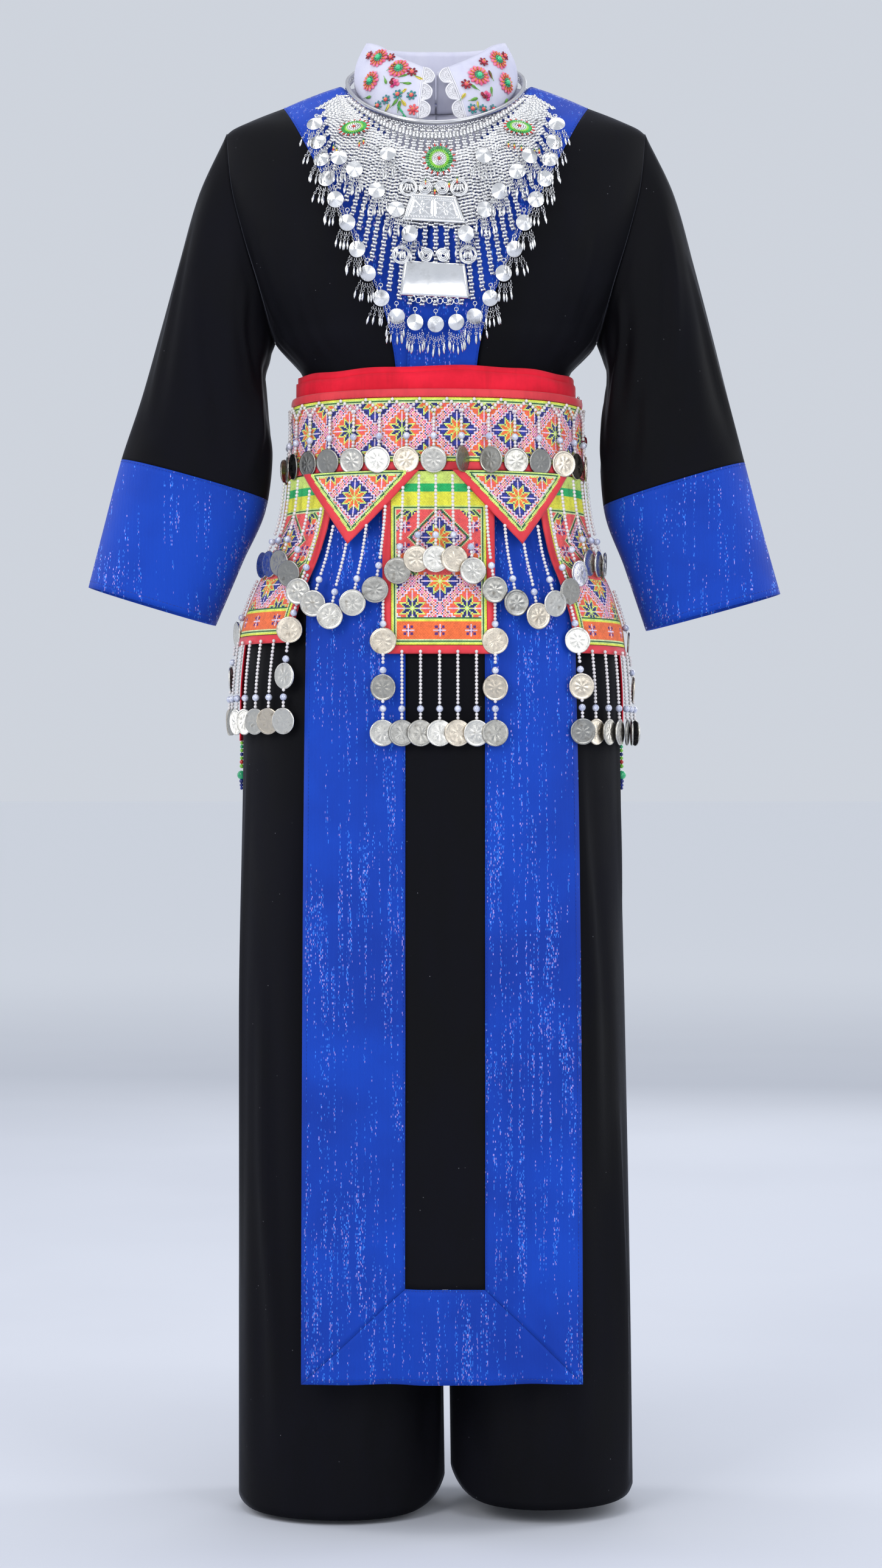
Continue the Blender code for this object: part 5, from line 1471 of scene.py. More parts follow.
def build_back():
    end_x = LAPEL_EDGE["x"](0.0)
    quarter = pi / 2.0 - EDGE_TURN

    def top(share):
        if abs(share) < BACK_SHOULDER:
            x, z = back_band_edge(abs(share) / BACK_SHOULDER, True)
            return torso_angle(x, z - 2.5 * SEAM), z - 2.5 * SEAM
        x = mix(end_x + 2.0 * SEAM, ARMHOLE_TOP, (abs(share) - BACK_SHOULDER) / (1.0 - BACK_SHOULDER))
        return torso_angle(x, ridge(x)), ridge(x)

    tops = {}

    def place(share, v):
        if share not in tops:
            tops[share] = top(share)
        top_turn, top_z = tops[share]
        side_x, side_z = panel_side(v)
        turn = torso_angle(side_x, side_z) * mix(top_turn / quarter, abs(share), rise(v, 0.0, 0.14))
        z = mix(top_z, JACKET_HEM, v)
        angle = copysign(pi - turn, share)
        return torso_at(angle, z, torso_out(angle, z) * min(1.0, 8.0 * (1.0 - abs(share))))

    cloth("velvet_back", place, steps(-1.0, 1.0, 70), shares(76), CLOTH, "velvet",
          ["jacket_back"])

    def band(u, v):
        high_x, high_z = back_band_edge(abs(u), False)
        low_x, low_z = back_band_edge(abs(u), True)
        turn = mix(torso_angle(high_x, high_z), torso_angle(low_x, low_z), v)
        return at_angle(TORSO, copysign(pi - turn, u), mix(high_z, low_z, v))

    cloth("glitter_neck_band", band, steps(-1.0, 1.0, 50), shares(10), CLOTH, "glitter",
          ["back_neck_band"], seams=(("top", BAND_SEWING), ("bottom", BAND_SEWING)))


def build_sleeves():
    around = [index / 90 for index in range(90)]
    for way, name in SIDES:
        def place(turn, along):
            shift = SEAM * (1.0 - min(along / 0.02, 1.0))
            return sleeve_point(name, turn, along) + Vector((way * 0.975, 0.0, -0.2225)) * shift

        def lift(turn, along):
            ease = rise(along, 0.0, 0.10)
            return ease * (fold_height(SLEEVE_FOLDS, turn, along)
                           + crease_scale() * creases(SLEEVE_CREASES[name], turn, along))

        def cuff_lift(turn, along):
            return creases(CUFF_CREASES, turn, along)

        def inside(point):
            return sleeve_axis(name, point)

        cloth(f"velvet_sleeve_{name}", place, around, steps(0.0, 1.0 - CUFF_SEAM, 66), CLOTH, "velvet",
              [f"sleeve_{name}"], inside, True, lift)
        cloth(f"glitter_cuff_{name}", place, around, steps(1.0 + CUFF_SEAM, 2.0, 24), CLOTH, "glitter",
              [f"cuff_{name}"], inside, True, cuff_lift, seams=(("top", CUFF_SEWING), ("bottom", CUFF_HEM_SEWING)))


def sleeve_axis(name, point):
    """The nearest middle point of a sleeve."""
    rings = SLEEVES[name]
    middles = []
    for index in range(21):
        along = index / 10.0
        x = (rings["outer_x"](along) + rings["inner_x"](along)) / 2.0
        z = (rings["outer_z"](along) + rings["inner_z"](along)) / 2.0
        middles.append(Vector((x, 0.0, z)))
    return min(middles, key=lambda middle: (point - middle).length)


def build_trousers():
    down = shares(140)
    across = steps(0.0001, 0.9995, 50)
    for way, name in SIDES:
        for back, face in ((False, "front"), (True, "back")):
            def place(u, v):
                corner = 0.024 * exp(-(u / 0.17) ** 2) + 0.008 * exp(-((1.0 - u) / 0.14) ** 2)
                return leg_point(way, back, u, v - corner * rise(v, 0.82, 1.0))

            def inside(point):
                legs = rise(-point.z, -CROTCH_START, -CROTCH)
                return Vector((way * 0.095 * legs, 0.0, point.z))

            def lift(u, v):
                z = mix(TROUSER_TOP, HEM_LEFT, v)
                ease = min(1.0, 14.0 * u, 14.0 * (1.0 - u))
                big = fold_height(LEG_FOLDS, 1.0 - u if back else u, z)
                return big + ease * crease_scale() * creases(LEG_CREASES[f"{name}_{face}"], u, z)

            cloth(f"velvet_leg_{name}_{face}", place, across, down, CLOTH, "velvet",
                  [f"trouser_leg_{name}_{face}"], inside, False, lift)


def apron_cloth(name, corners, across, down, look, covers, seams=()):
    """A four-sided apron piece from its corner runs and heights."""
    (run0, z0), (run1, z1), (run2, z2), (run3, z3) = corners

    def place(u, v):
        run = mix(mix(run0, run1, u), mix(run3, run2, u), v)
        z = mix(mix(z0, z1, u), mix(z3, z2, u), v)
        return apron_point(run, z, crease_scale() * creases(APRON_CREASES, run, z))

    cloth(name, place, across, down, FINE_CLOTH, look, covers, seams=seams)


def build_apron():
    half = SEAM / 2.0
    left, right, low, top = CENTRE_LEFT, CENTRE_RIGHT, CENTRE_BOTTOM, APRON_TOP
    hem = APRON_BOTTOM + half
    parts = (
        # name, look, node, corners from the top left round, sewing
        ("velvet", "velvet", "centre", ((left + half, top), (right - half, top), (right - half, low + half),
                                        (left + half, low + half)), ()),
        ("glitter_left", "glitter", "border_left", ((APRON_LEFT, top), (left - half, top), (left - half, low),
                                                    (APRON_LEFT, hem)),
         (("left", APRON_SEWING), ("right", JOIN_SEWING))),
        ("glitter_right", "glitter", "border_right", ((right + half, top), (APRON_RIGHT, top), (APRON_RIGHT, hem),
                                                      (right + half, low)),
         (("left", JOIN_SEWING), ("right", APRON_SEWING))),
    )
    for name, look, node, corners, seams in parts:
        apron_cloth(f"apron_{name}", corners, shares(18), shares(140), look, [f"apron_{node}"], seams)
    hem = APRON_BOTTOM - half
    apron_cloth("apron_glitter_bottom", ((left, low - half), (right, low - half), (APRON_RIGHT, hem),
                                         (APRON_LEFT, hem)), shares(44), shares(14), "glitter",
                ["apron_border_bottom"], (("top", JOIN_SEWING), ("bottom", APRON_SEWING)))


def build_sash():
    around = [index / 120 for index in range(120)]
    turns = (
        # name, node, how far in, top z, bottom z, height of the top edge's wave
        ("red_inner_turn", "sash_inner_turn", -FINE_CLOTH - SEAM, SASH_TOP, SASH_BOTTOM, 0.0012),
        ("red_outer_turn", "sash_outer_turn", 0.0, SASH_TOP - 0.006, SASH_BOTTOM - 0.002, 0.0020),
    )
    for name, node, out, top, bottom, wave in turns:
        def place(u, v):
            angle = tau * u - pi
            high = top + wave * sin(3.0 * angle + 1.0) + 0.0006 * sin(11.0 * angle)
            return at_angle(SASH_LINE, angle, mix(high, bottom, v), out)

        cloth(name, place, around, shares(10), FINE_CLOTH, "sash", [node], ring=True)
    for way, name in SIDES:
        angle = way * radians(TAIL_ANGLE)

        def tail(u, v):
            z = mix(TAIL_TOP, TAIL_BOTTOM, v)
            return on_flap(angle, mix(-TAIL_HALF, TAIL_HALF, u), z, creases(TAIL_CREASES, u, z))

        cloth(f"red_tail_{name}", tail, shares(20), shares(44), FINE_CLOTH, "sash",
              [f"sash_tail_{name}"])
        build_tail_beads(name, angle)
    build_side_beads()


TAIL_BEADS = (
    # drop below the tail's edge, radius, which of the colours
    (0.0020, 0.0019, 1), (0.0058, 0.0019, 0), (0.0096, 0.0019, 1), (0.0134, 0.0019, 2), (0.0172, 0.0019, 1),
    (0.0210, 0.0022, 3), (0.0252, 0.0022, 1), (0.0340, 0.0046, 0), (0.0400, 0.0024, 2), (0.0440, 0.0020, 2),
    (0.0472, 0.0016, 2),
)


def build_tail_beads(name, angle):
    """Strings of small beads, each with one large bead, along the lower edge of a sash tail."""
    pile = Pile("emerald", "lime", "cobalt", "red")
    for run in steps(-TAIL_HALF + 0.006, TAIL_HALF - 0.006, TAIL_DROPS - 1):
        for drop, radius, look in TAIL_BEADS:
            spot = on_flap(angle, run, TAIL_BOTTOM - drop, -FINE_CLOTH / 2.0)
            pile.add(*ball(spot, radius, sides=8, rings=5), look)
    pile.piece(f"tail_beads_{name}", [f"sash_tail_beads_{name}"])


def build_side_beads():
    """Two cut dark red beads with silver caps at the right side of the sash and the belt."""
    pile = Pile("garnet", "bright")
    _, end = belt_edges()
    for spot in (at_angle(SASH_LINE, radians(84.0), -0.311, 0.0028), belt_surface(end + 0.002, -0.3475, 0.0024)):
        profile = ((-0.0058, 0.0010), (-0.0044, 0.0025), (0.0, 0.0031), (0.0044, 0.0025), (0.0058, 0.0010))
        pile.add(*turned(spot, UP, profile, 6))
        for end_z in (-0.0066, 0.0066):
            pile.add(*ball(spot + UP * end_z, 0.0013), 1)
    pile.piece("garnet_side_beads")


STITCH_COLOURS = {
    "navy": (0.010, 0.012, 0.165),
    "blue": (0.016, 0.034, 0.360),
    "white": (0.86, 0.70, 0.84),
    "lime": (0.70, 0.88, 0.20),
    "pale": (0.72, 0.84, 0.42),
    "green": (0.010, 0.120, 0.045),
    "bright": (0.005, 0.50, 0.14),
    "yellow": (0.86, 0.84, 0.06),
    "orange": (0.92, 0.17, 0.035),
    "amber": (0.84, 0.36, 0.045),
    "coral": (0.92, 0.110, 0.110),
    "pink": (0.88, 0.10, 0.23),
    "purple": (0.10, 0.015, 0.20),
}

STITCH_HIGH = 0.00045
BLUE_MOTIF = {"ground": "navy", "light": "blue", "petal": "orange", "chips": ("coral", "amber", "pink", "navy")}
CORAL_MOTIF = {"ground": "orange", "light": "coral", "petal": "navy", "chips": ("orange", "navy", "pink", "amber")}
MOTIF_HALF = 20


def in_cross(a, b):
    """Whether a stitch lies in the motif's stepped cross, counted from its middle along two axes."""
    return max(a, b) + 2 * (min(a, b) // 2) < 15


def motif_stitch(i, j, scheme):
    """One quarter of the eight-petal star in its stepped cross, by the stitches from its middle."""
    long, short = max(i, j), min(i, j)
    if i + j == MOTIF_HALF - 1:
        return "white"
    petal = 2.1 * sin(pi * min(long / 9.5, 1.0))
    gap = abs(short - 0.42 * long)
    if long < 9.5 and gap < petal:
        return scheme["petal"] if gap < petal - 0.95 else "lime"
    if short == 0 and long < 14:
        return "white"
    if in_cross(i, j):
        return scheme["light"] if (i // 3 + j // 3) % 2 else scheme["ground"]
    if in_cross(i - 1, j) or in_cross(i, j - 1) or in_cross(i - 1, j - 1):
        return "white"
    return scheme["chips"][((i - j) // 3 + 2 * ((i + j) // 3)) % 4]


def lattice_stitch(column, row, swapped=False):
    """The lattice of diamonds, each with its star; alternate diamonds take the other colours."""
    period = 2 * MOTIF_HALF
    i = abs((column + MOTIF_HALF) % period - MOTIF_HALF)
    j = abs((row + MOTIF_HALF) % period - MOTIF_HALF)
    other = i + j > MOTIF_HALF - 1
    if other:
        i, j = MOTIF_HALF - i, MOTIF_HALF - j
    return motif_stitch(i, j, CORAL_MOTIF if other != swapped else BLUE_MOTIF)


EDGE_LINES = ("yellow", "lime", "green", "pale")


def band_stitch(column, row, columns, rows):
    edge = min(row, rows - 1 - row)
    if edge < len(EDGE_LINES):
        return EDGE_LINES[edge]
    return lattice_stitch(column, row - rows // 2, (column + MOTIF_HALF) // (4 * MOTIF_HALF) % 2 == 1)


def flower_stitch(i, j):
    """A small eight-rayed flower, dark on the diagonals and pale along the axes."""
    i, j = abs(i), abs(j)
    if i == j and 0 < i < 4:
        return "purple"
    if (min(i, j) == 0 and max(i, j) < 5) or i + j == 1:
        return "white"
    if abs(i - j) == 1 and max(i, j) == 3:
        return "purple"
    return None


def panel_stitch(column, row, columns, rows):
    """The hanging panel: three stripes, a banded field, a lattice and a strip of small flowers."""
    stripes = ((9, "yellow"), (15, "bright"), (24, "yellow"))
    for last, colour in stripes:
        if row < last:
            return "lime" if colour == "yellow" and row < 9 else colour
    edge = min(column, columns - 1 - column, rows - 1 - row, row - 24)
    if edge < len(EDGE_LINES):
        return EDGE_LINES[edge]
    middle = column - columns // 2
    low = rows - 1 - row
    if low < 17:
        flower = flower_stitch(abs(middle) - 23 if abs(middle) > 11 else middle, low - 10)
        return flower or "orange"
    if low < 20:
        return EDGE_LINES[low - 17]
    upper = row - 48
    if row < 76:
        reach = abs(middle) + abs(upper)
        if reach <= MOTIF_HALF:
            return lattice_stitch(middle, upper)
        band = (reach - MOTIF_HALF) % 24
        if band < 4:
            return ("lime", "green", "green", "pale")[band]
        flower = flower_stitch(abs(middle) - 25, abs(upper) - 8)
        return flower or ("coral" if band < 16 else lattice_stitch(middle, upper))
    return lattice_stitch(middle, row - 80)


def triangle_stitch(column, row, columns, rows):
    """The triangle: lines along its three edges and one blue star in the lattice."""
    middle = column - columns // 2
    slope = (rows - row) * (columns / 2.0) / rows - abs(middle)
    edge = min(row, int(slope * 0.78))
    if edge < 0:
        return None
    if edge < 3:
        return ("lime", "green", "pale")[edge]
    return lattice_stitch(middle, row - 19)


def stitches(name, surface, across, down, chart, covers=()):
    """Raised stitches on a surface(run, z, out), coloured by their chart, on their ground cloth."""
    pitch = bpy.context.scene.costume_sizes.stitch_pitch
    columns = 2 * round((across[1] - across[0]) / pitch / 2.0)
    rows = round((down[0] - down[1]) / pitch)
    dice = Random(len(name) * 7 + columns)
    points = []
    for row in range(rows + 1):
        z = mix(down[0], down[1], row / rows)
        runs = steps(across[0], across[1], columns)
        points.append([surface(run, z, STITCH_HIGH * ((row + place) % 2)) for place, run in enumerate(runs)])
    pile = Pile("stitch")
    for row in range(rows):
        for column in range(columns):
            colour = chart(column, row, columns, rows)
            if colour is None:
                continue
            corners = [points[row][column], points[row][column + 1], points[row + 1][column + 1],
                       points[row + 1][column]]
            ridge_faces = [(0, 3, 2), (0, 2, 1)] if (row + column) % 2 else [(0, 3, 1), (3, 2, 1)]
            shade = dice.uniform(0.86, 1.08)
            tint = tuple(min(value * shade, 1.0) for value in STITCH_COLOURS[colour])
            pile.add(corners, ridge_faces, 0, tint)
    return pile.piece(name, covers, smooth=False)


def belt_surface(run, z, out=0.0):
    _, end = belt_edges()
    return at_angle(BELT_LINE, belt_run(run), z, out + BELT_END_LIFT * rise(run, end - 0.05, end))


def build_belt():
    start, end = belt_edges()
    runs = steps(start, end, 200)
    strips = (
        # name, node, top z, bottom z, how far out, look, bulge
        ("coral_binding_top", "belt_binding_top", BELT_TOP, BELT_TOP - BINDING + SEAM / 2.0, 0.0004, "coral", 0.0007),
        ("stitched_band", "belt_band", BELT_TOP - BINDING - SEAM / 2.0, BELT_BOTTOM + BINDING + SEAM / 2.0, -0.0004,
         "ground", 0.0),
        ("coral_binding_low", "belt_binding_bottom", BELT_BOTTOM + BINDING - SEAM / 2.0, BELT_BOTTOM, 0.0004,
         "coral", 0.0007),
    )
    for name, node, top, bottom, out, look, bulge in strips:
        def place(run, v):
            return belt_surface(run, mix(top, bottom, v), out)

        def lift(run, v):
            pucker = 1.0 + 0.35 * sin(run * 190.0) * sin(run * 57.0 + 1.0)
            return bulge * sin(pi * v) * pucker

        sewn = (("bottom" if top == BELT_TOP else "top", BINDING_SEWING),) if look == "coral" else ()
        cloth(name, place, runs, shares(6), BELT_CLOTH, look, [node], lift=lift,
              seams=sewn, thread="coral_thread")
    stitches("band_stitches", belt_surface, (start + 0.001, end - 0.001),
             (BELT_TOP - BINDING - 0.0004, BELT_BOTTOM + BINDING + 0.0004), band_stitch)

    def satin(u, v):
        run = end - 0.0002 + 0.0012 * sin(pi * u) - 0.009 * abs(u - 0.5) * 2.0
        return belt_surface(run, mix(BELT_TOP + 0.0005, BELT_BOTTOM - 0.0005, v), 0.0012 - 0.0044 * u)

    cloth("pink_belt_end", satin, shares(12), shares(20), 0.0006, "satin")
    build_panels()
    build_triangles()


def flap_binding(name, node, angle, outer, inner, out):
    """A folded binding between two lines of run and height on a hanging flap."""
    def place(u, index):
        first, second = outer[index], inner[index]
        return on_flap(angle, mix(first[0], second[0], u), mix(first[1], second[1], u), out)

    def lift(u, index):
        return 0.0006 * sin(pi * u) * (1.0 + 0.3 * sin(index * 1.3) * sin(index * 0.41))

    cloth(name, place, shares(5), list(range(len(outer))), BELT_CLOTH, "coral", [node], lift=lift)


def build_panels():
    for name, middle, bottom in PANELS:
        angle = flap_angle(middle)
        top = BELT_BOTTOM - SEAM
        near = PANEL_HALF - BINDING
        field = near - SEAM

        def ground(run, z, out=0.0):
            return on_flap(angle, run, z, out)

        def place(run, z):
            return ground(run, z, -0.0004)

        cloth(f"panel_ground_{name}", place, steps(-field, field, 18), steps(top, bottom + BINDING + SEAM, 32),
              BELT_CLOTH, "ground", [f"belt_panel_{name}"])
        stitches(f"panel_stitches_{name}", ground, (-field, field), (top - 0.001, bottom + BINDING + 0.0006),
                 panel_stitch)
        outer = [(-PANEL_HALF, top), (-PANEL_HALF, bottom), (PANEL_HALF, bottom), (PANEL_HALF, top)]
        inner = [(-near, top), (-near, bottom + BINDING), (near, bottom + BINDING), (near, top)]
        flap_binding(f"panel_binding_{name}", f"belt_panel_binding_{name}", angle, subdivide(outer, 36),
                     subdivide(inner, 36), 0.0004)


def build_triangles():
    slope = hypot(TRIANGLE_HALF, BELT_BOTTOM - TRIANGLE_TIP) / TRIANGLE_HALF
    drop = BINDING * slope
    top = BELT_BOTTOM - SEAM
    for way, name in SIDES:
        angle = flap_angle(way * FLAP_PITCH)
        half = TRIANGLE_HALF
        near = half * (1.0 - drop / (top - TRIANGLE_TIP))
        size = near - 3.0 * SEAM * slope
        low = TRIANGLE_TIP + drop
        outer = subdivide([(-half, top), (0.0, TRIANGLE_TIP), (half, top)], 30)
        inner = subdivide([(-near, top), (0.0, low), (near, top)], 30)
        flap_binding(f"triangle_binding_{name}", f"belt_triangle_binding_{name}", angle, outer, inner,
                     TRIANGLE_OUT)

        def place(u, row):
            run = mix(-size, size, u) * (1.0 - row)
            return on_flap(angle, run, mix(top, low, row), TRIANGLE_OUT - 0.0004)

        cloth(f"triangle_ground_{name}", place, shares(24), steps(0.0, 0.985, 16), BELT_CLOTH, "ground",
              [f"belt_triangle_{name}"])

        def surface(run, z, out=0.0):
            return on_flap(angle, run, z, TRIANGLE_OUT + out)

        stitches(f"triangle_stitches_{name}", surface, (-size, size), (top - 0.0005, low), triangle_stitch)


COIN_TINTS = ((1.0, 0.99, 0.96), (0.62, 0.61, 0.58), (0.86, 0.85, 0.82), (0.48, 0.48, 0.47), (0.95, 0.86, 0.74))
COIN_SIDES = 32
COIN_RINGS = (0.18, 0.32, 0.46, 0.60, 0.70, 0.78, 0.87, 0.94, 1.0)
COIN_BACK_RINGS = (0.32, 0.60, 0.78, 0.94, 1.0)


def coin_height(share, turn):
    """The relief of a plain coin: a boss, an eight-petal wreath, a beaded ring and a raised rim."""
    boss = 0.00034 * max(0.0, 1.0 - share / 0.22)
    petals = 0.00036 * max(0.0, cos(8.0 * turn)) * sin(pi * min(max((share - 0.2) / 0.42, 0.0), 1.0))
    beads = 0.00026 * max(0.0, cos(16.0 * turn)) * exp(-((share - 0.78) / 0.06) ** 2)
    rim = 0.00040 * rise(share, 0.86, 0.94)
    return boss + petals + beads + rim


def add_coin(pile, middle, facing, tint, spin):
    """A coin on edge under its string; facing is the way its front looks."""
    facing = facing.normalized()
    up = (UP - facing * UP.dot(facing)).normalized()
    side = up.cross(facing)
    vertices, faces = [], []
    half, radius, sides = COIN_THICK * 0.36, COIN * 0.52, COIN_SIDES
    edges = []
    for back, rings in ((1.0, COIN_RINGS), (-1.0, COIN_BACK_RINGS)):
        start = len(vertices)
        vertices.append(middle + facing * back * (half + coin_height(0.0, 0.0)))
        for share in rings:
            for step in range(sides):
                turn = tau * step / sides
                high = half + coin_height(share, turn + spin)
                if share == 1.0:
                    high = half * 0.9
                spot = side * cos(turn) + up * sin(turn)
                vertices.append(middle + spot * (radius * share) + facing * back * high)
        for step in range(sides):
            a, b = start + 1 + step, start + 1 + (step + 1) % sides
            faces.append((start, a, b) if back > 0.0 else (start, b, a))
            for ring in range(len(rings) - 1):
                c, d = a + ring * sides, b + ring * sides
                quad = (c, c + sides, d + sides, d)
                faces.append(quad if back > 0.0 else tuple(reversed(quad)))
        edges.append(len(vertices) - sides)
    for step in range(sides):
        after = (step + 1) % sides
        faces.append((edges[0] + step, edges[1] + step, edges[1] + after, edges[0] + after))
    pile.add(vertices, faces, 0, tint)


PEARL = 0.00172
PEARL_STEP = 0.00345
CRYSTAL = 0.0035


def add_pearls(pile, points):
    for point in points:
        pile.add(*ball(point, PEARL, sides=6, rings=4), 1)


def hang_string(pile, hang, top, coin_z, out, turn, dice, extra=()):
    """Pearls, a crystal bead and a coin that hang on one thread; extra coins lie higher on it."""
    push = COIN / 2.0 * abs(sin(turn)) * 0.8
    coin_top = coin_z + COIN / 2.0

    def at(z, side=0.0):
        share = min(max((top - z) / (top - coin_z), 0.0), 1.0)
        return hang(side, z, out + push * share * share)

    crystals = [coin_top + 3.1 * PEARL_STEP] + [z + COIN / 2.0 + 0.004 for z in extra]
    z = top
    while z > coin_top + 0.001:
        near = [bead for bead in crystals if abs(z - bead) < CRYSTAL + PEARL * 0.6]
        inside = [spot for spot in extra if abs(z - spot) < COIN / 2.0 - 0.001]
        if near:
            pile.add(*ball(at(near[0]), CRYSTAL, sides=8, rings=5), 2)
            z = near[0] - CRYSTAL - PEARL
            continue
        if not inside:
            add_pearls(pile, [at(z)])
        z -= PEARL_STEP
    for spot in (coin_z, *extra):
        middle = at(spot)
        ahead = hang(0.002, spot, 0.0) - hang(-0.002, spot, 0.0)
        outward = Vector((-ahead.y, ahead.x, 0.0)) * -1.0
        if outward.dot(Vector((middle.x, middle.y, 0.0))) < 0.0:
            outward = -outward
        angle = turn if spot == coin_z else dice.uniform(-0.5, 0.5)
        facing = outward.normalized() * cos(angle) + ahead.normalized() * sin(angle)
        facing.z = dice.uniform(-0.06, 0.02)
        add_coin(pile, middle, facing, dice.choice(COIN_TINTS), dice.uniform(0.0, 6.0))
        pile.add(*tube([at(spot + COIN / 2.0 + 0.001), at(spot + COIN / 2.0 - 0.0012)], 0.0004, 5), 1)


ROW_TOP = -0.317
ROW_JOIN = -0.3325
SHINGLE = 0.15
BELT_PEARL_OUT = 0.0028
WAVE_PEARL_OUT = 0.0072


def row_turn(index, dice):
    """How far a free coin has turned on its thread: most face out, and some stand nearly on edge."""
    kind = (index * 5) % 13
    if kind in (3, 8):
        return dice.uniform(0.75, 1.15) * (1.0 if kind == 3 else -1.0)
    if kind in (1, 6, 10):
        return dice.uniform(-0.55, 0.55)
    return dice.uniform(-0.10, 0.10)


def build_coin_row():
    runs = row_runs()
    _, end = belt_edges()
    dice = Random(11)
    piles = {name: Pile("coin", "pearl", "crystal") for name in ("front", "back")}
    pitch = runs[1] - runs[0]
    for index, run in enumerate(runs):
        pile = piles["front" if run > -0.215 else "back"]
        free = BELT_END_LIFT * rise(run, end - 0.05, end)

        def hang(side, z, out):
            return at_angle(BELT_LINE, belt_run(run + side), z, out)

        hang_string(pile, hang, ROW_JOIN, ROW_COIN_Z, BELT_PEARL_OUT + free, row_turn(index, dice), dice)
        for side in (-1.0, 1.0):
            first = hang(0.0, ROW_JOIN + 0.0034, BELT_PEARL_OUT + free)
            last = hang(side * pitch / 2.0, ROW_TOP, BELT_PEARL_OUT + free)
            count = 4 if side < 0.0 else 5
            add_pearls(pile, [first.lerp(last, (step + 0.35) / 4.6) for step in range(count)])
    for name, pile in piles.items():
        pile.piece(f"coin_row_{name}", [f"belt_coin_row_{name}"])


def wave_roots():
    """The runs, heights and drops of the strings along the triangles and between them."""
    roots = []
    for side in (-1.0, 1.0):
        for step in range(-3, 4):
            offset = step * WAVE_PITCH
            z = mix(TRIANGLE_TIP, BELT_BOTTOM, abs(offset) / TRIANGLE_HALF)
            roots.append((side * FLAP_PITCH + offset, z - 0.001, WAVE_DROP + WAVE_MORE * min(1.0, abs(step) / 2.0)))
    for middle in (-WAVE_SIDE, 0.0, WAVE_SIDE):
        for step in (-1.0, 0.0, 1.0):
            roots.append((middle + step * WAVE_PITCH, WAVE_TOP, WAVE_DROP + WAVE_MORE))
    return sorted(roots)


def build_wave():
    dice = Random(23)
    pile = Pile("coin", "pearl", "crystal")
    for run, z, drop in wave_roots():
        level = flap_angle(run)

        def hang(side, height, out):
            return on_flap(level, side, height, out)

        hang_string(pile, hang, z, z - drop, WAVE_PEARL_OUT, SHINGLE + dice.uniform(-0.03, 0.03), dice)
    pile.piece("coin_wave", ["belt_coin_wave"])


def build_panel_coins():
    dice = Random(37)
    for name, middle, bottom in PANELS:
        angle = flap_angle(middle)
        edge = PANEL_HALF - 0.001
        pile = Pile("coin", "pearl", "crystal")
        for index, run in enumerate(steps(-edge, edge, 6)):
            side_string = index in (0, 6)

            def hang(side, z, out):
                return on_flap(angle, run + side, z, out)

            turn = dice.uniform(-0.45, 0.45) if side_string else SHINGLE + dice.uniform(-0.03, 0.05)
            top = bottom + 0.064 if side_string else bottom + 0.002
            extra = (bottom + 0.012, bottom - 0.032) if side_string else ()
            hang_string(pile, hang, top, bottom - PANEL_DROP, BELT_PEARL_OUT + 0.0012 * side_string, turn, dice,
                        extra=extra)
        pile.piece(f"panel_coins_{name}", [f"belt_panel_coins_{name}"])


def build_coins():
    build_coin_row()
    build_wave()
    build_panel_coins()


def chest_frame(point):
    """Outward, sideways and upward directions on the chest at a point."""
    outward = torso_normal(point)
    side = UP.cross(outward).normalized()
    return outward, side, outward.cross(side)


def add_torus(pile, middle, axis, radius, thick, sides=5, count=12):
    axis = axis.normalized()
    first = axis.orthogonal().normalized()
    second = axis.cross(first)
    points = [middle + first * cos(turn) * radius + second * sin(turn) * radius for turn in circle(count)]
    pile.add(*tube(points, thick, sides, True))


RING_STEPS = 150
CHAIN_BALLS = 168


def build_ring():
    angles = steps(-pi + RING_OPEN, pi - RING_OPEN, RING_STEPS)
    pile = Pile("ring")
    radii = [RING_TUBE * (0.8 + 0.2 * rise(min(index, RING_STEPS - index) / 10.0, 0.0, 1.0))
             for index in range(RING_STEPS + 1)]
    pile.add(*tube([ring_point(angle) for angle in angles], radii, 10))
    for angle in (angles[0], angles[-1]):
        pile.add(*ball(ring_point(angle), RING_TUBE * 1.5, sides=12, rings=8))
    pile.piece("smooth_neck_ring", ["neck_ring"])
    pile = Pile("silver")
    for index, angle in enumerate(steps(-2.0, 2.0, CHAIN_BALLS)):
        middle = ring_point(angle) - UP * 0.0054
        away = away_at(angle)
        for strand in range(3):
            turn = index * 0.9 + strand * tau / 3.0
            spot = middle + UP * 0.0017 * sin(turn) + away * 0.0014 * cos(turn)
            pile.add(*ball(spot, 0.00125, sides=5, rings=3))
    pile.piece("twisted_ball_chain")


def add_link(pile, middle, across, along, length, radius):
    """One rolled link that lies across its chain, with the two wires that join it to the next."""
    pile.add(*barrel(middle, across, length / 2.0, length * 0.40, radius, radius * 0.55, 6))
    for side in (-0.3, 0.3):
        spot = middle + across * length * side
        pile.add(*tube([spot - along * 0.0018, spot + along * 0.0018], radius * 0.35, 3))


LINK_PITCH = 0.0033
LONG_CHAINS = 36


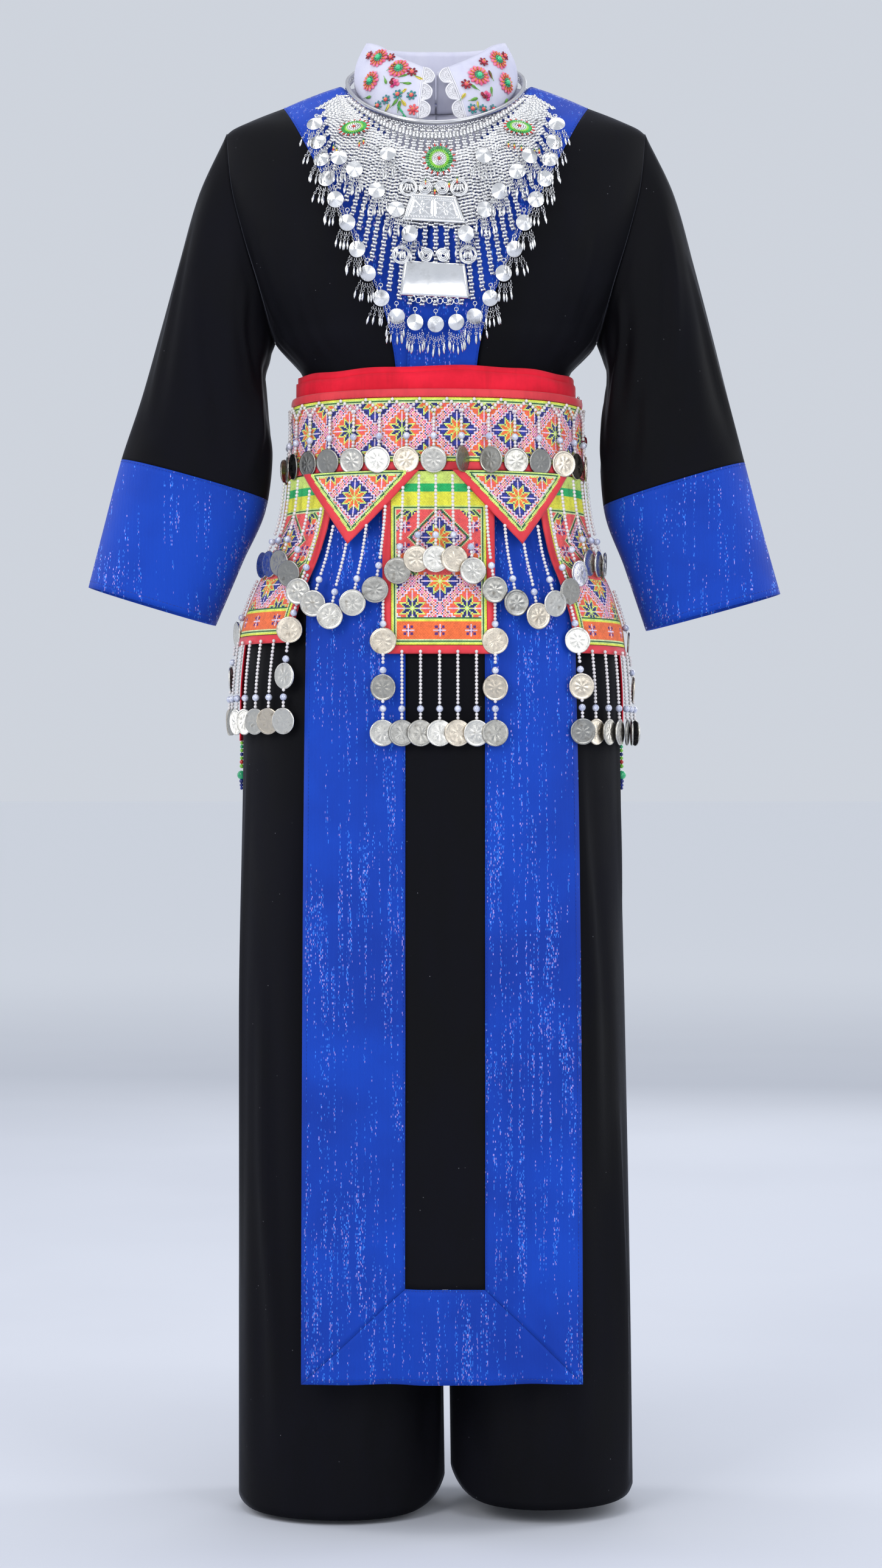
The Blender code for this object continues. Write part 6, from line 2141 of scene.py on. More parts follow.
def add_chain(pile, spoke, start, end, dice):
    """One flat chain of rolled links down the bib from one share of its way to another."""
    share = start
    index = 0
    while share < end:
        point = bib_point(spoke, share, -0.0004)
        below = bib_point(spoke, min(share + 0.02, 1.0), -0.0004)
        along = (below - point).normalized()
        across = along.cross(torso_normal(point)).normalized()
        nudge = across * (0.0005 if index % 2 else -0.0005) + along * dice.uniform(-0.0002, 0.0002)
        tilt = along * dice.uniform(-0.10, 0.10)
        add_link(pile, point + nudge, (across + tilt).normalized(), along, 0.0050, 0.00125)
        index += 1
        gap = (bib_point(spoke, min(share + 0.01, 1.0)) - bib_point(spoke, share)).length / 0.01
        share += LINK_PITCH / max(gap, 0.02)


def build_bib():
    dice = Random(5)
    pile = Pile("silver")
    for spoke in steps(-1.0, 1.0, LONG_CHAINS):
        add_chain(pile, spoke, 0.02, 0.99, dice)
    for index in range(LONG_CHAINS):
        spoke = mix(-1.0, 1.0, (index + 0.5) / LONG_CHAINS)
        add_chain(pile, spoke, 0.16, mix(0.80, 0.56, 1.0 - abs(spoke)), dice)
    pile.piece("rolled_link_bib", ["necklace_bib"])
    pile = Pile("silver")
    for index, spoke in enumerate(steps(-0.86, 0.86, 60)):
        point = bib_point(spoke, 0.065, 0.0030 + 0.0006 * (index % 2))
        below = bib_point(spoke, 0.085, 0.0030)
        along = (below - point).normalized()
        pile.add(*barrel(point, along, 0.0034, 0.0030, 0.0015, 0.0007, 8))
    for share in steps(-1.0, 1.0, 90):
        along = 0.34 + 0.05 * cos(share * 9.0)
        pile.add(*ball(bib_point(share, along, 0.0018), 0.0012, sides=6, rings=3))
    pile.piece("hanging_rods")


def plate_relief(across, up):
    """The height of the embossed plate: a border, two crossed star panels and small bosses."""
    edge = min(1.0 - abs(across), up, 1.0 - up)
    border = 1.0 if 0.05 < edge < 0.11 else 0.0
    bead = 0.8 * max(0.0, cos(70.0 * across)) if 0.12 < edge < 0.17 else 0.0
    if edge < 0.18:
        return 0.00034 * max(border, bead)
    x = (abs(across) - 0.43) / 0.37
    y = (up - 0.5) / 0.31
    far = hypot(x, y)
    turn = atan2(y, x)
    cross = exp(-((abs(x) - abs(y)) / 0.09) ** 2)
    frame = exp(-((max(abs(x), abs(y)) - 1.0) / 0.07) ** 2)
    petal = exp(-((far - 0.55 * abs(cos(2.0 * turn))) / 0.07) ** 2)
    boss = exp(-(far / 0.12) ** 2)
    dots = exp(-((hypot(abs(x) - 0.72, y) if abs(x) > abs(y) else hypot(x, abs(y) - 0.72)) / 0.10) ** 2)
    return 0.00042 * min(max(cross, frame, petal, boss, dots), 1.0)


def build_plates():
    for (name, top, bottom, top_half, bottom_half, middle, seat), fancy in zip(PLATES, (True, False)):
        columns, rows = (120, 52) if fancy else (24, 12)

        def spot(u, v, out):
            lean = 0.0016 * u
            return on_chest(middle + mix(top_half, bottom_half, v) * u, mix(top, bottom, v) - lean, seat + out)

        points = []
        for row in range(rows + 1):
            v = row / rows
            line = []
            for column in range(columns + 1):
                u = mix(-1.0, 1.0, column / columns)
                edge = min(1.0 - abs(u), v, 1.0 - v)
                high = PLATE_THICK - 0.0005 * (1.0 - rise(edge, 0.0, 0.03))
                line.append(spot(u, v, high + (plate_relief(u, 1.0 - v) if fancy else 0.0)))
            points.append(line)
        normals = [[torso_normal(point) for point in line] for line in points]
        pile = Pile("silver" if fancy else "bright")
        pile.add(*outward(*sheet_mesh(points, normals, PLATE_THICK * 0.8, False)))
        add_fittings(pile, middle, top, top_half, seat)
        if not fancy:
            for index in range(9):
                point = spot(mix(-0.62, 0.62, index / 8), 1.0, 0.0008) - UP * (0.0026 + 0.0012 * (index % 2))
                outward_way, side, _ = chest_frame(point)
                add_torus(pile, point, outward_way + side * (0.5 if index % 2 else -0.5), 0.0027, 0.00055)
        pile.piece("embossed_lock_plate" if fancy else "plain_lock_plate", [name])


def add_fittings(pile, middle, top, top_half, seat):
    """The two spirals and the two open rings with rods in them along a plate's upper edge."""
    for side in (-1.0, 1.0):
        x = middle + side * 0.0078
        points = []
        for index in range(64):
            turn = 0.35 * index
            far = 0.0010 + 0.0056 * index / 63
            spot = on_chest(x + side * far * cos(turn), top + 0.0062 + far * sin(turn), 0.0)
            points.append(spot + torso_normal(spot) * (seat + 0.0032 - 0.0012 * index / 63))
        pile.add(*tube(points, 0.00085, 6))
        x = middle + side * (top_half + 0.0030)
        for radius in (0.0078, 0.0064):
            points = [on_chest(x + radius * cos(turn), top + 0.0068 + radius * sin(turn), seat + 0.0020)
                      for turn in circle(36)]
            pile.add(*tube(points, 0.00085, 6, True))
        for index in range(4):
            point = on_chest(x - 0.0036 + 0.0024 * index, top + 0.0068, seat + 0.0026)
            _, across, up = chest_frame(point)
            lean = (up + across * (0.5 - 0.3 * index)).normalized()
            pile.add(*barrel(point, lean, 0.0034, 0.0030, 0.0011, 0.0006, 7))


ROSETTE_BALLS = ((0.0, 1, 0.0016), (0.0030, 9, 0.0010), (0.0052, 16, 0.0009), (0.0068, 24, 0.0006))


def build_rosettes():
    for name, x, z, wide, seat in ROSETTES:
        flat = 1.0 if name == "rosette_centre" else 0.52
        lean = 0.0 if flat == 1.0 else copysign(0.16, x)
        pile = Pile("lime", "silver", "red", "grass", "orange", "white_bead")

        def spot(radius, turn, out):
            side, up = radius * cos(turn), radius * sin(turn) * flat
            return on_chest(x + side * cos(lean) + up * sin(lean),
                            z + up * cos(lean) - side * sin(lean), seat + out)

        sides = 60
        vertices = []
        for radius, out in ((0.52, 0.0), (0.52, 0.0012), (0.40, 0.0022), (0.0, 0.0024)):
            vertices += [spot(wide * radius, turn, out) for turn in circle(sides)]
        pile.add(vertices, ring_faces(4, sides)[:-2], 1)
        spikes = 32
        for index in range(spikes):
            turn = tau * (index + 0.5) / spikes
            segments = ((0.42, 0.60, 0), (0.60, 0.80, 3), (0.80, 1.02, 2 if index % 2 else 5))
            for start, end, look in segments:
                line = [spot(wide * share, turn, 0.0026 - 0.0012 * share)
                        for share in (start, (start + end) / 2, end)]
                width = 0.00080 if end < 1.0 else 0.00074
                pile.add(*tube(line, [width, width, width * (1.0 if end < 1.0 else 0.4)], 5), look)
        for radius, count, size in ROSETTE_BALLS:
            for turn in circle(count):
                pile.add(*ball(spot(radius, turn, 0.0032 - 0.1 * radius), size, sides=7, rings=4),
                         2 if count == 1 else 1)
        pile.piece(f"spiked_{name}", [name])


BEAD_DROPS = (
    (-0.0955, -0.078), (-0.0925, -0.081), (-0.0715, -0.075), (-0.0675, -0.073), (-0.0095, -0.113),
    (-0.0008, -0.121), (0.0125, -0.115), (0.0200, -0.111), (0.0680, -0.076), (0.0735, -0.077), (0.0800, -0.079),
    (0.0920, -0.082), (0.0965, -0.081),
)


def build_bead_drops():
    pile = Pile("silver", "green", "yellow", "red")
    for x, z in BEAD_DROPS:
        point = on_chest(x, z, 0.0026)
        down = on_chest(x, z - 0.004, 0.0034) - point
        down.normalize()
        pile.add(*tube([point - down * 0.004, point], 0.0003, 4), 0)
        for index in range(3):
            start = point + down * 0.0024 * index
            pile.add(*barrel(start + down * 0.0012, down, 0.0012, 0.0008, 0.0009, 0.0005, 7), index + 1)
    pile.piece("enamel_bead_drops")


INNER_PENDANTS = (
    # x and z of the disc's middle
    (-0.0445, -0.0903), (-0.0895, -0.0932), (-0.0751, -0.1047), (-0.0544, -0.1247), (-0.0364, -0.1427),
    (-0.0240, -0.1640), (0.0446, -0.0923), (0.0869, -0.0915), (0.0752, -0.1067), (0.0588, -0.1254),
    (0.0455, -0.1427), (0.0280, -0.1640),
)


def add_pendant(pile, x, z, dice, out, cone=0.0042):
    """A ridged cone on a ring, with a row of short chains that end in leaf drops."""
    def at(side, height, away):
        return on_chest(x + side, height, out + PENDANT_SLOPE * (z + DISC / 2.0 + 0.006 - height) + away)

    middle = at(0.0, z, 0.0012)
    outward_way, side, up = chest_frame(middle)
    axis = (outward_way + side * dice.uniform(-0.22, 0.22) - up * dice.uniform(-0.10, 0.24)).normalized()
    profile = [(-0.0008, DISC / 2.0 * 0.92), (0.0, DISC / 2.0)]
    for ridge_index in range(7):
        share = 1.0 - ridge_index / 7.0
        height = cone * (1.0 - share)
        profile.append((height + 0.0004, DISC / 2.0 * (share - 0.03)))
        profile.append((height + 0.0002, DISC / 2.0 * (share - 0.10)))
    pile.add(*turned(middle, axis, profile, 18))
    add_torus(pile, middle + up * (DISC / 2.0 + 0.0016), side, 0.0017, 0.00045, sides=4, count=8)
    add_torus(pile, middle + up * (DISC / 2.0 + 0.0042), outward_way, 0.0019, 0.00045, sides=4, count=8)
    for index, share in enumerate(steps(-1.0, 1.0, 6)):
        start_x = share * DISC * 0.40
        start_z = z - DISC / 2.0 * sqrt(1.0 - (0.80 * share) ** 2) - 0.0006
        swing = dice.uniform(-0.0006, 0.0006)
        depth = 0.0006 + 0.0014 * (index % 2)
        chain = 0.0078 + dice.uniform(-0.0010, 0.0012)
        links = 4
        for step in range(links):
            height = start_z - chain * (step + 0.5) / links
            spot = at(start_x * (1.0 + 0.10 * step) + swing * step, height, depth)
            face = outward_way if step % 2 else side
            add_torus(pile, spot, face, 0.00115, 0.00030, sides=3, count=6)
        top = at(start_x * 1.35 + swing * 4.0, start_z - chain, depth)
        low = at(start_x * 1.50 + swing * 5.0, start_z - chain - 0.0088, depth + 0.0002)
        down = (low - top).normalized()
        pile.add(*turned(top, down, [(0.0, 0.0003), (0.0022, 0.0009), (0.0050, 0.00135), (0.0072, 0.0008),
                                     (0.0090, 0.0001)], 5, side, 0.55))


def build_pendants():
    dice = Random(71)
    pile = Pile("silver")
    for spoke in (*(-spoke for spoke in reversed(OUTER_SPOKES)), 0.0, *OUTER_SPOKES):
        x, root = bib_flat(spoke, 1.0)
        add_pendant(pile, x, root - 0.006 - DISC / 2.0, dice, PENDANT_OUT, 0.0052 if abs(spoke) > 0.5 else 0.0030)
    pile.piece("edge_pendants", ["pendants_outer"])
    for way, name in SIDES:
        pile = Pile("silver")
        for x, z in INNER_PENDANTS:
            if x * way > 0.0:
                add_pendant(pile, x, z, dice, PENDANT_OUT + 0.0016, 0.0048)
        pile.piece(f"inner_pendants_{name}", [f"pendants_{name}"])


def build_necklace():
    build_ring()
    build_bib()
    build_plates()
    build_rosettes()
    build_bead_drops()
    build_pendants()


def collar_stand_point(angle, v):
    low = neck_seam(angle) + UP * COLLAR_SEAT
    return low.lerp(collar_fold(angle), 1.0 - v)


def collar_leaf_point(angle, v, out=0.0):
    """A point on the turned-down leaf: angle from the front, v from the fold to the edge."""
    away = away_at(angle)
    high = collar_fold(angle) + away * (FINE_CLOTH + 2.0 * SEAM)
    return high.lerp(leaf_edge(angle), v) + away * (0.004 * sin(pi * min(max(v, 0.0), 1.0)) + out)


def leaf_frame(angle, v):
    """Outward, sideways and upward directions on the leaf."""
    here = collar_leaf_point(angle, v)
    side = (collar_leaf_point(angle + 0.01, v) - here).normalized()
    up = (collar_leaf_point(angle, v - 0.02) - here).normalized()
    outward_way = side.cross(up).normalized()
    if outward_way.dot(Vector((here.x, here.y, 0.0))) < 0.0:
        outward_way = -outward_way
    up = (up - outward_way * up.dot(outward_way)).normalized()
    return outward_way, side, (up - side * up.dot(side)).normalized()


def front_angle(way, v):
    low, high = LEAF_LEFT if way < 0.0 else LEAF_RIGHT
    return way * radians(mix(low, high, v))


BLOSSOMS = (
    # angle in degrees, share down the leaf, radius of the whole flower
    (-49.3, 0.17, 0.0104), (-29.2, 0.19, 0.0108), (-52.7, 0.575, 0.0106), (54.4, 0.24, 0.0104),
    (33.0, 0.34, 0.0112), (58.8, 0.66, 0.0110),
)

STARS = (
    # angle in degrees, share down the leaf, radius, look of the petals
    (-61.2, 0.20, 0.0050, 7), (-38.0, 0.07, 0.0050, 7), (-18.3, 0.18, 0.0056, 7), (39.2, 0.16, 0.0052, 7),
    (64.2, 0.225, 0.0050, 7), (22.1, 0.425, 0.0058, 7), (-43.9, 0.90, 0.0052, 9), (-36.6, 0.76, 0.0052, 9),
    (-27.2, 0.62, 0.0054, 9), (-17.0, 0.60, 0.0054, 9), (25.9, 0.85, 0.0054, 9), (34.5, 0.90, 0.0052, 9),
    (43.4, 0.95, 0.0050, 9), (-15.6, 0.85, 0.0060, 6),
)

ROSES = (
    # angle in degrees, share down the leaf
    (-31.2, 0.45), (37.0, 0.70),
)

LEAVES = (
    # angle in degrees, share down the leaf, turn in degrees, length, look
    (-12.6, 0.25, -12.0, 0.0090, 11), (-23.1, 0.55, 60.0, 0.0080, 11), (-35.4, 0.88, 80.0, 0.0080, 11),
    (-22.7, 0.74, -40.0, 0.0090, 11), (19.4, 0.62, 42.0, 0.0085, 11), (30.1, 0.80, 70.0, 0.0070, 11),
    (-20.9, 0.40, 10.0, 0.0090, 10), (-54.3, 0.85, 30.0, 0.0085, 10), (-38.3, 0.47, -40.0, 0.0075, 10),
    (27.3, 0.70, 5.0, 0.0090, 10), (42.2, 0.65, 60.0, 0.0080, 10), (58.0, 0.95, 12.0, 0.0080, 10),
    (-29.2, 0.76, 70.0, 0.0090, 10), (-26.0, 0.80, 100.0, 0.0100, 10), (-35.0, 0.20, 80.0, 0.0090, 7),
    (43.0, 0.40, 75.0, 0.0095, 7), (-24.0, 0.28, 40.0, 0.0075, 10), (28.0, 0.50, 120.0, 0.0080, 10),
)


def on_cloth(angle, v):
    """A function from sideways, upward and outward distances to a point on the leaf's cloth, and its outward way."""
    outward_way, side, up = leaf_frame(angle, v)
    middle = collar_leaf_point(angle, v)

    def spot(across, along, out):
        bend = 0.5 * (across * across) / 0.085
        return middle + side * across + up * along + outward_way * (out - bend)

    return spot, outward_way


def on_ray(spot, turn, far, out):
    return spot(cos(turn) * far, sin(turn) * far, out)


def add_petal(pile, spot, turn, start, end, width, look, out=0.0006, flat=0.35):
    """A satin-stitched petal from one radius to another, rounded at its ends."""
    first, last = on_ray(spot, turn, start, out), on_ray(spot, turn, end, out)
    away = spot(0.0, 0.0, 1.0) - spot(0.0, 0.0, 0.0)
    axis = last - first
    length = axis.length
    side = axis.cross(away).normalized()
    pile.add(*turned(first, axis, [(0.0, width * 0.15), (length * 0.22, width * 0.62), (length * 0.62, width),
                                   (length * 0.88, width * 0.72), (length, width * 0.12)], 6, side, flat), look)


def add_blossom(pile, angle, v, radius):
    spot, away = on_cloth(radians(angle), v)
    for index in range(13):
        add_petal(pile, spot, tau * index / 13, radius * 0.35, radius * (0.98 + 0.05 * (index % 2)),
                  radius * 0.21, 1)
    for index in range(13):
        turn = tau * (index + 0.5) / 13
        for share, look in ((0.80, 2), (0.66, 3), (0.53, 2)):
            pile.add(*ball(on_ray(spot, turn, radius * share, 0.0018), 0.00075, away, 5, 3), look)
    for turn in circle(12):
        pile.add(*ball(on_ray(spot, turn, radius * 0.37, 0.0020), 0.00085, away, 5, 3), 4)
    pile.add(*ball(spot(0.0, 0.0, 0.0018), radius * 0.27, away, 12, 6), 5)


def add_star(pile, angle, v, radius, look):
    spot, away = on_cloth(radians(angle), v)
    for index in range(7):
        turn = tau * index / 7 + angle
        add_petal(pile, spot, turn, radius * 0.25, radius, radius * 0.24, look, 0.0010, 0.5)
    pile.add(*ball(spot(0.0, 0.0, 0.0012), radius * 0.42, away, 9, 5), 6)
    pile.add(*ball(spot(0.0, 0.0, 0.0012 + radius * 0.40), 0.0008, away, 6, 4), 3)


def add_rose(pile, angle, v):
    spot = on_cloth(radians(angle), v)[0]
    for index in range(9):
        turn = 2.4 * index
        add_petal(pile, spot, turn, 0.0006 * (9 - index) / 3.0, 0.0066 - 0.00045 * index, 0.0024 - 0.0001 * index,
                  (1, 7, 8)[index % 3], 0.0005 + 0.00018 * index, 0.35)


LACE_SCALLOPS = 3


def build_lace():
    """Scalloped lace along the leaf's two front edges."""
    pile = Pile("lace")
    for way, _ in SIDES:
        for index in range(LACE_SCALLOPS):
            top, low = (index + 0.04) / LACE_SCALLOPS, (index + 0.99) / LACE_SCALLOPS
            middle = (top + low) / 2.0
            outward_way, side, up = leaf_frame(front_angle(way, middle), middle)
            start = collar_leaf_point(front_angle(way, top), top)
            end = collar_leaf_point(front_angle(way, low), low)
            centre = (start + end) / 2.0
            half = (end - start) / 2.0
            reach = half.cross(outward_way).normalized()
            if reach.x * way > 0.0:
                reach = -reach

            def spot(share, turn, out):
                wave = 0.0006 * sin(5.0 * turn)
                return (centre + half * cos(turn) * share + reach * 0.0100 * sin(turn) * share
                        + outward_way * (out + wave * share))

            turns = steps(0.0, pi, 18)
            points = [[spot(share, turn, -0.0004) for turn in turns] for share in (0.02, 0.35, 0.70, 1.0)]
            normals = [[outward_way for _ in turns] for _ in points]
            pile.add(*outward(*sheet_mesh(points, normals, 0.0005, False)))
            for share, thick in ((1.0, 0.00085), (0.84, 0.0004), (0.50, 0.00045), (0.30, 0.0004)):
                pile.add(*tube([spot(share, turn, 0.0) for turn in turns], thick, 6))
            for spoke in range(9):
                turn = pi * (spoke + 0.5) / 9
                pile.add(*tube([spot(share, turn, 0.0) for share in (0.30, 0.56, 0.84)], 0.00035, 5))
        for line in (0.0, 0.0016):
            edge = []
            for v in shares(24):
                angle = front_angle(way, v) + way * line / 0.075
                edge.append(collar_leaf_point(angle, v, 0.0004))
            pile.add(*tube(edge, 0.0006, 6))
    pile.piece("scalloped_lace")


def build_collar():
    turns = steps(-COLLAR_OPEN, -tau + COLLAR_OPEN, 160)
    cloth("collar_standing_band", collar_stand_point, turns, shares(10), FINE_CLOTH, "cotton",
          ["collar_stand"])

    def leaf(u, v):
        angle = mix(front_angle(-1.0, v), front_angle(1.0, v) - tau, u)
        return collar_leaf_point(angle, v, 0.0004 * sin(23.0 * u + 3.0 * v))

    cloth("collar_turned_leaf", leaf, shares(140), shares(14), FINE_CLOTH, "cotton",
          ["collar_leaf"])
    build_lace()
    pile = Pile("cotton", "pink", "orange", "gold", "emerald", "green_pearl", "coral_bead", "plum", "rose", "teal",
                "leaf", "yellow", "white_bead")
    for blossom in BLOSSOMS:
        add_blossom(pile, *blossom)
    for star in STARS:
        add_star(pile, *star)
    for rose in ROSES:
        add_rose(pile, *rose)
    for angle, v, turn, length, look in LEAVES:
        spot = on_cloth(radians(angle), v)[0]
        add_petal(pile, spot, radians(turn), -length / 2.0, length / 2.0, length * 0.19, look, 0.0007)
        stem = [on_ray(spot, radians(turn), length * far, 0.0013) for far in (-0.8, -0.5, 0.0, 0.35)]
        pile.add(*tube(stem, 0.0003, 5), 10)
    for row in range(3):
        for index in range(6):
            spot, away = on_cloth(radians(-27.0 + 2.4 * row), 0.80 + 0.05 * row)
            pile.add(*ball(spot(0.0014 * index, -0.0010 * index - 0.0016 * row, 0.0010), 0.0008, away, 7, 5), 4)
    pile.piece("collar_flowers")


def build_blouse():
    for way, name in SIDES:
        def place(u, v):
            angle = u * pi / 2.0
            x0 = way * (SEAM / 2.0 + NECK_HALF * sin(angle))
            z0 = mix(NECK_FRONT_Z, ridge(NECK_HALF), 1.0 - cos(angle))
            edge = mix(BLOUSE_LOW, LAPEL_TOP, u)
            x1 = max(LAPEL["inner_x"](edge) + 0.012 * u, SEAM / 2.0)
            z1 = min(LAPEL["inner_z"](edge) - 0.012, ridge(x1)) if u < 1.0 else ridge(x1)
            turn = mix(torso_angle(x0, z0), torso_angle(way * x1, z1), v)
            return torso_at(turn, mix(z0, z1, v), -blouse_depth(u))

        cloth(f"cotton_front_{name}", place, shares(28), shares(22), FINE_CLOTH, "cotton",
              [f"blouse_front_{name}"])

    def back(u, v):
        angle = pi - abs(u) * pi / 2.0
        x0 = NECK_HALF * sin(angle)
        z0 = mix(NECK_BACK_Z, ridge(NECK_HALF), 1.0 + cos(angle))
        x1, z1 = back_band_edge(abs(u), False)
        x1, z1 = x1 * 1.12, z1 - 0.014
        z1 = ridge(x1) if abs(u) == 1.0 else min(z1, ridge(x1))
        turn = mix(torso_angle(x0, z0), torso_angle(x1, z1), v)
        return torso_at(copysign(pi - turn, u), mix(z0, z1, v), -blouse_depth(abs(u)))

    cloth("cotton_back", back, steps(-1.0, 1.0, 48), shares(8), FINE_CLOTH, "cotton", ["blouse_back"])


def pale_floor(low):
    """A plain round floor, so wide that its edge lies out of sight."""
    sizes = bpy.context.scene.costume_sizes
    count = 96
    vertices = [(0.0, 0.0, low)]
    for radius in (2.0, 6.0, 18.0, sizes.floor_radius):
        vertices += [(radius * cos(turn), radius * sin(turn), low) for turn in circle(count)]
    faces = [(0, 1 + step, 1 + (step + 1) % count) for step in range(count)]
    for ring in range(3):
        first = 1 + ring * count
        for step in range(count):
            a, b = first + step, first + (step + 1) % count
            faces.append((a, a + count, b + count, b))
    mesh = bpy.data.meshes.new("pale_floor")
    mesh.from_pydata(vertices, [], faces)
    mesh.materials.append(finish("paper"))
    return put("pale_floor", mesh)


def area_light(name, place, aim, size, energy, colour):
    data = bpy.data.lights.new(name, "AREA")
    data.shape = "RECTANGLE"
    data.size, data.size_y = size
    data.energy = energy
    data.color = colour
    thing = put(name, data)
    thing.location = place
    thing.rotation_euler = (Vector(aim) - Vector(place)).to_track_quat("-Z", "Y").to_euler()
    thing.visible_camera = False


def build_camera():
    sizes = bpy.context.scene.costume_sizes
    data = bpy.data.cameras.new("photo_camera")
    data.sensor_fit = "AUTO"
    data.sensor_width = 36.0
    data.lens = 69.9
    data.clip_start = 0.05
    data.clip_end = 400.0
    camera = put("photo_camera", data)
    camera.location = (0.005, -sizes.camera_distance, -0.683)
    camera.rotation_euler = (pi / 2.0, 0.0, 0.0)
    bpy.context.scene.camera = camera


LIGHTS = (
    # name, place, aim, size, energy, colour
    ("key_softbox", (-1.9, -2.6, 1.0), (0.0, 0.0, -0.5), (1.5, 1.9), 40.0, (1.0, 0.985, 0.97)),
    ("fill_softbox", (2.1, -2.5, 0.6), (0.0, 0.0, -0.6), (1.4, 1.9), 25.0, (0.97, 0.985, 1.0)),
    ("low_softbox", (0.0, -2.9, -1.0), (0.0, 0.0, -1.0), (2.0, 0.7), 9.0, (1.0, 1.0, 1.0)),
    ("top_softbox", (0.0, -0.2, 1.9), (0.0, 0.1, -0.4), (2.2, 1.4), 17.0, (1.0, 1.0, 1.0)),
    ("left_rim", (-2.3, 0.7, 0.1), (0.0, 0.0, -0.7), (0.7, 2.0), 15.0, (1.0, 1.0, 1.0)),
    ("right_rim", (2.3, 0.7, 0.1), (0.0, 0.0, -0.7), (0.7, 2.0), 15.0, (1.0, 1.0, 1.0)),
    ("back_softbox", (0.5, 3.4, 0.7), (0.0, 0.0, -0.6), (2.4, 2.2), 26.0, (1.0, 1.0, 1.0)),
)


def build_stage():
    bpy.context.scene.view_settings.view_transform = "Standard"
    bpy.context.scene.world = bpy.context.scene.world or bpy.data.worlds.new("studio")
    world = bpy.context.scene.world
    world.use_nodes = True
    ambient = world.node_tree.nodes["Background"]
    ambient.inputs["Color"].default_value = (0.86, 0.91, 1.0, 1.0)
    ambient.inputs["Strength"].default_value = 0.72
    pale_floor(bpy.context.scene.costume_sizes.floor_height)
    for light in LIGHTS:
        area_light(*light)


class CostumeSizes(bpy.types.PropertyGroup):
    """Sizes that the costume's fine pieces are built by."""

    crease_share: bpy.props.FloatProperty(
        name="Crease height", description="Share of the hand-placed creases' own height", default=1.5,
        min=0.0, max=2.0, subtype="FACTOR")
    stitch_pitch: bpy.props.FloatProperty(
        name="Stitch pitch", description="Distance between cross stitches", default=0.0013,
        unit="LENGTH")
    camera_distance: bpy.props.FloatProperty(
        name="Camera distance", description="Distance of the camera from the costume's middle",
        default=3.0, unit="LENGTH")
    floor_height: bpy.props.FloatProperty(
        name="Floor height", description="Height of the floor below the shoulders", default=-1.392,
        unit="LENGTH")
    floor_radius: bpy.props.FloatProperty(
        name="Floor radius", description="Radius of the pale floor", default=120.0, unit="LENGTH")


class CostumeColours(bpy.types.PropertyGroup):
    """The costume's main cloth colours."""

    glitter_blue: bpy.props.FloatVectorProperty(
        name="Glitter blue", description="Ground colour of the glitter cloth",
        default=(0.002, 0.068, 0.560), size=3, subtype="COLOR")
    sash_red: bpy.props.FloatVectorProperty(
        name="Sash red", description="Colour of the sash", default=(0.920, 0.006, 0.034), size=3,
        subtype="COLOR")
    velvet_black: bpy.props.FloatVectorProperty(
        name="Velvet black", description="Colour of the velvet's pile",
        default=(0.0018, 0.0018, 0.0030), size=3, subtype="COLOR")


class COSTUME_OT_camera(bpy.types.Operator):
    """Place the camera at the photo's angle"""

    bl_idname = "costume.camera"
    bl_label = "Camera"

    def execute(self, context):
        build_camera()
        return {"FINISHED"}


class COSTUME_OT_jacket(bpy.types.Operator):
    """Build the velvet bodice with its glitter lapels and neck band"""

    bl_idname = "costume.jacket"
    bl_label = "Jacket"

    def execute(self, context):
        build_jacket()
        return {"FINISHED"}


class COSTUME_OT_sleeves(bpy.types.Operator):
    """Build the sleeves and cuffs"""

    bl_idname = "costume.sleeves"
    bl_label = "Sleeves"

    def execute(self, context):
        build_sleeves()
        return {"FINISHED"}


class COSTUME_OT_trousers(bpy.types.Operator):
    """Build the wide velvet trousers"""

    bl_idname = "costume.trousers"
    bl_label = "Trousers"

    def execute(self, context):
        build_trousers()
        return {"FINISHED"}


class COSTUME_OT_apron(bpy.types.Operator):
    """Build the apron and its mitred border"""

    bl_idname = "costume.apron"
    bl_label = "Apron"

    def execute(self, context):
        build_apron()
        return {"FINISHED"}


class COSTUME_OT_sash(bpy.types.Operator):
    """Build the sash's two turns and its tails"""

    bl_idname = "costume.sash"
    bl_label = "Sash"

    def execute(self, context):
        build_sash()
        return {"FINISHED"}


class COSTUME_OT_belt(bpy.types.Operator):
    """Build the stitched belt with its panels, triangles and bindings"""

    bl_idname = "costume.belt"
    bl_label = "Belt"

    def execute(self, context):
        build_belt()
        return {"FINISHED"}


class COSTUME_OT_coins(bpy.types.Operator):
    """Hang the strings of pearls, crystal beads and coins"""

    bl_idname = "costume.coins"
    bl_label = "Coin strings"

    def execute(self, context):
        build_coins()
        return {"FINISHED"}


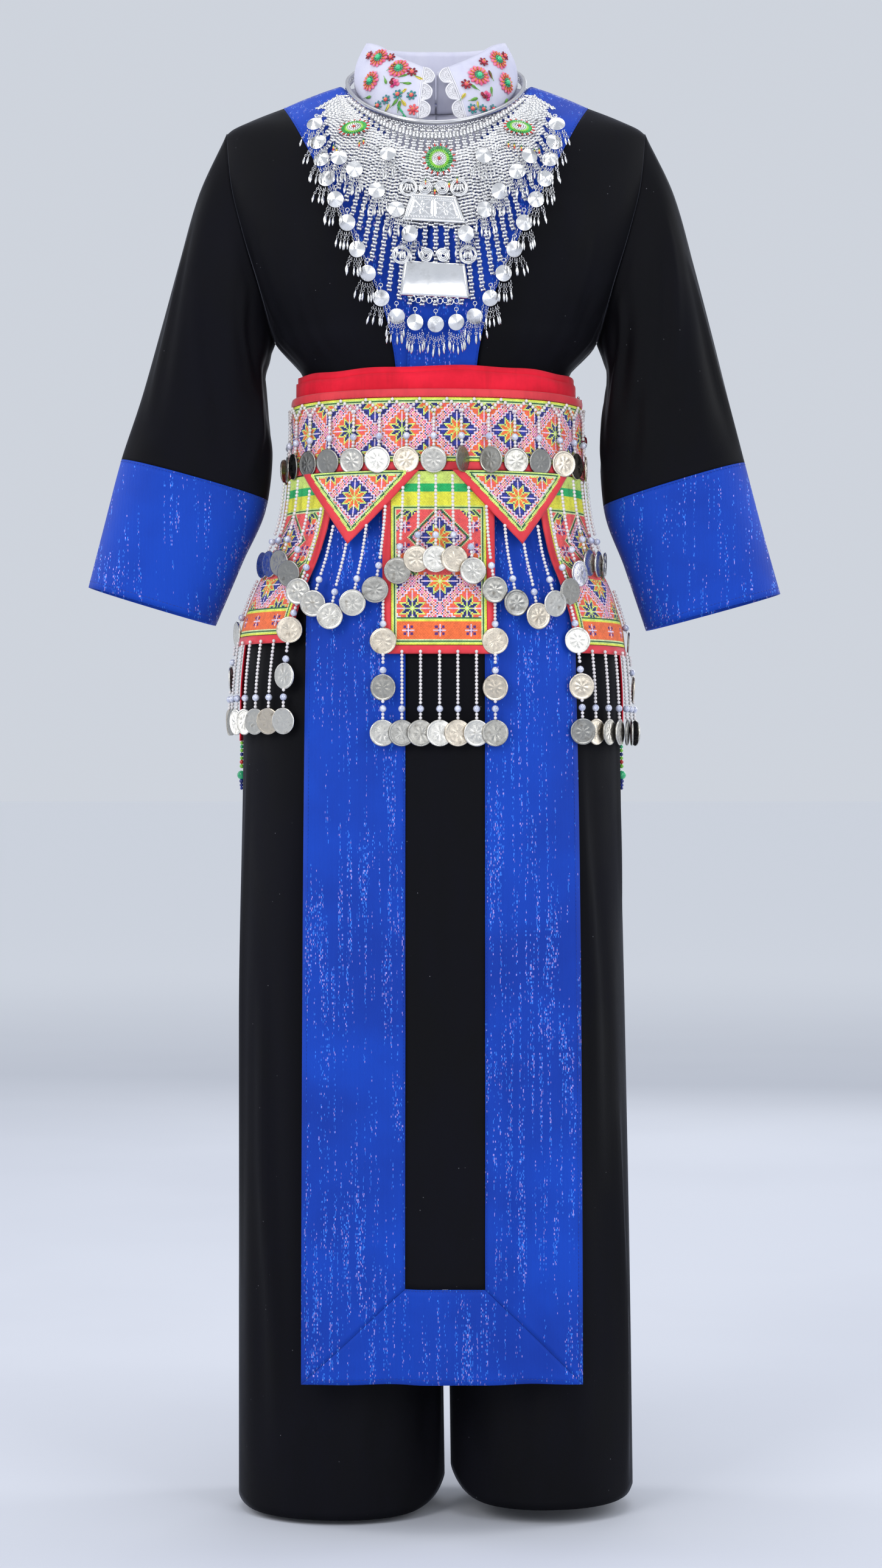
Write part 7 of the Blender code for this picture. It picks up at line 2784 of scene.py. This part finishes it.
class COSTUME_OT_collar(bpy.types.Operator):
    """Build the blouse that shows at the neck and its flowered collar"""

    bl_idname = "costume.collar"
    bl_label = "Collar"

    def execute(self, context):
        build_blouse()
        build_collar()
        return {"FINISHED"}


class COSTUME_OT_necklace(bpy.types.Operator):
    """Build the silver necklace"""

    bl_idname = "costume.necklace"
    bl_label = "Necklace"

    def execute(self, context):
        build_necklace()
        return {"FINISHED"}


class COSTUME_OT_stage(bpy.types.Operator):
    """Build the pale floor and the soft lights"""

    bl_idname = "costume.stage"
    bl_label = "Studio"

    def execute(self, context):
        build_stage()
        return {"FINISHED"}


OPERATORS = (
    COSTUME_OT_camera,
    COSTUME_OT_jacket,
    COSTUME_OT_sleeves,
    COSTUME_OT_trousers,
    COSTUME_OT_apron,
    COSTUME_OT_sash,
    COSTUME_OT_belt,
    COSTUME_OT_coins,
    COSTUME_OT_collar,
    COSTUME_OT_necklace,
    COSTUME_OT_stage,
)


class COSTUME_PT_panel(bpy.types.Panel):
    """The costume's sizes, colours and builders"""

    bl_idname = "COSTUME_PT_panel"
    bl_label = "Costume"
    bl_space_type = "VIEW_3D"
    bl_region_type = "UI"
    bl_category = "Costume"

    def draw(self, context):
        layout = self.layout
        for group in (context.scene.costume_sizes, context.scene.costume_colours):
            for name in group.__annotations__:
                layout.prop(group, name)
        for operator in OPERATORS:
            layout.operator(operator.bl_idname)


CLASSES = (CostumeSizes, CostumeColours, *OPERATORS, COSTUME_PT_panel)


def register():
    for each in CLASSES:
        bpy.utils.register_class(each)
    bpy.types.Scene.costume_sizes = bpy.props.PointerProperty(type=CostumeSizes)
    bpy.types.Scene.costume_colours = bpy.props.PointerProperty(type=CostumeColours)


def unregister():
    del bpy.types.Scene.costume_colours
    del bpy.types.Scene.costume_sizes
    for each in reversed(CLASSES):
        bpy.utils.unregister_class(each)


def main():
    register()
    for operator in OPERATORS:
        group, name = operator.bl_idname.split(".")
        result = getattr(getattr(bpy.ops, group), name)()
        if result != {"FINISHED"}:
            raise RuntimeError(f"{operator.bl_idname} did not finish")


if __name__ == "__main__":
    main()
